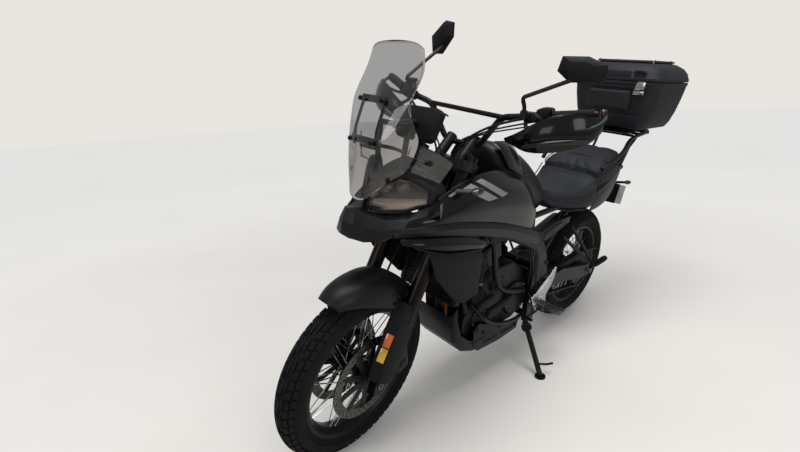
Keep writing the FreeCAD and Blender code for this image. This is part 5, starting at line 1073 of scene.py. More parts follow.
class MOTO_OT_headlamps(bpy.types.Operator):
    """Adds the twin lamps: smoked lenses, bowls, running-light strips, surrounds and dark housings"""
    bl_idname = "moto.headlamps"
    bl_label = "Headlamps"

    def execute(self, context):
        lens_sheet = both_sides(panel(LENS, 0.003, 2, 0.0008))
        on_bike(lens_sheet, "lamp_lenses", "lamp_smoke", "lamp_clear", ("headlamps",))
        rim = LENS[0] + [LENS[1][-1]] + LENS[2][::-1] + [LENS[1][0]]
        deep = [(x - 50, max(y * 0.82 - 4, 6), (z - 966) * 0.72 + 966) for x, y, z in rim]
        mid = [(x - 6, y, z) for x, y, z in rim]
        housing = surface_of(mm([mid, deep]), closed=True)
        floor_sheet = surface_of(mm([[(x, y, z) for x, y, z in deep[:4]], [(x, y, z) for x, y, z in deep[8:4:-1]]]))
        shell = merged(joined(housing, floor_sheet), 1e-4)
        shaped(shell, 'SOLIDIFY', thickness=0.003, offset=-1.0)
        middle = sum((Vector(point) for point in rim), Vector()) / len(rim)
        outer = [middle + (Vector(point) - middle) * 1.17 for point in rim]
        outer = [(x - 10, max(y, 1.5), z + 4) for x, y, z in outer]
        border = surface_of(mm([[(x + 2, max(y, 3), z) for x, y, z in rim], outer,
                                [(x - 22, y, z) for x, y, z in outer]]), closed=True)
        outward(border, middle * MM - Vector((0.06, 0, 0)))
        shaped(border, 'SOLIDIFY', thickness=0.003, offset=-1.0)
        rounded(border, 0.0015, 20)
        on_bike(both_sides(border), "lamp_surrounds", "satin_black", "matt_black_plastic")
        on_bike(both_sides(shell), "lamp_housings", "moulded_black", "matt_black_plastic")
        turn = rotated(34, 'Z') @ rotated(82, 'Y')
        bowls = [bowl(placed_at(*spot) @ turn, size * MM, 30 * MM)
                 for spot, size in (((1396, 52, 992), 19), ((1362, 88, 1001), 18))]
        on_bike(both_sides(joined(*bowls)), "lamp_bowls", "reflector", "lamp_clear")
        strip_rows = [[(1434, 18, 958), (1402, 56, 962), (1364, 94, 962), (1318, 138, 966)],
                      [(1436, 15, 940), (1406, 50, 936), (1366, 92, 938), (1318, 138, 954)],
                      [(1436, 15, 926), (1406, 48, 920), (1364, 92, 926), (1316, 140, 948)]]
        strip = panel([[(x - 9, y, z) for x, y, z in row] for row in strip_rows], 0.006, 2, 0.0015)
        shaped(strip, 'DECIMATE', decimate_type='DISSOLVE', angle_limit=math.radians(9))
        on_bike(both_sides(strip), "running_light_strips", "reflector", "lamp_clear")
        return {'FINISHED'}


class MOTO_OT_dashboard(bpy.types.Operator):
    """Adds the instrument case with its blank display, hood and keys"""
    bl_idname = "moto.dashboard"
    bl_label = "Dashboard"

    def execute(self, context):
        tilt = placed_at(1222, 0, 1172) @ rotated(-24, 'Y')
        case = laid(plate([(-86, -44), (-70, -56), (70, -56), (86, -44), (88, 40), (72, 54), (-72, 54), (-88, 40)],
                          -14, 14, 4, 'YZ'), TO_METRES)
        hood = panel([[(-12, -84, 44), (-12, -66, 58), (-12, 66, 58), (-12, 84, 44)],
                      [(-34, -80, 48), (-34, -64, 60), (-34, 64, 60), (-34, 80, 48)]], 0.003, 1, 0)
        ready(joined(case, hood), "instrument_case", "moulded_black", "chassis", "matt_black_plastic", BIKE @ tilt,
              ("dashboard",))
        glass = laid(plate([(-76, -42), (76, -42), (76, 42), (-76, 42)], -17, -13, 1.5, 'YZ'), TO_METRES)
        ready(glass, "instrument_glass", "display", "chassis", "matt_black_plastic", BIKE @ tilt)
        keys = laid(copied(plate([(-9, -5), (9, -5), (9, 5), (-9, 5)], -17, -12, 1.2, 'YZ'),
                           [Matrix.Translation((0, y, -49)) for y in (-45, -15, 15, 45)]), TO_METRES)
        ready(keys, "instrument_keys", "rubber", "chassis", "matt_black_plastic", BIKE @ tilt)
        return {'FINISHED'}


# Handlebar fittings, straight ahead in the bike's frame

GUARD = [
    [(1046, 190, 1152), (1044, 192, 1144), (1036, 194, 1136)],
    [(1040, 238, 1182), (1052, 234, 1156), (1034, 238, 1128)],
    [(1062, 276, 1212), (1078, 272, 1170), (1056, 274, 1124)],
    [(1052, 336, 1252), (1080, 334, 1196), (1060, 336, 1134)],
    [(1024, 392, 1268), (1056, 398, 1212), (1040, 402, 1156)],
    [(985, 434, 1256), (1004, 446, 1218), (998, 450, 1180)],
    [(932, 450, 1258), (940, 456, 1238), (940, 456, 1212)]]
BAR_OUT = Vector((917, 435, 1262)) - Vector((986, 295, 1236))


def along(start, toward):
    """A place whose own Y runs from a start along a direction."""
    y_axis = Vector(toward).normalized()
    x_axis = y_axis.cross(Vector((0, 0, 1))).normalized()
    z_axis = x_axis.cross(y_axis)
    turned_to = Matrix((x_axis, y_axis, z_axis)).transposed().to_4x4()
    return Matrix.Translation(Vector(start)) @ turned_to


class MOTO_OT_handguards(bpy.types.Operator):
    """Adds the hand guards with their arms"""
    bl_idname = "moto.handguards"
    bl_label = "Hand guards"

    def execute(self, context):
        shell = panel(GUARD, 0.0035, 2, 0.0015)
        lip = panel([[(x + 1, y + 1, z - 20), (x + 9, y + 3, z - 26), (x + 1, y + 1, z - 34)]
                     for x, y, z in [row[1] for row in GUARD[2:6]]], 0.002, 2, 0.0)
        on_fork(both_sides(joined(shell, lip)), "hand_guard_shells", "gloss_black", "gloss_black_plastic",
                ("handguards",))
        arm = pipe(line_mm([(912, 445, 1264), (944, 462, 1246), (1012, 428, 1218), (1050, 360, 1196),
                            (1058, 296, 1184), (1036, 246, 1196), (1004, 238, 1224)]), 0.0065, 8)
        clamp = laid(turned([(0.0125, -0.012), (0.018, -0.011), (0.018, 0.011), (0.0125, 0.012)], 24),
                     along(Vector((1003, 238, 1225)) * MM, BAR_OUT))
        on_fork(both_sides(joined(arm, clamp)), "hand_guard_arms", "cast_black", "matt_black_plastic")
        return {'FINISHED'}


class MOTO_OT_grips(bpy.types.Operator):
    """Adds the ribbed grips, the bar ends and their red rings"""
    bl_idname = "moto.grips"
    bl_label = "Grips"

    def execute(self, context):
        outer = context.scene.moto_sizes.grip_radius
        profile = [(0.0112, 0.0), (0.0215, 0.0), (0.0215, 0.004), (outer, 0.007)]
        for k in range(16):
            start = 0.010 + k * 0.0066
            profile += [(outer, start), (outer, start + 0.0040), (outer - 0.0012, start + 0.0046),
                        (outer - 0.0012, start + 0.0060)]
        profile += [(outer, 0.117), (outer + 0.001, 0.119), (outer + 0.001, 0.122), (0.0112, 0.122)]
        grip = laid(turned(profile, 36), along(Vector((980, 307, 1238.4)) * MM, BAR_OUT))
        on_fork(both_sides(grip), "grip_rubbers", "rubber", "grip_rubber", ("grips",))
        cap = laid(turned([(0.0, 0.0), (0.0135, 0.0), (0.0155, 0.002), (0.0155, 0.014),
                           (0.013, 0.018), (0.005, 0.019), (0.005, 0.016), (0, 0.016)], 30),
                   along(Vector((918.5, 432, 1261.5)) * MM, BAR_OUT))
        on_fork(both_sides(cap), "bar_ends", "cast_black", "black_alloy")
        ring = laid(turned([(0.0158, 0.004), (0.0163, 0.0045), (0.0163, 0.0075), (0.0158, 0.008)], 30),
                    along(Vector((918.5, 432, 1261.5)) * MM, BAR_OUT))
        on_fork(both_sides(ring), "bar_end_rings", "red_trim", "black_alloy")
        return {'FINISHED'}


def lever(side_table):
    """A hand lever: a flat blade along its middle line, its own width at each point."""
    rows = [[(x - half, y, z - thick), (x + half, y, z - thick), (x + half, y, z + thick), (x - half, y, z + thick)]
            for x, y, z, half, thick in side_table]
    blade = capped_loft(mm(rows))
    rounded(blade, 0.002, 40)
    return blade


LEVER = [(1004, 268, 1226, 7, 5), (1022, 286, 1226, 9, 5), (1030, 310, 1228, 7, 4), (1020, 350, 1234, 5, 4),
         (1002, 390, 1241, 5, 4), (988, 412, 1244, 6, 5), (984, 418, 1245, 4, 4)]


class MOTO_OT_controls(bpy.types.Operator):
    """Adds the levers, perches, switch housings, the brake reservoir, the cables and the crossbar"""
    bl_idname = "moto.controls"
    bl_label = "Controls"

    def execute(self, context):
        on_fork(both_sides(lever(LEVER)), "hand_levers", "fork_dark", "black_alloy", ("hand_controls",))
        perch = capped_loft(mm([[(x - a, y, z - b), (x + a, y, z - b), (x + a, y, z + b), (x - a, y, z + b)]
                                for x, y, z, a, b in ((1002, 244, 1226, 16, 17), (1004, 262, 1228, 18, 16),
                                                      (1008, 280, 1228, 16, 9), (1014, 292, 1228, 12, 7))]))
        rounded(perch, 0.004, 40)
        pin = bolt(placed_at(1014, 278, 1237), 0.006, 0.004)
        on_fork(both_sides(joined(perch, pin)), "lever_perches", "cast_black", "black_alloy")

        switch = capped_loft(mm([[(x - a, y, z - b), (x + a * 0.7, y, z - b), (x + a, y, z),
                                  (x + a * 0.7, y, z + b), (x - a, y, z + b), (x - a * 1.15, y, z)]
                                 for x, y, z, a, b in ((988, 262, 1232, 19, 20), (984, 280, 1236, 23, 26),
                                                       (980, 300, 1238, 22, 25), (977, 306, 1239, 19, 20))]))
        rounded(switch, 0.003, 35)
        on_fork(both_sides(switch), "switch_housings", "moulded_black", "matt_black_plastic")
        keys = [laid(plate([(-wide, -tall), (wide, -tall), (wide, tall), (-wide, tall)], -4, 4, 1.2, 'YZ'),
                     TO_METRES @ Matrix.Translation((958, 284 + dy, 1237 + dz)))
                for dy, dz, wide, tall in ((-8, 14, 6, 4), (4, 14, 5, 4), (-2, 2, 9, 5), (-4, -12, 7, 4))]
        on_fork(both_sides(joined(*keys)), "switch_keys", "rubber", "matt_black_plastic")

        pot = turned([(0.0, 0.0), (0.019, 0.0), (0.0205, 0.002), (0.0215, 0.026), (0.0, 0.026)], 32)
        lid = turned([(0.0, 0.026), (0.0235, 0.026), (0.0245, 0.028), (0.0245, 0.034), (0.022, 0.037), (0.0, 0.038)],
                     32)
        at_pot = placed_at(1010, -252, 1246) @ rotated(90, 'X')
        pot.data.transform(at_pot)
        lid.data.transform(at_pot)
        on_fork(pot, "brake_reservoir", "amber", "amber_lens")
        on_fork(lid, "brake_reservoir_lid", "moulded_black", "matt_black_plastic")

        runs = [[(1010, 252, 1226), (1050, 214, 1214), (1076, 140, 1180), (1090, 62, 1120),
                 (1092, 34, 1050), (1102, 30, 1010)],
                [(990, 262, 1214), (1034, 210, 1196), (1062, 120, 1160), (1080, 50, 1108),
                 (1086, 22, 1048), (1096, 22, 1008)],
                [(982, 300, 1214), (1020, 216, 1186), (1054, 110, 1150),
                 (1074, 40, 1100), (1084, 12, 1044), (1092, 12, 1006)],
                [(1010, -252, 1226), (1048, -214, 1214), (1072, -140, 1172),
                 (1086, -62, 1112), (1092, -30, 1050), (1102, -24, 1010)],
                [(982, -300, 1216), (1022, -214, 1190), (1056, -120, 1154), (1078, -46, 1100), (1086, -14, 1044),
                 (1096, -12, 1006)]]
        hoses = [pipe(line_mm(run), radius, 8) for run, radius in zip(runs, (0.0042, 0.003, 0.0026, 0.0042, 0.003))]
        on_fork(joined(*hoses), "control_cables", "rubber", "grip_rubber")
        bar = pipe(line_mm([(1003, -150, 1209), (1003, 150, 1209)]), 0.0085, 12, flat=True)
        on_fork(bar, "crossbar", "frame_coat", "black_alloy")
        return {'FINISHED'}


LEFT_MIRROR = ((-70, -10), (-64, 32), (8, 38), (62, 20), (68, 4), (64, -27), (-30, -38))
RIGHT_MIRROR = ((59, 0), (34, -62), (-13, -58), (-60, 8), (-48, 58), (-10, 62))


class MOTO_OT_mirrors(bpy.types.Operator):
    """Adds the mirror heads, their glass and their stalks"""
    bl_idname = "moto.mirrors"
    bl_label = "Mirrors"

    def execute(self, context):
        heads, panes, stalks = [], [], []
        for side, outline, centre, turn, foot in ((1, LEFT_MIRROR, (1000, 376, 1384), 14, (1030, 236, 1236)),
                                                  (-1, RIGHT_MIRROR, (855, -243, 1432), -16, (1030, -236, 1236))):
            place = (placed_at(*centre) @ rotated(turn, 'Z') @ rotated(-6, 'Y') @ Matrix.Diagonal((1, side, 1, 1)))
            head = closed_loft([[(depth, y * size, z * size) for y, z in outline]
                                for depth, size in ((-10, 0.96), (-8, 1.0), (4, 1.0), (14, 0.86),
                                                    (22, 0.55), (25, 0.2))])
            rounded(head, 0.003, 20)
            head.data.transform(place)
            pane = laid(plate([(y * 0.93, z * 0.92) for y, z in outline], -11.5, -9, 0.6, 'YZ'), place @ TO_METRES)
            for piece in (head, pane):
                edited(piece, face_out)
            heads.append(head)
            panes.append(pane)
            root = Vector(foot) * MM
            neck = Vector(centre) * MM + Vector((0.018, -side * 0.02, -0.03))
            knee = root + Vector((0.034, 0, 0.052))
            stalks.append(pipe([root, root + Vector((0, 0, 0.02)), knee, knee.lerp(neck, 0.15), neck], 0.0065, 12))
            stalks.append(turned([(0.0, -0.016), (0.0115, -0.016), (0.0125, -0.013), (0.0125, 0.006), (0.010, 0.012),
                                  (0.0, 0.012)], 6))
            stalks[-1].data.transform(Matrix.Translation(root) @ rotated(90, 'X'))
        on_fork(joined(*heads), "mirror_heads", "moulded_black", "matt_black_plastic", ("mirrors",))
        on_fork(joined(*panes), "mirror_panes", "mirror", "matt_black_plastic")
        on_fork(joined(*stalks), "mirror_stalks", "cast_black", "matt_black_plastic")
        return {'FINISHED'}


# Wheels, upright round their own axles

def on_tyre(radius, crown, round_way, across, height):
    """A point of the tread from its way round the tyre, its way across the crown and its height."""
    lean = across / crown
    reach = radius - crown + (crown + height) * math.cos(lean)
    turn = round_way / radius
    return Vector((reach * math.cos(turn), (crown + height) * math.sin(lean), reach * math.sin(turn)))


def tread_block(outline, radius, crown, depth):
    """A tread block with chamfered edges, bent to the tyre's crown; the outline is in millimetres."""
    block = plate([(a * MM, b * MM) for a, b in outline], -depth, 0, 0.0012, 'XY', 1)
    lows = [min(p[k] for p in outline) for k in (0, 1)]
    highs = [max(p[k] for p in outline) for k in (0, 1)]
    for k, pitch in ((0, 14), (1, 9)):
        way = [0, 0, 0]
        way[k] = 1
        cut = lows[k] + pitch
        while cut < highs[k] - 2:
            spot = [0, 0, 0]
            spot[k] = cut * MM
            edited(block, lambda spot=tuple(spot), way=tuple(way): bpy.ops.mesh.bisect(plane_co=spot, plane_no=way))
            cut += pitch
    for vertex in block.data.vertices:
        vertex.co = on_tyre(radius, crown, vertex.co.x, vertex.co.y, vertex.co.z)
    return block


def mirrored_outline(outline, shift):
    """A block's outline for the other half of the tread, moved along it."""
    return [(a + shift, -b) for a, b in reversed(outline)]


def tyre(radius, width, crown, rim, rim_half, edge, outlines, pitches, depth):
    """A tyre: the carcass with its beads and sidewall steps, and the tread blocks copied round it."""
    arc = [math.radians(a) for a in range(-edge, edge + 1, 6)]
    base = crown - depth
    crown_rows = [(radius - crown + base * math.cos(a), base * math.sin(a)) for a in reversed(arc)]
    last = crown_rows[0]
    half = width / 2
    wall = [(rim - 0.006, rim_half - 0.006), (rim + 0.004, rim_half - 0.001), (rim + 0.012, rim_half + 0.004),
            (rim + 0.013, rim_half + 0.0055), (rim + 0.018, rim_half + 0.0065),
            ((rim + last[0]) / 2 - 0.004, half - 0.0012), ((rim + last[0]) / 2, half),
            (last[0] - 0.016, half - 0.0002), (last[0] - 0.014, half - 0.0016)]
    profile = wall + crown_rows + [(r, -y) for r, y in reversed(wall)] + [wall[0]]
    carcass = turned(profile, 120)
    blocks = [tread_block(outline, radius, crown, depth + 0.001) for outline in outlines]
    blocks = copied(joined(*blocks), around(pitches, 'Y'))
    return joined(carcass, blocks)


TREAD_PITCH = 0.069  # metres along the crown from one set of blocks to the next
TREAD_STAGGER = 30  # millimetres by which the other half of the tread runs ahead
SPOKES = 36
FRONT_DISC = Matrix.Translation((0, 0.0605, 0))
REAR_DISC = Matrix.Translation((0, -0.0855, 0))

FRONT_BLOCKS = [
    [(1, -3), (14, -15), (62, -15), (52, 3)],
    [(18, 15), (31, 3), (64, 3), (66, 8), (60, 15)],
    [(2, 19), (12, 19), (28, 19), (34, 36), (8, 36)],
    [(33, 19), (62, 19), (66, 36), (39, 36)],
    [(10, 40), (38, 40), (42, 56), (16, 56)],
    [(43, 40), (73, 40), (78, 56), (48, 56)]]
REAR_BLOCKS = [
    [(1, -4), (16, -19), (58, -19), (50, 4)],
    [(20, 19), (34, 4), (64, 4), (66, 12), (58, 19)],
    [(0, 24), (30, 24), (38, 47), (8, 47)],
    [(35, 24), (62, 24), (68, 47), (43, 47)],
    [(10, 52), (40, 52), (46, 74), (16, 74)],
    [(46, 52), (72, 52), (78, 74), (52, 74)]]


class MOTO_OT_tyres(bpy.types.Operator):
    """Adds both tyres with their tread blocks"""
    bl_idname = "moto.tyres"
    bl_label = "Tyres"

    def execute(self, context):
        sizes = context.scene.moto_sizes
        for name, outlines, radius, width, crown, rim, rim_half, edge, body, place in (
                ("front", FRONT_BLOCKS, sizes.front_tyre_radius, sizes.front_tyre_width,
                 0.058, 0.243, 0.038, 57, "front_wheel", FRONT_WHEEL),
                ("rear", REAR_BLOCKS, sizes.rear_tyre_radius, sizes.rear_tyre_width, 0.078, 0.218, 0.057, 56,
                 "rear_wheel", REAR_WHEEL)):
            pitches = round(math.tau * radius / TREAD_PITCH)
            outlines = outlines + [mirrored_outline(line, TREAD_STAGGER) for line in outlines[2:]]
            made = tyre(radius, width, crown, rim, rim_half, edge, outlines, pitches, sizes.tread_depth)
            ready(made, name + "_tyre_rubber", "tyre_rubber", body, "tyre", place, (name + "_tyre",), 34)
        return {'FINISHED'}


def rim_band(radius, half):
    """A rim's closed section turned round the axle."""
    profile = [(0.250, 1.0), (0.252, 0.985), (0.252, 0.92), (0.243, 0.86), (0.2405, 0.68), (0.235, 0.46),
               (0.229, 0.33), (0.2275, 0.0)]
    inner = [(0.2175, 0.0), (0.219, 0.34), (0.224, 0.5), (0.2305, 0.8), (0.236, 0.97), (0.244, 1.0)]
    step = radius - 0.241
    outer = [(r + step, y * half) for r, y in profile] + [(r + step, -y * half) for r, y in reversed(profile[:-1])]
    back = [(r + step, -y * half) for r, y in reversed(inner)] + [(r + step, y * half) for r, y in inner[1:]]
    return turned(outer + back + [outer[0]], 120)


def spokes(rim_reach, rim_y, hub_reach, hub_y, lead, count):
    """Spokes from both hub flanges, crossing each other on the way to the rim."""
    rods, nipples = [], []
    for side in (1, -1):
        for way in (1, -1):
            start = math.tau / count * (0 if way > 0 else 1) + math.tau / count * (0.5 if side < 0 else 0)
            near = Vector((hub_reach, side * (hub_y + way * 0.003), 0))
            far = Matrix.Rotation(way * lead, 4, 'Y') @ Vector((rim_reach, side * rim_y, 0))
            rod = pipe([near, far], 0.0021, 8, flat=True)
            rods.append(copied(rod, around(count // 4, 'Y', start)))
            sleeve = pipe([far + (near - far).normalized() * 0.018, far + (far - near).normalized() * 0.004],
                          0.0036, 8, flat=True)
            nipples.append(copied(sleeve, around(count // 4, 'Y', start)))
    return joined(*rods, *nipples)


def drilled_disc(outer, inner, thick, holes, rows, hole=0.0034):
    """A brake disc's ring with rows of drilled holes."""
    ring = turned([(inner, -thick / 2), (inner, thick / 2), (outer, thick / 2), (outer, -thick / 2),
                   (inner, -thick / 2)], 120)
    drills = []
    for row in range(rows):
        reach = inner + (outer - inner) * (row + 1.0) / (rows + 1)
        deselect()
        bpy.ops.mesh.primitive_cylinder_add(vertices=12, radius=hole, depth=thick * 3,
                                            rotation=(math.radians(90), 0, 0), location=(reach, 0, 0))
        drill = settle(bpy.context.object)
        drills.append(copied(drill, around(holes, 'Y', math.tau / holes * row * 0.33)))
    cutter = joined(*drills)
    shaped(ring, 'BOOLEAN', operation='DIFFERENCE', object=cutter, solver='EXACT')
    bpy.data.objects.remove(cutter)
    rounded(ring, 0.0004, 60, 1)
    return ring


def carrier(arms, hub, reach, thick):
    """A disc carrier: a ring round the hub with arms that hold the disc by its rivets."""
    outline = []
    for k in range(arms):
        middle = math.tau * k / arms
        for turn, far in ((-0.30, hub + 0.010), (-0.13, reach * 0.72), (-0.085, reach), (0.085, reach),
                          (0.13, reach * 0.72), (0.30, hub + 0.010)):
            outline.append((far * math.cos(middle + turn), far * math.sin(middle + turn)))
    star = plate(outline, -thick / 2, thick / 2, 0.001)
    bore = turned([(0.016, -thick), (0.016, thick), (hub + 0.004, thick), (hub + 0.004, -thick), (0.016, -thick)], 36)
    rivet = laid(turned([(0.0, -thick * 0.9), (0.0062, -thick * 0.9), (0.007, -thick * 0.6), (0.007, thick * 0.6),
                         (0.0062, thick * 0.9), (0.0, thick * 0.9)], 16), Matrix.Translation((reach - 0.004, 0, 0)))
    return joined(star, bore, copied(rivet, around(arms, 'Y')))


class MOTO_OT_front_wheel(bpy.types.Operator):
    """Adds the front rim, spokes, hub and brake discs"""
    bl_idname = "moto.front_wheel"
    bl_label = "Front wheel"

    def execute(self, context):
        rim = rim_band(0.241, 0.038)
        hub = turned([(0.013, 0.056), (0.030, 0.056), (0.030, 0.036), (0.046, 0.034), (0.047, 0.028), (0.032, 0.025),
                      (0.027, 0.010), (0.027, -0.010), (0.032, -0.025), (0.047, -0.028), (0.046, -0.034),
                      (0.030, -0.036), (0.030, -0.056), (0.013, -0.056), (0.013, 0.056)], 48)
        ready(joined(rim, hub), "front_rim_and_hub", "frame_coat", "front_wheel", "black_alloy", FRONT_WHEEL,
              ("front_laced_wheel",))
        ready(spokes(0.233, 0.010, 0.042, 0.031, math.radians(42), SPOKES), "front_spokes", "polished", "front_wheel",
              "bare_alloy", FRONT_WHEEL)
        ring = drilled_disc(0.158, 0.124, 0.0046, 36, 3)
        discs = both_sides(copied(ring, [FRONT_DISC]))
        ready(discs, "front_disc_rings", "disc_steel", "front_wheel", "disc_steel", FRONT_WHEEL,
              ("front_brake_discs",))
        star = carrier(10, 0.030, 0.128, 0.0044)
        ready(both_sides(copied(star, [FRONT_DISC])), "front_disc_carriers", "cast_black", "front_wheel",
              "black_alloy", FRONT_WHEEL)
        return {'FINISHED'}


class MOTO_OT_rear_wheel(bpy.types.Operator):
    """Adds the rear rim, spokes, hub and brake disc"""
    bl_idname = "moto.rear_wheel"
    bl_label = "Rear wheel"

    def execute(self, context):
        rim = rim_band(0.216, 0.057)
        hub = turned([(0.013, 0.082), (0.030, 0.082), (0.046, 0.060), (0.046, 0.050), (0.055, 0.046), (0.055, 0.038),
                      (0.036, 0.034), (0.028, 0.010), (0.028, -0.010), (0.036, -0.034), (0.055, -0.038),
                      (0.055, -0.044), (0.040, -0.048), (0.030, -0.082), (0.013, -0.082), (0.013, 0.082)], 48)
        ready(joined(rim, hub), "rear_rim_and_hub", "frame_coat", "rear_wheel", "black_alloy", REAR_WHEEL,
              ("rear_laced_wheel",))
        ready(spokes(0.208, 0.016, 0.050, 0.041, math.radians(38), SPOKES), "rear_spokes", "polished", "rear_wheel",
              "bare_alloy", REAR_WHEEL)
        ring = drilled_disc(0.120, 0.088, 0.0046, 30, 3)
        star = carrier(6, 0.032, 0.092, 0.0044)
        ready(copied(ring, [REAR_DISC]), "rear_disc_ring", "disc_steel", "rear_wheel", "disc_steel", REAR_WHEEL,
              ("rear_brake_disc",))
        ready(copied(star, [REAR_DISC]), "rear_disc_carrier", "cast_black", "rear_wheel", "black_alloy", REAR_WHEEL)
        return {'FINISHED'}


# Fork, in its own frame, and the fender

FENDER = [
    [(1632, 0, 678), (1629, 26, 675), (1616, 46, 664)],
    [(1594, 0, 707), (1592, 36, 702), (1584, 62, 676), (1578, 66, 662)],
    [(1540, 0, 721), (1540, 44, 715), (1536, 72, 684), (1530, 80, 652)],
    [(1475, 0, 725), (1475, 46, 718), (1472, 80, 686), (1466, 92, 628)],
    [(1430, 0, 720), (1430, 48, 712), (1426, 84, 680), (1414, 98, 606)],
    [(1396, 0, 711), (1396, 48, 703), (1392, 84, 672), (1384, 98, 592)],
    [(1369, 0, 701), (1369, 46, 693), (1362, 72, 664), (1350, 74, 600)],
    [(1310, 0, 662), (1310, 44, 655), (1304, 70, 628), (1290, 73, 572)],
    [(1256, 0, 612), (1256, 40, 606), (1252, 66, 584), (1240, 70, 540)]]
FENDER[0].append((1612, 48, 656))
# a brake caliper's section across the bike, at its ends and its waist, on the axle's own place
CALIPER_END = ((98, 67), (150, 67), (160, 76), (160, 100), (150, 109), (104, 109), (96, 100))
CALIPER_WAIST = ((94, 66.5), (152, 66.5), (163, 76), (163, 100), (150, 111), (104, 111), (94, 100))


class MOTO_OT_front_fender(bpy.types.Operator):
    """Adds the front fender with its stays and the fork guards with their reflectors"""
    bl_idname = "moto.front_fender"
    bl_label = "Front fender"

    def execute(self, context):
        fender = panel(whole_rows(FENDER), 0.003, 2, 0.001)
        on_fork(fender, "front_fender_shell", "satin_black", "matt_black_plastic", ("front_fender",))
        brace = pipe(line_mm([(1400, 92, 610), (1360, 98, 604), (1330, 105, 590)]), 0.007, 8)
        screws = [bolt(placed_at(*spot) @ rotated(-84, 'X'), 0.0065, 0.004)
                  for spot in ((1404, 99, 618), (1398, 98, 648))]
        on_fork(both_sides(joined(brace, *screws)), "fender_stays", "black_steel", "black_alloy")
        rows = [[(-6, 100, z), (0, wide, z), (45, wide + 7, z), (front - 14, wide - 2, z),
                 (front, wide - 38, z), (front - 5, 82, z)]
                for z, wide, front in ((12, 124, 84), (60, 127, 96), (150, 127, 102), (240, 124, 100),
                                       (300, 116, 92))]
        guard = panel(rows, 0.003, 2, 0.001, False, (1, 3, 4))
        ready(both_sides(guard), "fork_guards", "moulded_black", "front_fork", "matt_black_plastic", FORK)
        face = placed_at(94, 109, 0) @ rotated(24, 'Z')
        for name, finish, slot, low, high in (("fork_reflectors", "orange", "amber_lens", 140, 188),
                                              ("fork_reflector_bases", "yellow", "amber_lens", 86, 136)):
            tile = laid(plate([(-13, low), (13, low), (13, high), (-13, high)], 0, 5, 1.4, 'YZ'), face @ TO_METRES)
            ready(both_sides(tile), name, finish, "front_fork", slot, FORK)
        return {'FINISHED'}


class MOTO_OT_fork(bpy.types.Operator):
    """Adds the fork's caps, seals, pinch bolts, brake calipers and hoses"""
    bl_idname = "moto.fork"
    bl_label = "Fork fittings"

    def execute(self, context):
        upright_y = rotated(90, 'X')
        leg = placed_at(36, 105, 0)
        cap = turned([(0.0, 0.846), (0.006, 0.846), (0.007, 0.843), (0.012, 0.843), (0.0125, 0.840), (0.019, 0.840),
                      (0.021, 0.838), (0.0215, 0.834), (0.0265, 0.834), (0.0272, 0.822)], 24)
        seal = turned([(0.0216, 0.226), (0.0255, 0.226), (0.0285, 0.230), (0.0290, 0.240), (0.0274, 0.246)], 36)
        for piece in (cap, seal):
            piece.data.transform(leg @ upright_y)
        ready(both_sides(joined(cap, seal)), "fork_caps_and_seals", "black_steel", "front_fork", "black_alloy", FORK)
        pinch = [bolt(placed_at(12, 116, z) @ rotated(-90, 'Y'), 0.0065, 0.006) for z in (568, 582, 800)]
        ready(both_sides(joined(*pinch)), "clamp_bolts", "plated", "front_fork", "black_alloy", FORK)
        nut = laid(turned([(0.0, -0.006), (0.021, -0.006), (0.021, 0.006), (0.015, 0.010), (0.0, 0.010)], 6),
                   Matrix.Translation((0, 0, 0.822)) @ upright_y)
        ready(nut, "stem_nut", "plated", "front_fork", "black_alloy", FORK)

        low_end, high_end = ([(x, y, z) for x, y in CALIPER_END] for z in (-52, 54))
        middle = [[(x * a + 128 * (1 - a), y, z) for x, y in CALIPER_WAIST]
                  for z, a in ((-50, 1.0), (-18, 1.06), (18, 1.06), (50, 1.0))]
        body = capped_loft(mm([low_end] + middle + [high_end]))
        rounded(body, 0.003, 38)
        pots = [laid(turned([(0.0, 0.117), (0.012, 0.117), (0.0135, 0.115), (0.020, 0.114), (0.022, 0.108),
                             (0.022, 0.100)], 28), placed_at(128, 0, z)) for z in (-25, 25)]
        ears = [bolt(placed_at(152, 88, z) @ rotated(90, 'Y'), 0.008, 0.016) for z in (-44, 44)]
        caliper = laid(laid(joined(body, *pots, *ears), rotated(-164, 'Y')), placed_at(1475, 0, 329))
        on_fork(both_sides(caliper), "front_caliper_bodies", "cast_black", "black_alloy", ("front_calipers",))
        hose = pipe(line_mm([(1352, 98, 392), (1338, 84, 430), (1318, 72, 500), (1286, 66, 600), (1240, 58, 700),
                             (1196, 44, 770), (1170, 20, 800)]), 0.004, 8)
        sensor = pipe(line_mm([(1420, 92, 338), (1396, 72, 420), (1352, 64, 500), (1300, 60, 620), (1226, 40, 740)]),
                      0.0025, 8)
        on_fork(joined(both_sides(hose), sensor), "front_brake_hoses", "rubber", "grip_rubber")
        return {'FINISHED'}


# Engine, exhaust and running gear, upright in the bike's frame

def slab(outline, low, high, edge=4.0, place=Matrix.Identity(4)):
    """A rounded slab standing across the bike, its outline seen from the side; lengths in millimetres."""
    piece = laid(plate(outline, low, high, 0), TO_METRES @ place)
    rounded(piece, edge * MM, 25, 3)
    return piece


def cover(x, z, radius, low_y, high_y, steps=40):
    """A round stepped cover with a raised centre, facing along Y between two planes; lengths in millimetres."""
    depth = high_y - low_y
    profile = [(0, high_y), (radius * 0.40, high_y), (radius * 0.46, high_y - depth * 0.10),
               (radius * 0.58, high_y - depth * 0.14), (radius * 0.62, high_y - depth * 0.26),
               (radius * 0.86, high_y - depth * 0.34), (radius * 0.92, high_y - depth * 0.52),
               (radius * 1.0, high_y - depth * 0.58), (radius * 1.0, low_y), (0, low_y)]
    return laid(turned(profile, steps), placed_at(x, 0, z) @ TO_METRES)


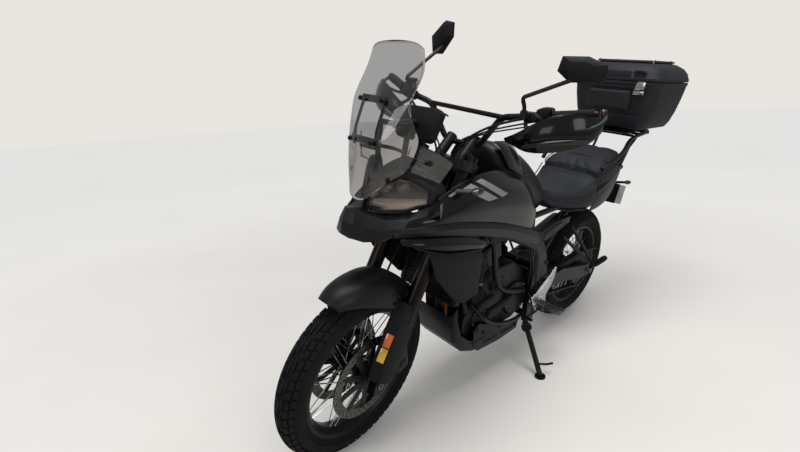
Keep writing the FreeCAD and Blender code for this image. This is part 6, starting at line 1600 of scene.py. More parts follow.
def bolt_ring(x, z, radius, y, count, size=6.0):
    """Bolt heads round a cover, standing out along Y."""
    facing = rotated(-90 if y > 0 else 90, 'X')
    one = bolt(placed_at(x + radius, y, z) @ facing, size * MM, 0.8 * size * MM)
    return copied(one, around(count, 'Y', 0.2, Vector((x, 0, z)) * MM))


def spring(start, end, radius, wire, coils, sides=8, per_turn=14):
    """A coil spring between two points; lengths in millimetres."""
    way = Vector(end) - Vector(start)
    turn = way.to_track_quat('Z', 'Y').to_matrix().to_4x4()
    steps = int(coils * per_turn)
    points = []
    for k in range(steps + 1):
        angle = math.tau * k / per_turn
        points.append(Vector((radius * math.cos(angle), radius * math.sin(angle), way.length * k / steps)))
    return laid(pipe([Matrix.Translation(Vector(start)) @ turn @ point for point in points], wire, sides, flat=True),
                TO_METRES)


def tube_mm(points, radius, sides=12, order=3):
    """A round tube; lengths in millimetres."""
    return pipe(line_mm(points), radius * MM, sides, order)


def closed_loft(rings):
    """A closed body through rings of points, ended in a pole at each end ring's middle; lengths in millimetres."""
    ends = [[sum((Vector(point) for point in ring), Vector()) / len(ring)] * len(ring)
            for ring in (rings[0], rings[-1])]
    return surface_of(mm([ends[0]] + rings + [ends[1]]), closed=True)


class MOTO_OT_engine(bpy.types.Operator):
    """Adds the engine: cases, cylinders, covers with bolts, oil filter, throttles and hoses"""
    bl_idname = "moto.engine"
    bl_label = "Engine"

    def execute(self, context):
        case = slab([(572, 330), (596, 276), (650, 252), (900, 250), (968, 268), (1008, 316), (1004, 372), (962, 452),
                     (900, 520), (812, 556), (690, 556), (612, 506), (576, 430)], -98, 98, 9)
        parting = slab([(566, 330), (592, 270), (648, 246), (902, 244), (972, 262), (1014, 314), (1010, 374),
                        (966, 456), (902, 526), (812, 562), (688, 562), (606, 510), (570, 432)], -5, 5, 1.2)
        lean = Matrix.Translation((850, 0, 500)) @ rotated(18, 'Y')
        block = slab([(-76, -20), (78, -20), (78, 96), (-76, 96)], -92, 92, 6, lean)
        head = slab([(-88, 92), (90, 92), (94, 172), (84, 184), (-80, 184), (-92, 170)], -103, 103, 7, lean)
        cam_cover = slab([(-78, 182), (78, 182), (74, 232), (52, 250), (-50, 250), (-74, 230)], -97, 97, 12, lean)
        webs = [slab([(-70, 60), (70, 60), (70, 66), (-70, 66)], -99, 99, 1.2,
                     lean @ Matrix.Translation((0, 0, -k * 18))) for k in range(4)]
        humps = [cover(0, 0, 22, 226, 262, 24) for _ in range(2)]
        for hump, across in zip(humps, (-48, 48)):
            hump.data.transform(TO_METRES @ lean @ Matrix.Scale(1000, 4) @ placed_at(0, across, 0) @ rotated(90, 'X'))
        body = joined(case, parting, block, head, cam_cover, *webs, *humps)
        on_bike(body, "engine_cases", "cast_black", "engine_black", ("engine",))

        left = [cover(880, 352, 74, 90, 118), slab([(566, 372), (590, 300), (640, 286), (704, 300), (742, 352),
                                                    (728, 424), (664, 452), (600, 436)], 92, 113, 7)]
        left += [cover(770, 470, 40, 90, 108, 28), slab([(760, 300), (800, 286), (820, 330), (786, 352)], 92, 106, 4),
                 slab([(930, 430), (972, 440), (988, 400), (950, 392)], 90, 104, 4)]
        right = [cover(0, 0, 84, 92, 118), cover(0, 0, 50, 92, 110), cover(0, 0, 36, 92, 108)]
        for piece, (x, z) in zip(right, ((724, 382), (868, 326), (930, 410))):
            piece.data.transform(placed_at(x, 0, z))
        right = copied(joined(*right), (MIRROR,))
        on_bike(joined(right, *left), "engine_covers", "cast_black", "engine_black")
        screws = [bolt_ring(880, 352, 66, 104, 8), bolt_ring(770, 470, 34, 101, 5, 5),
                  bolt_ring(724, 382, 76, -104, 9), bolt_ring(868, 326, 44, -102, 6, 5)]
        facing = rotated(-90, 'X')
        screws += [bolt(placed_at(x, 112, z) @ facing, 0.0055, 0.005)
                   for x, z in ((584, 372), (606, 312), (690, 312), (728, 352), (716, 414), (606, 424))]
        on_bike(joined(*screws), "engine_screws", "plated", "engine_black")

        filter_can = laid(turned([(0, 0), (26, 0), (30, 3), (31, 12), (31, 58), (29, 66), (22, 70), (0, 70)], 32),
                          placed_at(992, 34, 318) @ rotated(-90, 'Z') @ TO_METRES)
        plug = bolt(placed_at(960, -60, 262) @ rotated(120, 'Y'), 0.010, 0.008)
        starter = laid(turned([(0, -84), (27, -84), (31, -78), (31, 30), (26, 40), (0, 40)], 28),
                       placed_at(686, 0, 580) @ TO_METRES)
        on_bike(joined(filter_can, starter, plug), "oil_filter_and_starter", "gloss_black", "engine_black")
        bodies = [laid(turned([(0, 0), (27, 0), (31, 4), (31, 30), (27, 36), (27, 70), (34, 76), (34, 92), (0, 92)],
                              28), placed_at(836, across, 676) @ rotated(-62, 'Y') @ rotated(90, 'Z') @ TO_METRES)
                  for across in (-44, 44)]
        airbox = slab([(650, 700), (770, 716), (800, 770), (700, 790), (600, 752)], -74, 74, 10)
        on_bike(joined(airbox, *bodies), "throttles_and_airbox", "moulded_black", "engine_black")
        hoses = [tube_mm([(1046, 120, 700), (1000, 132, 690), (960, 128, 640), (948, 112, 560), (930, 100, 510)], 14),
                 tube_mm([(1052, -110, 540), (1010, -124, 500), (980, -116, 450), (950, -100, 430)], 14),
                 tube_mm([(770, 100, 700), (742, 112, 640), (700, 110, 590), (664, 96, 560)], 5, 8),
                 tube_mm([(930, 92, 640), (890, 120, 590), (850, 116, 520), (846, 104, 470)], 5, 8),
                 tube_mm([(980, 84, 640), (964, 116, 560), (900, 124, 470), (876, 110, 440)], 4, 8)]
        clips = [laid(turned([(14.2, -4), (15.6, -4), (15.6, 4), (14.2, 4), (14.2, -4)], 20),
                      placed_at(x, y, z) @ rotated(a, 'Y') @ rotated(90, 'Z') @ TO_METRES)
                 for x, y, z, a in ((1030, 126, 697, 10), (940, 106, 536, 70), (1040, -116, 528, 30),
                                    (962, -106, 438, 30))]
        on_bike(joined(*hoses), "coolant_hoses_and_wires", "rubber", "grip_rubber")
        on_bike(joined(*clips), "hose_clips", "plated", "grip_rubber")
        return {'FINISHED'}


class MOTO_OT_radiator(bpy.types.Operator):
    """Adds the radiator: finned core, end tanks, frame and guard of slanted bars"""
    bl_idname = "moto.radiator"
    bl_label = "Radiator"

    def execute(self, context):
        tilt = placed_at(1095, 0, 625) @ rotated(-14, 'Y')
        # the core is a flat plate; its fins are a bump, with painted shade between them and painted light on their
        # edges
        core = laid(plate([(-132, -108), (132, -108), (132, 108), (-132, 108)], -9, 9, 1.0, 'YZ'), TO_METRES)
        ready(core, "radiator_core", "fins", "chassis", "radiator_fins", BIKE @ tilt, ("radiator",))
        tanks = [plate([(side * 128, -120), (side * 150, -112), (side * 150, 112), (side * 128, 120)], -15, 15, 4,
                       'YZ') for side in (-1, 1)]
        rails = [plate([(-134, z - 5), (134, z - 5), (134, z + 5), (-134, z + 5)], -14, 14, 2, 'YZ')
                 for z in (-113, 113)]
        bars = [plate([(-128, z), (128, z), (128, z + 3), (-128, z + 3)], 11, 15, 1, 'YZ')
                for z in range(-100, 101, 14)]
        posts = [plate([(y, -112), (y + 4, -112), (y + 4, 112), (y, 112)], 12, 17, 1, 'YZ') for y in (-66, -2, 62)]
        frame_piece = laid(joined(*tanks, *rails, *bars, *posts), TO_METRES)
        shroud = laid(turned([(86, -14), (94, -14), (98, -36), (92, -36), (86, -20), (86, -14)], 40),
                      rotated(-90, 'Z') @ TO_METRES)
        ready(joined(frame_piece, shroud), "radiator_frame", "moulded_black", "chassis", "radiator_fins", BIKE @ tilt)
        return {'FINISHED'}


class MOTO_OT_exhaust(bpy.types.Operator):
    """Adds the header pipes with flanges, the collector, the silencer and its shield"""
    bl_idname = "moto.exhaust"
    bl_label = "Exhaust"

    def execute(self, context):
        heads = []
        for across in (-42, 42):
            heads.append(tube_mm([(944, across, 600), (1010, across, 596), (1062, across, 560),
                                  (1072, across * 0.9, 470), (1050, across * 0.8, 330), (1000, across * 0.6, 254),
                                  (900, across * 0.4 - 6, 232), (800, across * 0.3 - 12, 232)], 19, 20, 4))
            flange = laid(turned([(20, -5), (34, -5), (34, 5), (20, 5), (20, -5)], 24),
                          placed_at(950, across, 600) @ rotated(90, 'Z') @ TO_METRES)
            heads.append(flange)
        on_bike(joined(*heads), "exhaust_header_pipes", "header_steel", "exhaust_steel", ("exhaust_headers",))
        collector = slab([(620, 212), (820, 208), (850, 226), (850, 256), (820, 268), (640, 268), (600, 244)], -70,
                         44, 14)
        link = tube_mm([(640, -50, 240), (560, -110, 256), (480, -150, 290), (380, -180, 330), (250, -192, 352),
                        (120, -198, 368)], 26, 20, 4)
        on_bike(joined(collector, link), "exhaust_collector", "black_steel", "exhaust_steel")
        axis = placed_at(-70, -206, 400) @ rotated(15, 'Y')
        rows = [[(x, wide * math.copysign(abs(math.cos(math.tau * k / 28)) ** 0.8, math.cos(math.tau * k / 28)),
                  high * math.copysign(abs(math.sin(math.tau * k / 28)) ** 0.8, math.sin(math.tau * k / 28)))
                 for k in range(28)]
                for x, high, wide in ((196, 26, 24), (188, 36, 32), (150, 52, 44), (60, 58, 50), (-120, 60, 52),
                                      (-176, 58, 50), (-190, 50, 42))]
        can = closed_loft(rows)
        cap = laid(turned([(0, -172), (16, -172), (17, -196), (22, -196), (24, -180), (40, -184), (46, -176)], 28),
                   rotated(-90, 'Z') @ TO_METRES)
        ready(joined(can, cap), "silencer_body", "black_steel", "chassis", "silencer_steel", BIKE @ axis,
              ("silencer",))
        shield = surface_of(mm([[(x, -(48 + lift) * math.cos(math.radians(a)),
                                  (56 + lift) * math.sin(math.radians(a))) for a in range(-32, 62, 8)]
                                for x, lift in ((150, -4), (130, 5), (20, 6), (-110, 6), (-140, 2))]))
        outward(shield, Vector())
        shaped(shield, 'SOLIDIFY', thickness=0.002, offset=-1.0)
        screws = [bolt(placed_at(x, -50, 20) @ rotated(110, 'X'), 0.006, 0.004) for x in (118, -98)]
        ready(joined(shield, *screws), "silencer_shield", "satin_black", "chassis", "silencer_steel", BIKE @ axis)
        return {'FINISHED'}


class MOTO_OT_skid_plate(bpy.types.Operator):
    """Adds the folded skid plate with its side wings, ribs and bolts"""
    bl_idname = "moto.skid_plate"
    bl_label = "Skid plate"

    def execute(self, context):
        profile = [(1104, 440), (1096, 380), (1066, 300), (1010, 236), (940, 204), (780, 192), (640, 200)]
        rows = []
        for x, z in profile:
            low = 1.0 if x < 1000 else 0.0
            rise = 46 if x > 1060 else 60
            rows.append([(x - 14, -132, z + rise), (x - 4, -124, z + 16), (x, -104, z), (x, -40, z - 4 * low),
                         (x, 40, z - 4 * low), (x, 104, z), (x - 4, 124, z + 16), (x - 14, 132, z + rise)])
        sheet = surface_of(mm(rows))
        outward(sheet, Vector((0.85, 0, 0.42)))
        shaped(sheet, 'SOLIDIFY', thickness=0.004, offset=-1.0)
        rounded(sheet, 0.003, 14)
        wing = slab([(960, 252), (972, 330), (940, 356), (860, 322), (790, 276), (640, 262), (646, 214), (780, 206),
                     (930, 216)], 128, 133, 1.5)
        ribs = [slab([(x, z), (x + 90, z + 4), (x + 88, z + 12), (x, z + 8)], 132, 135.5, 1.2)
                for x, z in ((680, 228), (800, 232), (880, 262))]
        facing = rotated(-90, 'X')
        screws = [bolt(placed_at(x, 133, z) @ facing, 0.0095, 0.005) for x, z in ((952, 330), (904, 300), (664, 240))]
        on_bike(joined(sheet, both_sides(joined(wing, *ribs))), "skid_plate_shell", "satin_black", "black_alloy",
                ("skid_plate",))
        on_bike(both_sides(joined(*screws)), "skid_plate_bolts", "black_steel", "black_alloy")
        return {'FINISHED'}


class MOTO_OT_frame_details(bpy.types.Operator):
    """Adds the side tubes, pivot plates, engine pads, side covers, swingarm arms and chain guard"""
    bl_idname = "moto.frame_details"
    bl_label = "Frame details"

    def execute(self, context):
        tubes = [tube_mm([(930, 110, 770), (895, 124, 700), (884, 128, 622), (860, 132, 540),
                          (820, 134, 470), (700, 132, 424), (624, 126, 402)], 11),
                 tube_mm([(972, 104, 448), (958, 130, 418), (900, 142, 352), (800, 140, 300), (660, 132, 262),
                          (606, 118, 258)], 10)]
        gussets = [slab([(640, 610), (600, 520), (596, 430), (560, 350), (548, 300), (500, 290), (452, 352),
                         (440, 440), (470, 540), (520, 620), (590, 660), (650, 668)], 124, 130, 2)]
        gussets.append(slab([(628, 600), (590, 520), (584, 440), (556, 380), (500, 400), (470, 450), (500, 560),
                             (560, 630), (620, 648)], 129, 136, 3))
        bosses = [cover(512, 402, 26, 128, 144, 28), cover(604, 588, 14, 128, 141, 20),
                  cover(470, 500, 12, 128, 141, 20), cover(548, 322, 12, 126, 139, 20)]
        on_bike(both_sides(joined(*tubes, *gussets, *bosses)), "frame_tubes_and_plates", "frame_coat",
                "black_frame_paint")
        pads = [slab([(988, 446), (976, 470), (884, 486), (872, 468), (966, 432)], 134, 154, 5),
                slab([(926, 396), (916, 420), (756, 440), (744, 420), (906, 378)], 138, 160, 5)]
        on_bike(both_sides(joined(*pads)), "engine_guard_pads", "moulded_black", "matt_black_plastic")
        box = slab([(540, 662), (420, 690), (296, 694), (300, 660), (440, 628), (486, 612), (536, 626)], 104, 126, 4)
        lid = slab([(528, 652), (430, 676), (372, 680), (378, 656), (450, 640), (520, 632)], 125, 131, 2)
        on_bike(both_sides(joined(box, lid)), "side_covers", "satin_black", "matt_black_plastic")
        arms = [slab([(560, 372), (560, 430), (470, 436), (300, 392), (60, 352), (-30, 344), (-52, 334),
                      (-52, 308), (-20, 298), (60, 300), (300, 338), (480, 356)], 112, 136, 7),
                slab([(34, 340), (-44, 340), (-44, 302), (34, 302)], 136, 141, 2)]
        on_bike(both_sides(joined(*arms)), "swingarm_beams", "frame_coat", "black_alloy")
        guard = slab([(560, 452), (300, 424), (60, 440), (-110, 420), (-112, 410), (60, 430), (300, 412), (560, 440)],
                     84, 118, 3)
        rim = slab([(560, 446), (300, 418), (60, 434), (56, 404), (300, 390), (556, 412)], 114, 118, 1.5)
        on_bike(joined(guard, rim), "chain_guard", "moulded_black", "matt_black_plastic")
        return {'FINISHED'}


FRONT_SPROCKET, REAR_SPROCKET = 38.2, 106.2  # pitch radii in millimetres
CHAIN_PITCH = 15.875  # from pin to pin, in millimetres


def chain_places():
    """Each link's middle and slope along the chain's round of both sprockets, in the bike's frame."""
    front, rear, small, large = Vector((585, 0, 355)), Vector((0, 0, 321)), FRONT_SPROCKET, REAR_SPROCKET
    run = front - rear
    slope, lift = math.atan2(run.z, run.x), math.acos((large - small) / run.length)
    reach = math.sqrt(run.length ** 2 - (large - small) ** 2)
    around_rear, around_front = large * (math.tau - 2 * lift), small * 2 * lift
    whole = 2 * reach + around_rear + around_front
    count = round(whole / CHAIN_PITCH / 2) * 2
    places = []
    for number in range(count):
        along = whole * number / count
        if along < around_rear:
            angle = slope + lift + along / large
            spot, heading = rear + Vector((math.cos(angle), 0, math.sin(angle))) * large, angle + math.pi / 2
        elif along < around_rear + reach:
            angle = slope - lift
            start = rear + Vector((math.cos(angle), 0, math.sin(angle))) * large
            heading = angle + math.pi / 2
            spot = start + Vector((math.cos(heading), 0, math.sin(heading))) * (along - around_rear)
        elif along < around_rear + reach + around_front:
            angle = slope - lift + (along - around_rear - reach) / small
            spot, heading = front + Vector((math.cos(angle), 0, math.sin(angle))) * small, angle + math.pi / 2
        else:
            angle = slope + lift
            start = front + Vector((math.cos(angle), 0, math.sin(angle))) * small
            heading = angle + math.pi / 2
            spot = start + Vector((math.cos(heading), 0,
                                   math.sin(heading))) * (along - around_rear - reach - around_front)
        places.append((spot, heading))
    return places


class MOTO_OT_chain(bpy.types.Operator):
    """Adds the drive chain link by link and the shock absorber's spring"""
    bl_idname = "moto.chain"
    bl_label = "Chain and shock"

    def execute(self, context):
        waist = [(-12.0, 0), (-10.6, 5.2), (-7, 6.6), (0, 5.0), (7, 6.6), (10.6, 5.2), (12.0, 0), (10.6, -5.2),
                 (7, -6.6), (0, -5.0), (-7, -6.6), (-10.6, -5.2)]
        plates = [[plate(waist, a, a + 1.8, 0.4), plate(waist, b - 1.8, b, 0.4)]
                  for a, b in ((87, 105), (89.5, 102.5))]
        rollers = [turned([(0, 88), (5, 88), (5, 104), (0, 104)], 12)]
        rollers[0].data.transform(Matrix.Translation((CHAIN_PITCH / 2, 0, 0)))
        outer, inner = joined(*plates[0], rollers[0]), joined(*plates[1])
        spots = [Matrix.Translation(spot) @ Matrix.Rotation(-heading, 4, 'Y') for spot, heading in chain_places()]
        links = laid(joined(copied(outer, spots[::2]), copied(inner, spots[1::2])), TO_METRES)
        on_bike(links, "chain_of_links", "black_steel", "chain_steel", ("drive_chain",))
        top, low = Vector((560, 0, 494)), Vector((412, 0, 378))
        coil = spring(top + (low - top) * 0.12, top + (low - top) * 0.82, 26, 5.5, 7)
        on_bike(coil, "shock_spring", "black_steel", "black_alloy")
        return {'FINISHED'}


class MOTO_OT_foot_controls(bpy.types.Operator):
    """Adds heel guards, toothed footrests, gear and brake levers and the passenger footrests' rubbers"""
    bl_idname = "moto.foot_controls"
    bl_label = "Foot controls"

    def execute(self, context):
        heel = slab([(412, 470), (424, 476), (470, 440), (520, 408), (560, 384), (616, 368), (618, 352), (584, 334),
                     (590, 316), (560, 300), (520, 300), (486, 268), (462, 262), (450, 282), (470, 316), (474, 346),
                     (440, 380), (420, 420)], 158, 163, 2.5)
        ridge = slab([(420, 464), (472, 430), (520, 398), (572, 370), (566, 358), (512, 386), (462, 420), (426, 448)],
                     162, 166, 2)
        slot = slab([(500, 360), (540, 344), (532, 330), (494, 340)], 162, 165, 1.5)
        on_bike(both_sides(joined(heel, ridge, slot)), "heel_guards", "polished", "bare_alloy", ("rider_footrests",))
        base = plate([(-27, 0), (27, 0), (24, 88), (-24, 88)], -6, 6, 2.5, 'XY')
        teeth = copied(plate([(-2.6, 0), (2.6, 0), (2.6, 7), (-2.6, 7)], 6, 12, 0.8, 'XY'),
                       [Matrix.Translation((x, y, 0)) for x in (-20, 20) for y in range(8, 86, 13)])
        cross_teeth = copied(plate([(-18, 0), (18, 0), (18, 3), (-18, 3)], 5, 10, 0.8, 'XY'),
                             [Matrix.Translation((0, y, 0)) for y in range(14, 84, 13)])
        peg = laid(joined(base, teeth, cross_teeth), placed_at(474, 172, 280) @ rotated(6, 'X') @ TO_METRES)
        hanger = joined(peg, tube_mm([(474, 128, 278), (474, 176, 280)], 9),
                        slab([(450, 264), (500, 264), (504, 296), (446, 296)], 160, 176, 3))
        on_bike(both_sides(hanger), "rider_footpegs", "cast_bare", "bare_alloy")
        gear = joined(tube_mm([(520, 170, 300), (560, 176, 296), (620, 182, 300), (668, 184, 308), (676, 186, 310)],
                              5.5, 10), tube_mm([(676, 180, 310), (676, 222, 312)], 8, 12),
                      tube_mm([(600, 176, 304), (616, 170, 380), (622, 150, 400)], 4, 8))
        brake = joined(tube_mm([(520, -170, 300), (570, -180, 290), (640, -190, 296), (690, -196, 306)], 6, 10),
                       slab([(676, 300), (712, 306), (710, 314), (674, 310)], -222, -186, 2))
        on_bike(joined(gear, brake), "gear_and_brake_levers", "black_steel", "black_alloy")
        frame_bar = joined(tube_mm([(349, 132, 601), (250, 158, 520), (150, 182, 440), (96, 192, 398)], 9),
                           tube_mm([(283, 130, 640), (200, 158, 540), (130, 182, 450), (90, 192, 402)], 9),
                           slab([(112, 384), (112, 420), (70, 424), (66, 384)], 184, 206, 5))
        on_bike(both_sides(frame_bar), "passenger_hangers", "frame_coat", "black_alloy", ("passenger_footrests",))
        rubber = turned([(0, 0), (11, 0), (13, 3), (13, 76), (10, 80), (0, 80)], 20)
        ribs = copied(turned([(12.5, 0), (15, 1), (15, 5), (12.5, 6), (12.5, 0)], 20),
                      [Matrix.Translation((0, y, 0)) for y in range(10, 70, 12)])
        both = laid(joined(rubber, ribs), placed_at(92, 202, 402) @ rotated(52, 'X') @ TO_METRES)
        on_bike(both_sides(both), "passenger_pegs", "rubber", "grip_rubber")
        return {'FINISHED'}


# Seats, tail and luggage, upright in the bike's frame

FOAM_FRAMES = 20
FOAM_PRESSURE = 4.0


def foam(body, limit, voxel):
    """Fills a cover from inside: the cloth solver blows an even skin up, and no point goes past a limit."""
    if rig.quick():
        return body
    shaped(body, 'REMESH', mode='VOXEL', voxel_size=voxel, use_smooth_shade=True)
    before = [vertex.co.copy() for vertex in body.data.vertices]
    only(body)
    bpy.ops.object.modifier_add(type='CLOTH')
    skin = body.modifiers[-1]
    skin.settings.use_pressure = True
    skin.settings.uniform_pressure_force = FOAM_PRESSURE
    skin.settings.effector_weights.gravity = 0.0
    skin.settings.tension_stiffness = 25
    skin.settings.compression_stiffness = 25
    skin.settings.bending_stiffness = 2
    skin.point_cache.frame_start, skin.point_cache.frame_end = 1, FOAM_FRAMES
    for number in range(1, FOAM_FRAMES + 1):
        bpy.context.scene.frame_set(number)
    bpy.ops.object.modifier_apply(modifier=skin.name)
    bpy.context.scene.frame_set(1)
    for vertex, start in zip(body.data.vertices, before):
        shift = vertex.co - start
        if shift.length > limit:
            vertex.co = start + shift * (limit / shift.length)
    return shaped(body, 'SUBSURF', levels=1, render_levels=1)


SEAM = 4  # which point of a seat's section carries the seam


def seat_ring(x, top, low, wide, foot, crown=5):
    """One section of a seat: crowned top, a rounded shoulder with its seam, and sides drawn in to the base."""
    half = [(0, top), (0.34 * wide, top - 0.15 * crown), (0.62 * wide, top - 0.6 * crown),
            (0.84 * wide, top - 1.7 * crown), (0.96 * wide, top - 18), (wide, top - 34),
            (0.985 * wide + 0.015 * foot, 0.5 * (top - 34) + 0.5 * low), (foot, low + 10), (foot - 10, low),
            (0.4 * foot, low)]
    return [(x, y, z) for y, z in half] + [(x, -y, z) for y, z in reversed(half) if y > 0]


class MOTO_OT_seats(bpy.types.Operator):
    """Adds the rider's and the passenger's seats: foam pads in sewn vinyl with piping along the seams"""
    bl_idname = "moto.seats"
    bl_label = "Seats"

    def execute(self, context):
        rider = [seat_ring(*row)
                 for row in ((502, 858, 806, 62, 52, 3), (486, 852, 786, 76, 66), (460, 838, 768, 90, 84),
                             (428, 824, 752, 102, 98), (384, 814, 738, 116, 112), (330, 811, 728, 134, 130),
                             (272, 814, 722, 150, 146), (222, 822, 720, 162, 154), (186, 834, 719, 168, 157),
                             (164, 852, 720, 168, 157), (152, 876, 724, 164, 154), (147, 896, 732, 156, 148))]
        passenger = [seat_ring(*row)
                     for row in ((141, 893, 812, 140, 134, 3), (134, 904, 806, 151, 146), (112, 915, 804, 158, 152),
                                 (70, 929, 803, 161, 155), (20, 941, 804, 159, 152), (-36, 951, 807, 150, 144),
                                 (-88, 959, 812, 138, 132), (-126, 965, 820, 126, 120), (-145, 962, 832, 114, 106))]
        for name, rings, node in (("rider_seat_pad", rider, "rider_seat"),
                                  ("passenger_seat_pad", passenger, "passenger_seat")):
            pad = closed_loft(rings)
            foam(pad, 0.007, 0.005)
            on_bike(pad, name, "vinyl", "seat_vinyl", (node,), smooth=60, padded=0.8)
            edge = [ring[SEAM] for ring in rings]
            piping = []
            for side in (1, -1):
                line = [Vector((x, side * (y + 3.0), z + 2.0)) * MM for x, y, z in edge]
                piping.append(pipe(line, 0.0028, 8, 3))
            on_bike(joined(*piping), name.replace("pad", "piping"), "vinyl_dark", "seat_vinyl")
        step = [Vector((146, y, 898 - 0.00055 * y * y)) * MM for y in range(-138, 139, 12)]
        strap = pipe([Vector((58, y, 942 - 0.0008 * y * y)) * MM
                      for y in (-159, -140, -90, -30, 30, 90, 140, 159)], 0.0026, 8, 3)
        on_bike(joined(pipe(step, 0.0028, 8, 3), strap), "seat_cross_seams", "vinyl_dark", "seat_vinyl")
        base = closed_loft([[(x, y, z) for y, z in ((0, low), (foot, low), (foot + 4, low + 9), (0, low + 9))]
                            + [(x, -foot - 4, low + 9), (x, -foot, low)] for x, low, foot in (
                                (494, 776, 60), (428, 744, 92), (330, 720, 124), (222, 712, 148), (150, 720, 140),
                                (128, 796, 140), (20, 796, 146), (-88, 804, 126), (-142, 824, 100))])
        on_bike(base, "seat_base", "moulded_black", "matt_black_plastic")
        return {'FINISHED'}


TAIL_SIDE = [
    [(150, 146, 812), (150, 152, 780), (152, 152, 730), (158, 148, 694)],
    [(96, 152, 832), (96, 160, 796), (98, 158, 742), (104, 150, 696)],
    [(30, 153, 862), (30, 162, 822), (30, 158, 760), (30, 146, 702)],
    [(-40, 146, 892), (-40, 156, 848), (-42, 150, 786), (-44, 138, 714)],
    [(-110, 134, 908), (-110, 144, 866), (-112, 138, 806), (-114, 124, 736)],
    [(-172, 118, 902), (-174, 128, 866), (-176, 122, 818), (-178, 108, 764)],
    [(-212, 98, 884), (-214, 106, 858), (-214, 102, 828), (-214, 92, 796)]]
TAIL_BLADE = [
    [(140, 152, 800), (140, 158, 788), (140, 152, 774)],
    [(60, 160, 834), (60, 168, 818), (60, 160, 800)],
    [(-40, 154, 878), (-40, 163, 858), (-40, 154, 838)],
    [(-130, 138, 902), (-130, 146, 884), (-130, 136, 862)],
    [(-196, 112, 892), (-198, 118, 878), (-198, 110, 864)]]


class MOTO_OT_tail(bpy.types.Operator):
    """Adds the tail panels, the tail lamp and the plate holder with its blank plate"""
    bl_idname = "moto.tail"
    bl_label = "Tail"

    def execute(self, context):
        sides = joined(panel(TAIL_SIDE, 0.003, 2, 0.001), panel(TAIL_BLADE, 0.003, 2, 0.001))
        on_bike(both_sides(sides), "tail_side_panels", "satin_black", "matt_black_plastic", ("tail_panels",))
        under = closed_loft([[(x, -w, a), (x, -w * 0.8, a - d), (x, w * 0.8, a - d),
                              (x, w, a), (x, w * 0.9, a + 14), (x, -w * 0.9, a + 14)]
                             for x, w, a, d in ((110, 96, 716, 12), (0, 100, 738, 14), (-120, 92, 770, 14),
                                                (-214, 78, 806, 12), (-248, 62, 826, 8))])
        on_bike(under, "undertail_tray", "moulded_black", "matt_black_plastic")

        housing = closed_loft([[(x, -w, z - h), (x, w, z - h), (x, w + 6, z),
                                (x, w - 4, z + h), (x, -w + 4, z + h), (x, -w - 6, z)]
                               for x, w, z, h in ((-220, 60, 860, 20), (-256, 56, 862, 20), (-272, 50, 863, 17))])
        on_bike(housing, "tail_lamp_housing", "moulded_black", "matt_black_plastic")
        glow = closed_loft([[(x, -w, z - h), (x, 0, z - h - 3), (x, w, z - h), (x, w + 5, z),
                             (x, w - 4, z + h), (x, 0, z + h + 3), (x, -w + 4, z + h), (x, -w - 5, z)]
                            for x, w, z, h in ((-266, 48, 863, 15), (-279, 44, 863, 13), (-285, 30, 863, 8))])
        on_bike(glow, "tail_lamp_lens", "red", "red_lens", ("tail_lamp",))
        arm = closed_loft([[(x, -w, z), (x, w, z), (x, w * 0.8, z + 16), (x, -w * 0.8, z + 16)] for x, z, w in (
            (-214, 806, 52), (-262, 794, 44), (-318, 764, 36), (-352, 728, 38), (-368, 690, 44), (-376, 650, 44))])
        backing = slab([(0, 0), (8, 0), (8, 116), (0, 116)], -52, 52, 2,
                       Matrix.Translation((-386, 0, 606)) @ rotated(-14, 'Y'))
        lamp = slab([(0, 0), (22, -4), (26, 10), (0, 12)], -30, 30, 2,
                    Matrix.Translation((-376, 0, 726)) @ rotated(-14, 'Y'))
        on_bike(joined(arm, backing, lamp), "plate_arm", "moulded_black", "matt_black_plastic", ("plate_holder",))
        blank = slab([(-1.5, 3), (0, 3), (0, 113), (-1.5, 113)], -84, 84, 0.5,
                     Matrix.Translation((-389, 0, 606)) @ rotated(-14, 'Y'))
        on_bike(blank, "blank_number_plate", "white_lens", "matt_black_plastic")
        return {'FINISHED'}


class MOTO_OT_rack(bpy.types.Operator):
    """Adds the grab rails, the rear rack with its plate and the struts below"""
    bl_idname = "moto.rack"
    bl_label = "Rack"

    def execute(self, context):
        side = [tube_mm([(138, 158, 906), (112, 168, 922), (40, 172, 946), (-60, 166, 976), (-150, 140, 1006),
                         (-240, 128, 1024), (-400, 118, 1030), (-500, 104, 1032), (-520, 70, 1033)], 10, 16, 3),
                tube_mm([(40, 150, 872), (0, 160, 900), (-60, 160, 938), (-96, 156, 968), (-108, 154, 984)], 8),
                tube_mm([(-120, 136, 890), (-160, 132, 930), (-200, 130, 980), (-214, 129, 1016)], 8),
                tube_mm([(-200, 80, 880), (-260, 88, 930), (-330, 100, 990), (-346, 106, 1022)], 7)]
        rails = both_sides(joined(*side))
        bars = [tube_mm([(x, -126, 1030), (x, -60, 1032), (x, 60, 1032), (x, 126, 1030)], 7)
                for x in (-230, -330, -440)]
        bars.append(tube_mm([(-519, -72, 1033), (-522, 0, 1033), (-519, 72, 1033)], 10))
        deck = slab([(-200, 1040), (-206, 1046), (-500, 1050), (-506, 1044), (-480, 1038), (-220, 1034)], -92, 92, 2)
        ribs = [slab([(-220, 1047), (-486, 1051), (-486, 1055), (-220, 1051)], y - 5, y + 5, 1.2)
                for y in (-72, -36, 0, 36, 72)]
        feet = copied(cover(0, 0, 12, 0, 10, 20),
                      [placed_at(x, y, 1046) @ rotated(90, 'X') for x in (-240, -460) for y in (-56, 56)])
        on_bike(joined(rails, *bars, deck, *ribs, feet), "rack_tubes", "frame_coat", "black_alloy", ("luggage_rack",))
        return {'FINISHED'}


PAD_OUTLINE = [(-116, -50), (-60, -52), (0, -52), (60, -52), (106, -50), (114, -42), (116, 0), (114, 42), (106, 50),
               (60, 52), (0, 52), (-60, 52), (-106, 50), (-114, 42), (-116, 0), (-116, -42)]


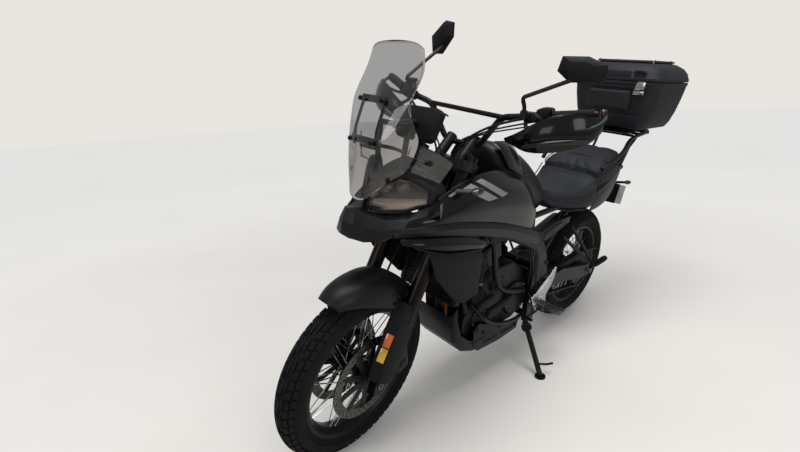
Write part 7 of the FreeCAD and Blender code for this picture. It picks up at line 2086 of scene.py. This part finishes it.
def facing_plate(outline, low, high, edge):
    """A rounded plate facing forward, its outline seen from the front; lengths in millimetres."""
    return laid(plate(outline, low, high, edge, 'YZ'), TO_METRES)


def case_ring(level, front, rear, half, corner):
    """One level of the case: a rounded rectangle, narrower at the front."""
    spots = []
    for cx, cy, start in ((front - corner, half - corner - 10, 0), (rear + corner, half - corner, 90),
                          (rear + corner, -half + corner, 180), (front - corner, -half + corner + 10, 270)):
        for k in range(5):
            angle = math.radians(start + 22.5 * k)
            spots.append((cx + corner * math.cos(angle), cy + corner * math.sin(angle), level))
    return spots


class MOTO_OT_case(bpy.types.Operator):
    """Adds the top case: hollow tub and lid, raised panels, latch, backrest pad and tie loops"""
    bl_idname = "moto.case"
    bl_label = "Top case"

    def execute(self, context):
        tub = closed_loft([case_ring(*level) for level in (
            (1066, -206, -512, 170, 40), (1070, -196, -520, 182, 46), (1098, -184, -530, 198, 52),
            (1150, -172, -542, 212, 56), (1220, -160, -552, 224, 58), (1284, -154, -560, 231, 58),
            (1288, -151, -563, 234, 59), (1300, -151, -563, 234, 59), (1300.5, -157, -557, 228, 56),
            (1284, -159, -555, 226, 56), (1220, -165, -547, 219, 56), (1150, -177, -537, 207, 54),
            (1098, -189, -525, 193, 50), (1076, -200, -516, 180, 44))])
        rounded(tub, 0.002, 32)
        lid = closed_loft([case_ring(*level) for level in (
            (1389, -250, -462, 136, 50), (1379, -210, -502, 176, 60), (1361, -180, -532, 204, 60),
            (1340, -164, -549, 220, 58), (1318, -157, -557, 228, 56), (1303.5, -157, -557, 228, 56),
            (1304, -151, -563, 234, 59), (1318, -151, -563, 234, 59), (1322, -154, -560, 231, 58),
            (1344, -160, -553, 224, 60), (1366, -176, -536, 208, 62), (1384, -206, -506, 180, 62),
            (1394, -246, -466, 140, 52), (1398, -290, -422, 96, 36))])
        rounded(lid, 0.002, 30)
        on_bike(tub, "top_case_shell", "case_black", "matt_black_plastic", ("top_case_tub",))
        raised = closed_loft([case_ring(*level) for level in (
            (1391, -218, -496, 166, 54), (1399, -220, -494, 164, 52), (1401.5, -228, -486, 156, 48))])
        rounded(raised, 0.002, 30)
        flutes = [slab([(-240, 1400), (-474, 1400), (-474, 1402), (-240, 1402)], y - 16, y + 16, 0.8)
                  for y in (-110, -55, 0, 55, 110)]
        ready(joined(lid, raised, *flutes), "top_case_cover", "case_black", "top_case_lid", "matt_black_plastic",
              BIKE, ("top_case_lid",))
        loops = []
        for y in (-140, 140):
            for x in (-250, -470):
                loops.append(tube_mm([(x - 16, y, 1384), (x - 12, y, 1400), (x, y, 1403), (x + 12, y, 1400),
                                      (x + 16, y, 1384)], 3, 8))
        ready(joined(*loops), "case_tie_loops", "plated", "top_case_lid", "matt_black_plastic", BIKE)
        shelf = [slab([(-150, z), (-146, z + 1), (-146, z + 5), (-150, z + 6)], -168, 168, 1.0) for z in (1128, 1272)]
        fronts = [facing_plate([(-152, 1318), (76, 1318), (76, 1350), (-152, 1350)], -158, -150.5, 2.5),
                  facing_plate([(92, 1318), (152, 1318), (148, 1350), (92, 1350)], -158, -152.5, 2.0)]
        on_bike(joined(*shelf), "case_front_ribs", "case_black", "matt_black_plastic")
        ready(joined(*fronts), "case_lid_front_panels", "case_black", "top_case_lid", "matt_black_plastic", BIKE)
        hook = facing_plate([(112, 1262), (158, 1262), (162, 1296), (158, 1302), (126, 1302), (118, 1292)],
                            -152, -142, 1.6)
        lever = facing_plate([(110, 1240), (160, 1240), (162, 1258), (112, 1258)], -152, -139, 2.4)
        slots = [facing_plate([(122, z), (152, z), (152, z + 3), (122, z + 3)], -143, -141, 0.6)
                 for z in (1270, 1278, 1286)]
        on_bike(joined(hook, lever, *slots), "case_latch", "polished", "bare_alloy")
        lock = facing_plate([(96, 1336), (146, 1336), (150, 1341), (146, 1352), (96, 1352), (92, 1341)],
                            -158, -149, 1.5)
        ready(lock, "case_lock_plate", "gloss_black", "top_case_lid", "gloss_black_plastic", BIKE)
        rings = [[(x, -10 + y * size, 1208 + z * size) for y, z in PAD_OUTLINE]
                 for x, size in ((-158, 0.93), (-154, 0.98), (-146, 0.98), (-141, 0.90), (-139, 0.7))]
        pad = closed_loft(rings)
        foam(pad, 0.004, 0.004)
        on_bike(pad, "backrest_cushion", "vinyl_dark", "seat_vinyl", ("backrest_pad",), smooth=60, padded=0.7)
        return {'FINISHED'}


# Panel and running

OPERATORS = [value for value in list(globals().values())
             if isinstance(value, type) and issubclass(value, bpy.types.Operator) and value is not bpy.types.Operator]


class MOTO_PT_pieces(bpy.types.Panel):
    """Lists the motorcycle's sizes, colours and pieces"""
    bl_label = "Motorcycle"
    bl_idname = "MOTO_PT_pieces"
    bl_space_type = 'VIEW_3D'
    bl_region_type = 'UI'
    bl_category = "Motorcycle"

    def draw(self, context):
        column = self.layout.column()
        for group in (context.scene.moto_sizes, context.scene.moto_colours):
            for name in group.bl_rna.properties.keys():
                if name not in ("rna_type", "name"):
                    column.prop(group, name)
        for operator in OPERATORS:
            column.operator(operator.bl_idname)


CLASSES = [MOTO_PG_sizes, MOTO_PG_colours] + OPERATORS + [MOTO_PT_pieces]


def register():
    for made in CLASSES:
        bpy.utils.register_class(made)
    bpy.types.Scene.moto_sizes = bpy.props.PointerProperty(type=MOTO_PG_sizes)
    bpy.types.Scene.moto_colours = bpy.props.PointerProperty(type=MOTO_PG_colours)


def unregister():
    del bpy.types.Scene.moto_sizes
    del bpy.types.Scene.moto_colours
    for made in reversed(CLASSES):
        bpy.utils.unregister_class(made)


def main():
    register()
    for operator in OPERATORS:
        group, name = operator.bl_idname.split(".")
        getattr(getattr(bpy.ops, group), name)()
    bpy.context.view_layer.update()
    with open("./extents.json", "w") as out:
        json.dump({"cad": CAD_BOX, "visual": [list(corner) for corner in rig.bounds()]}, out)


if __name__ == "__main__":
    main()
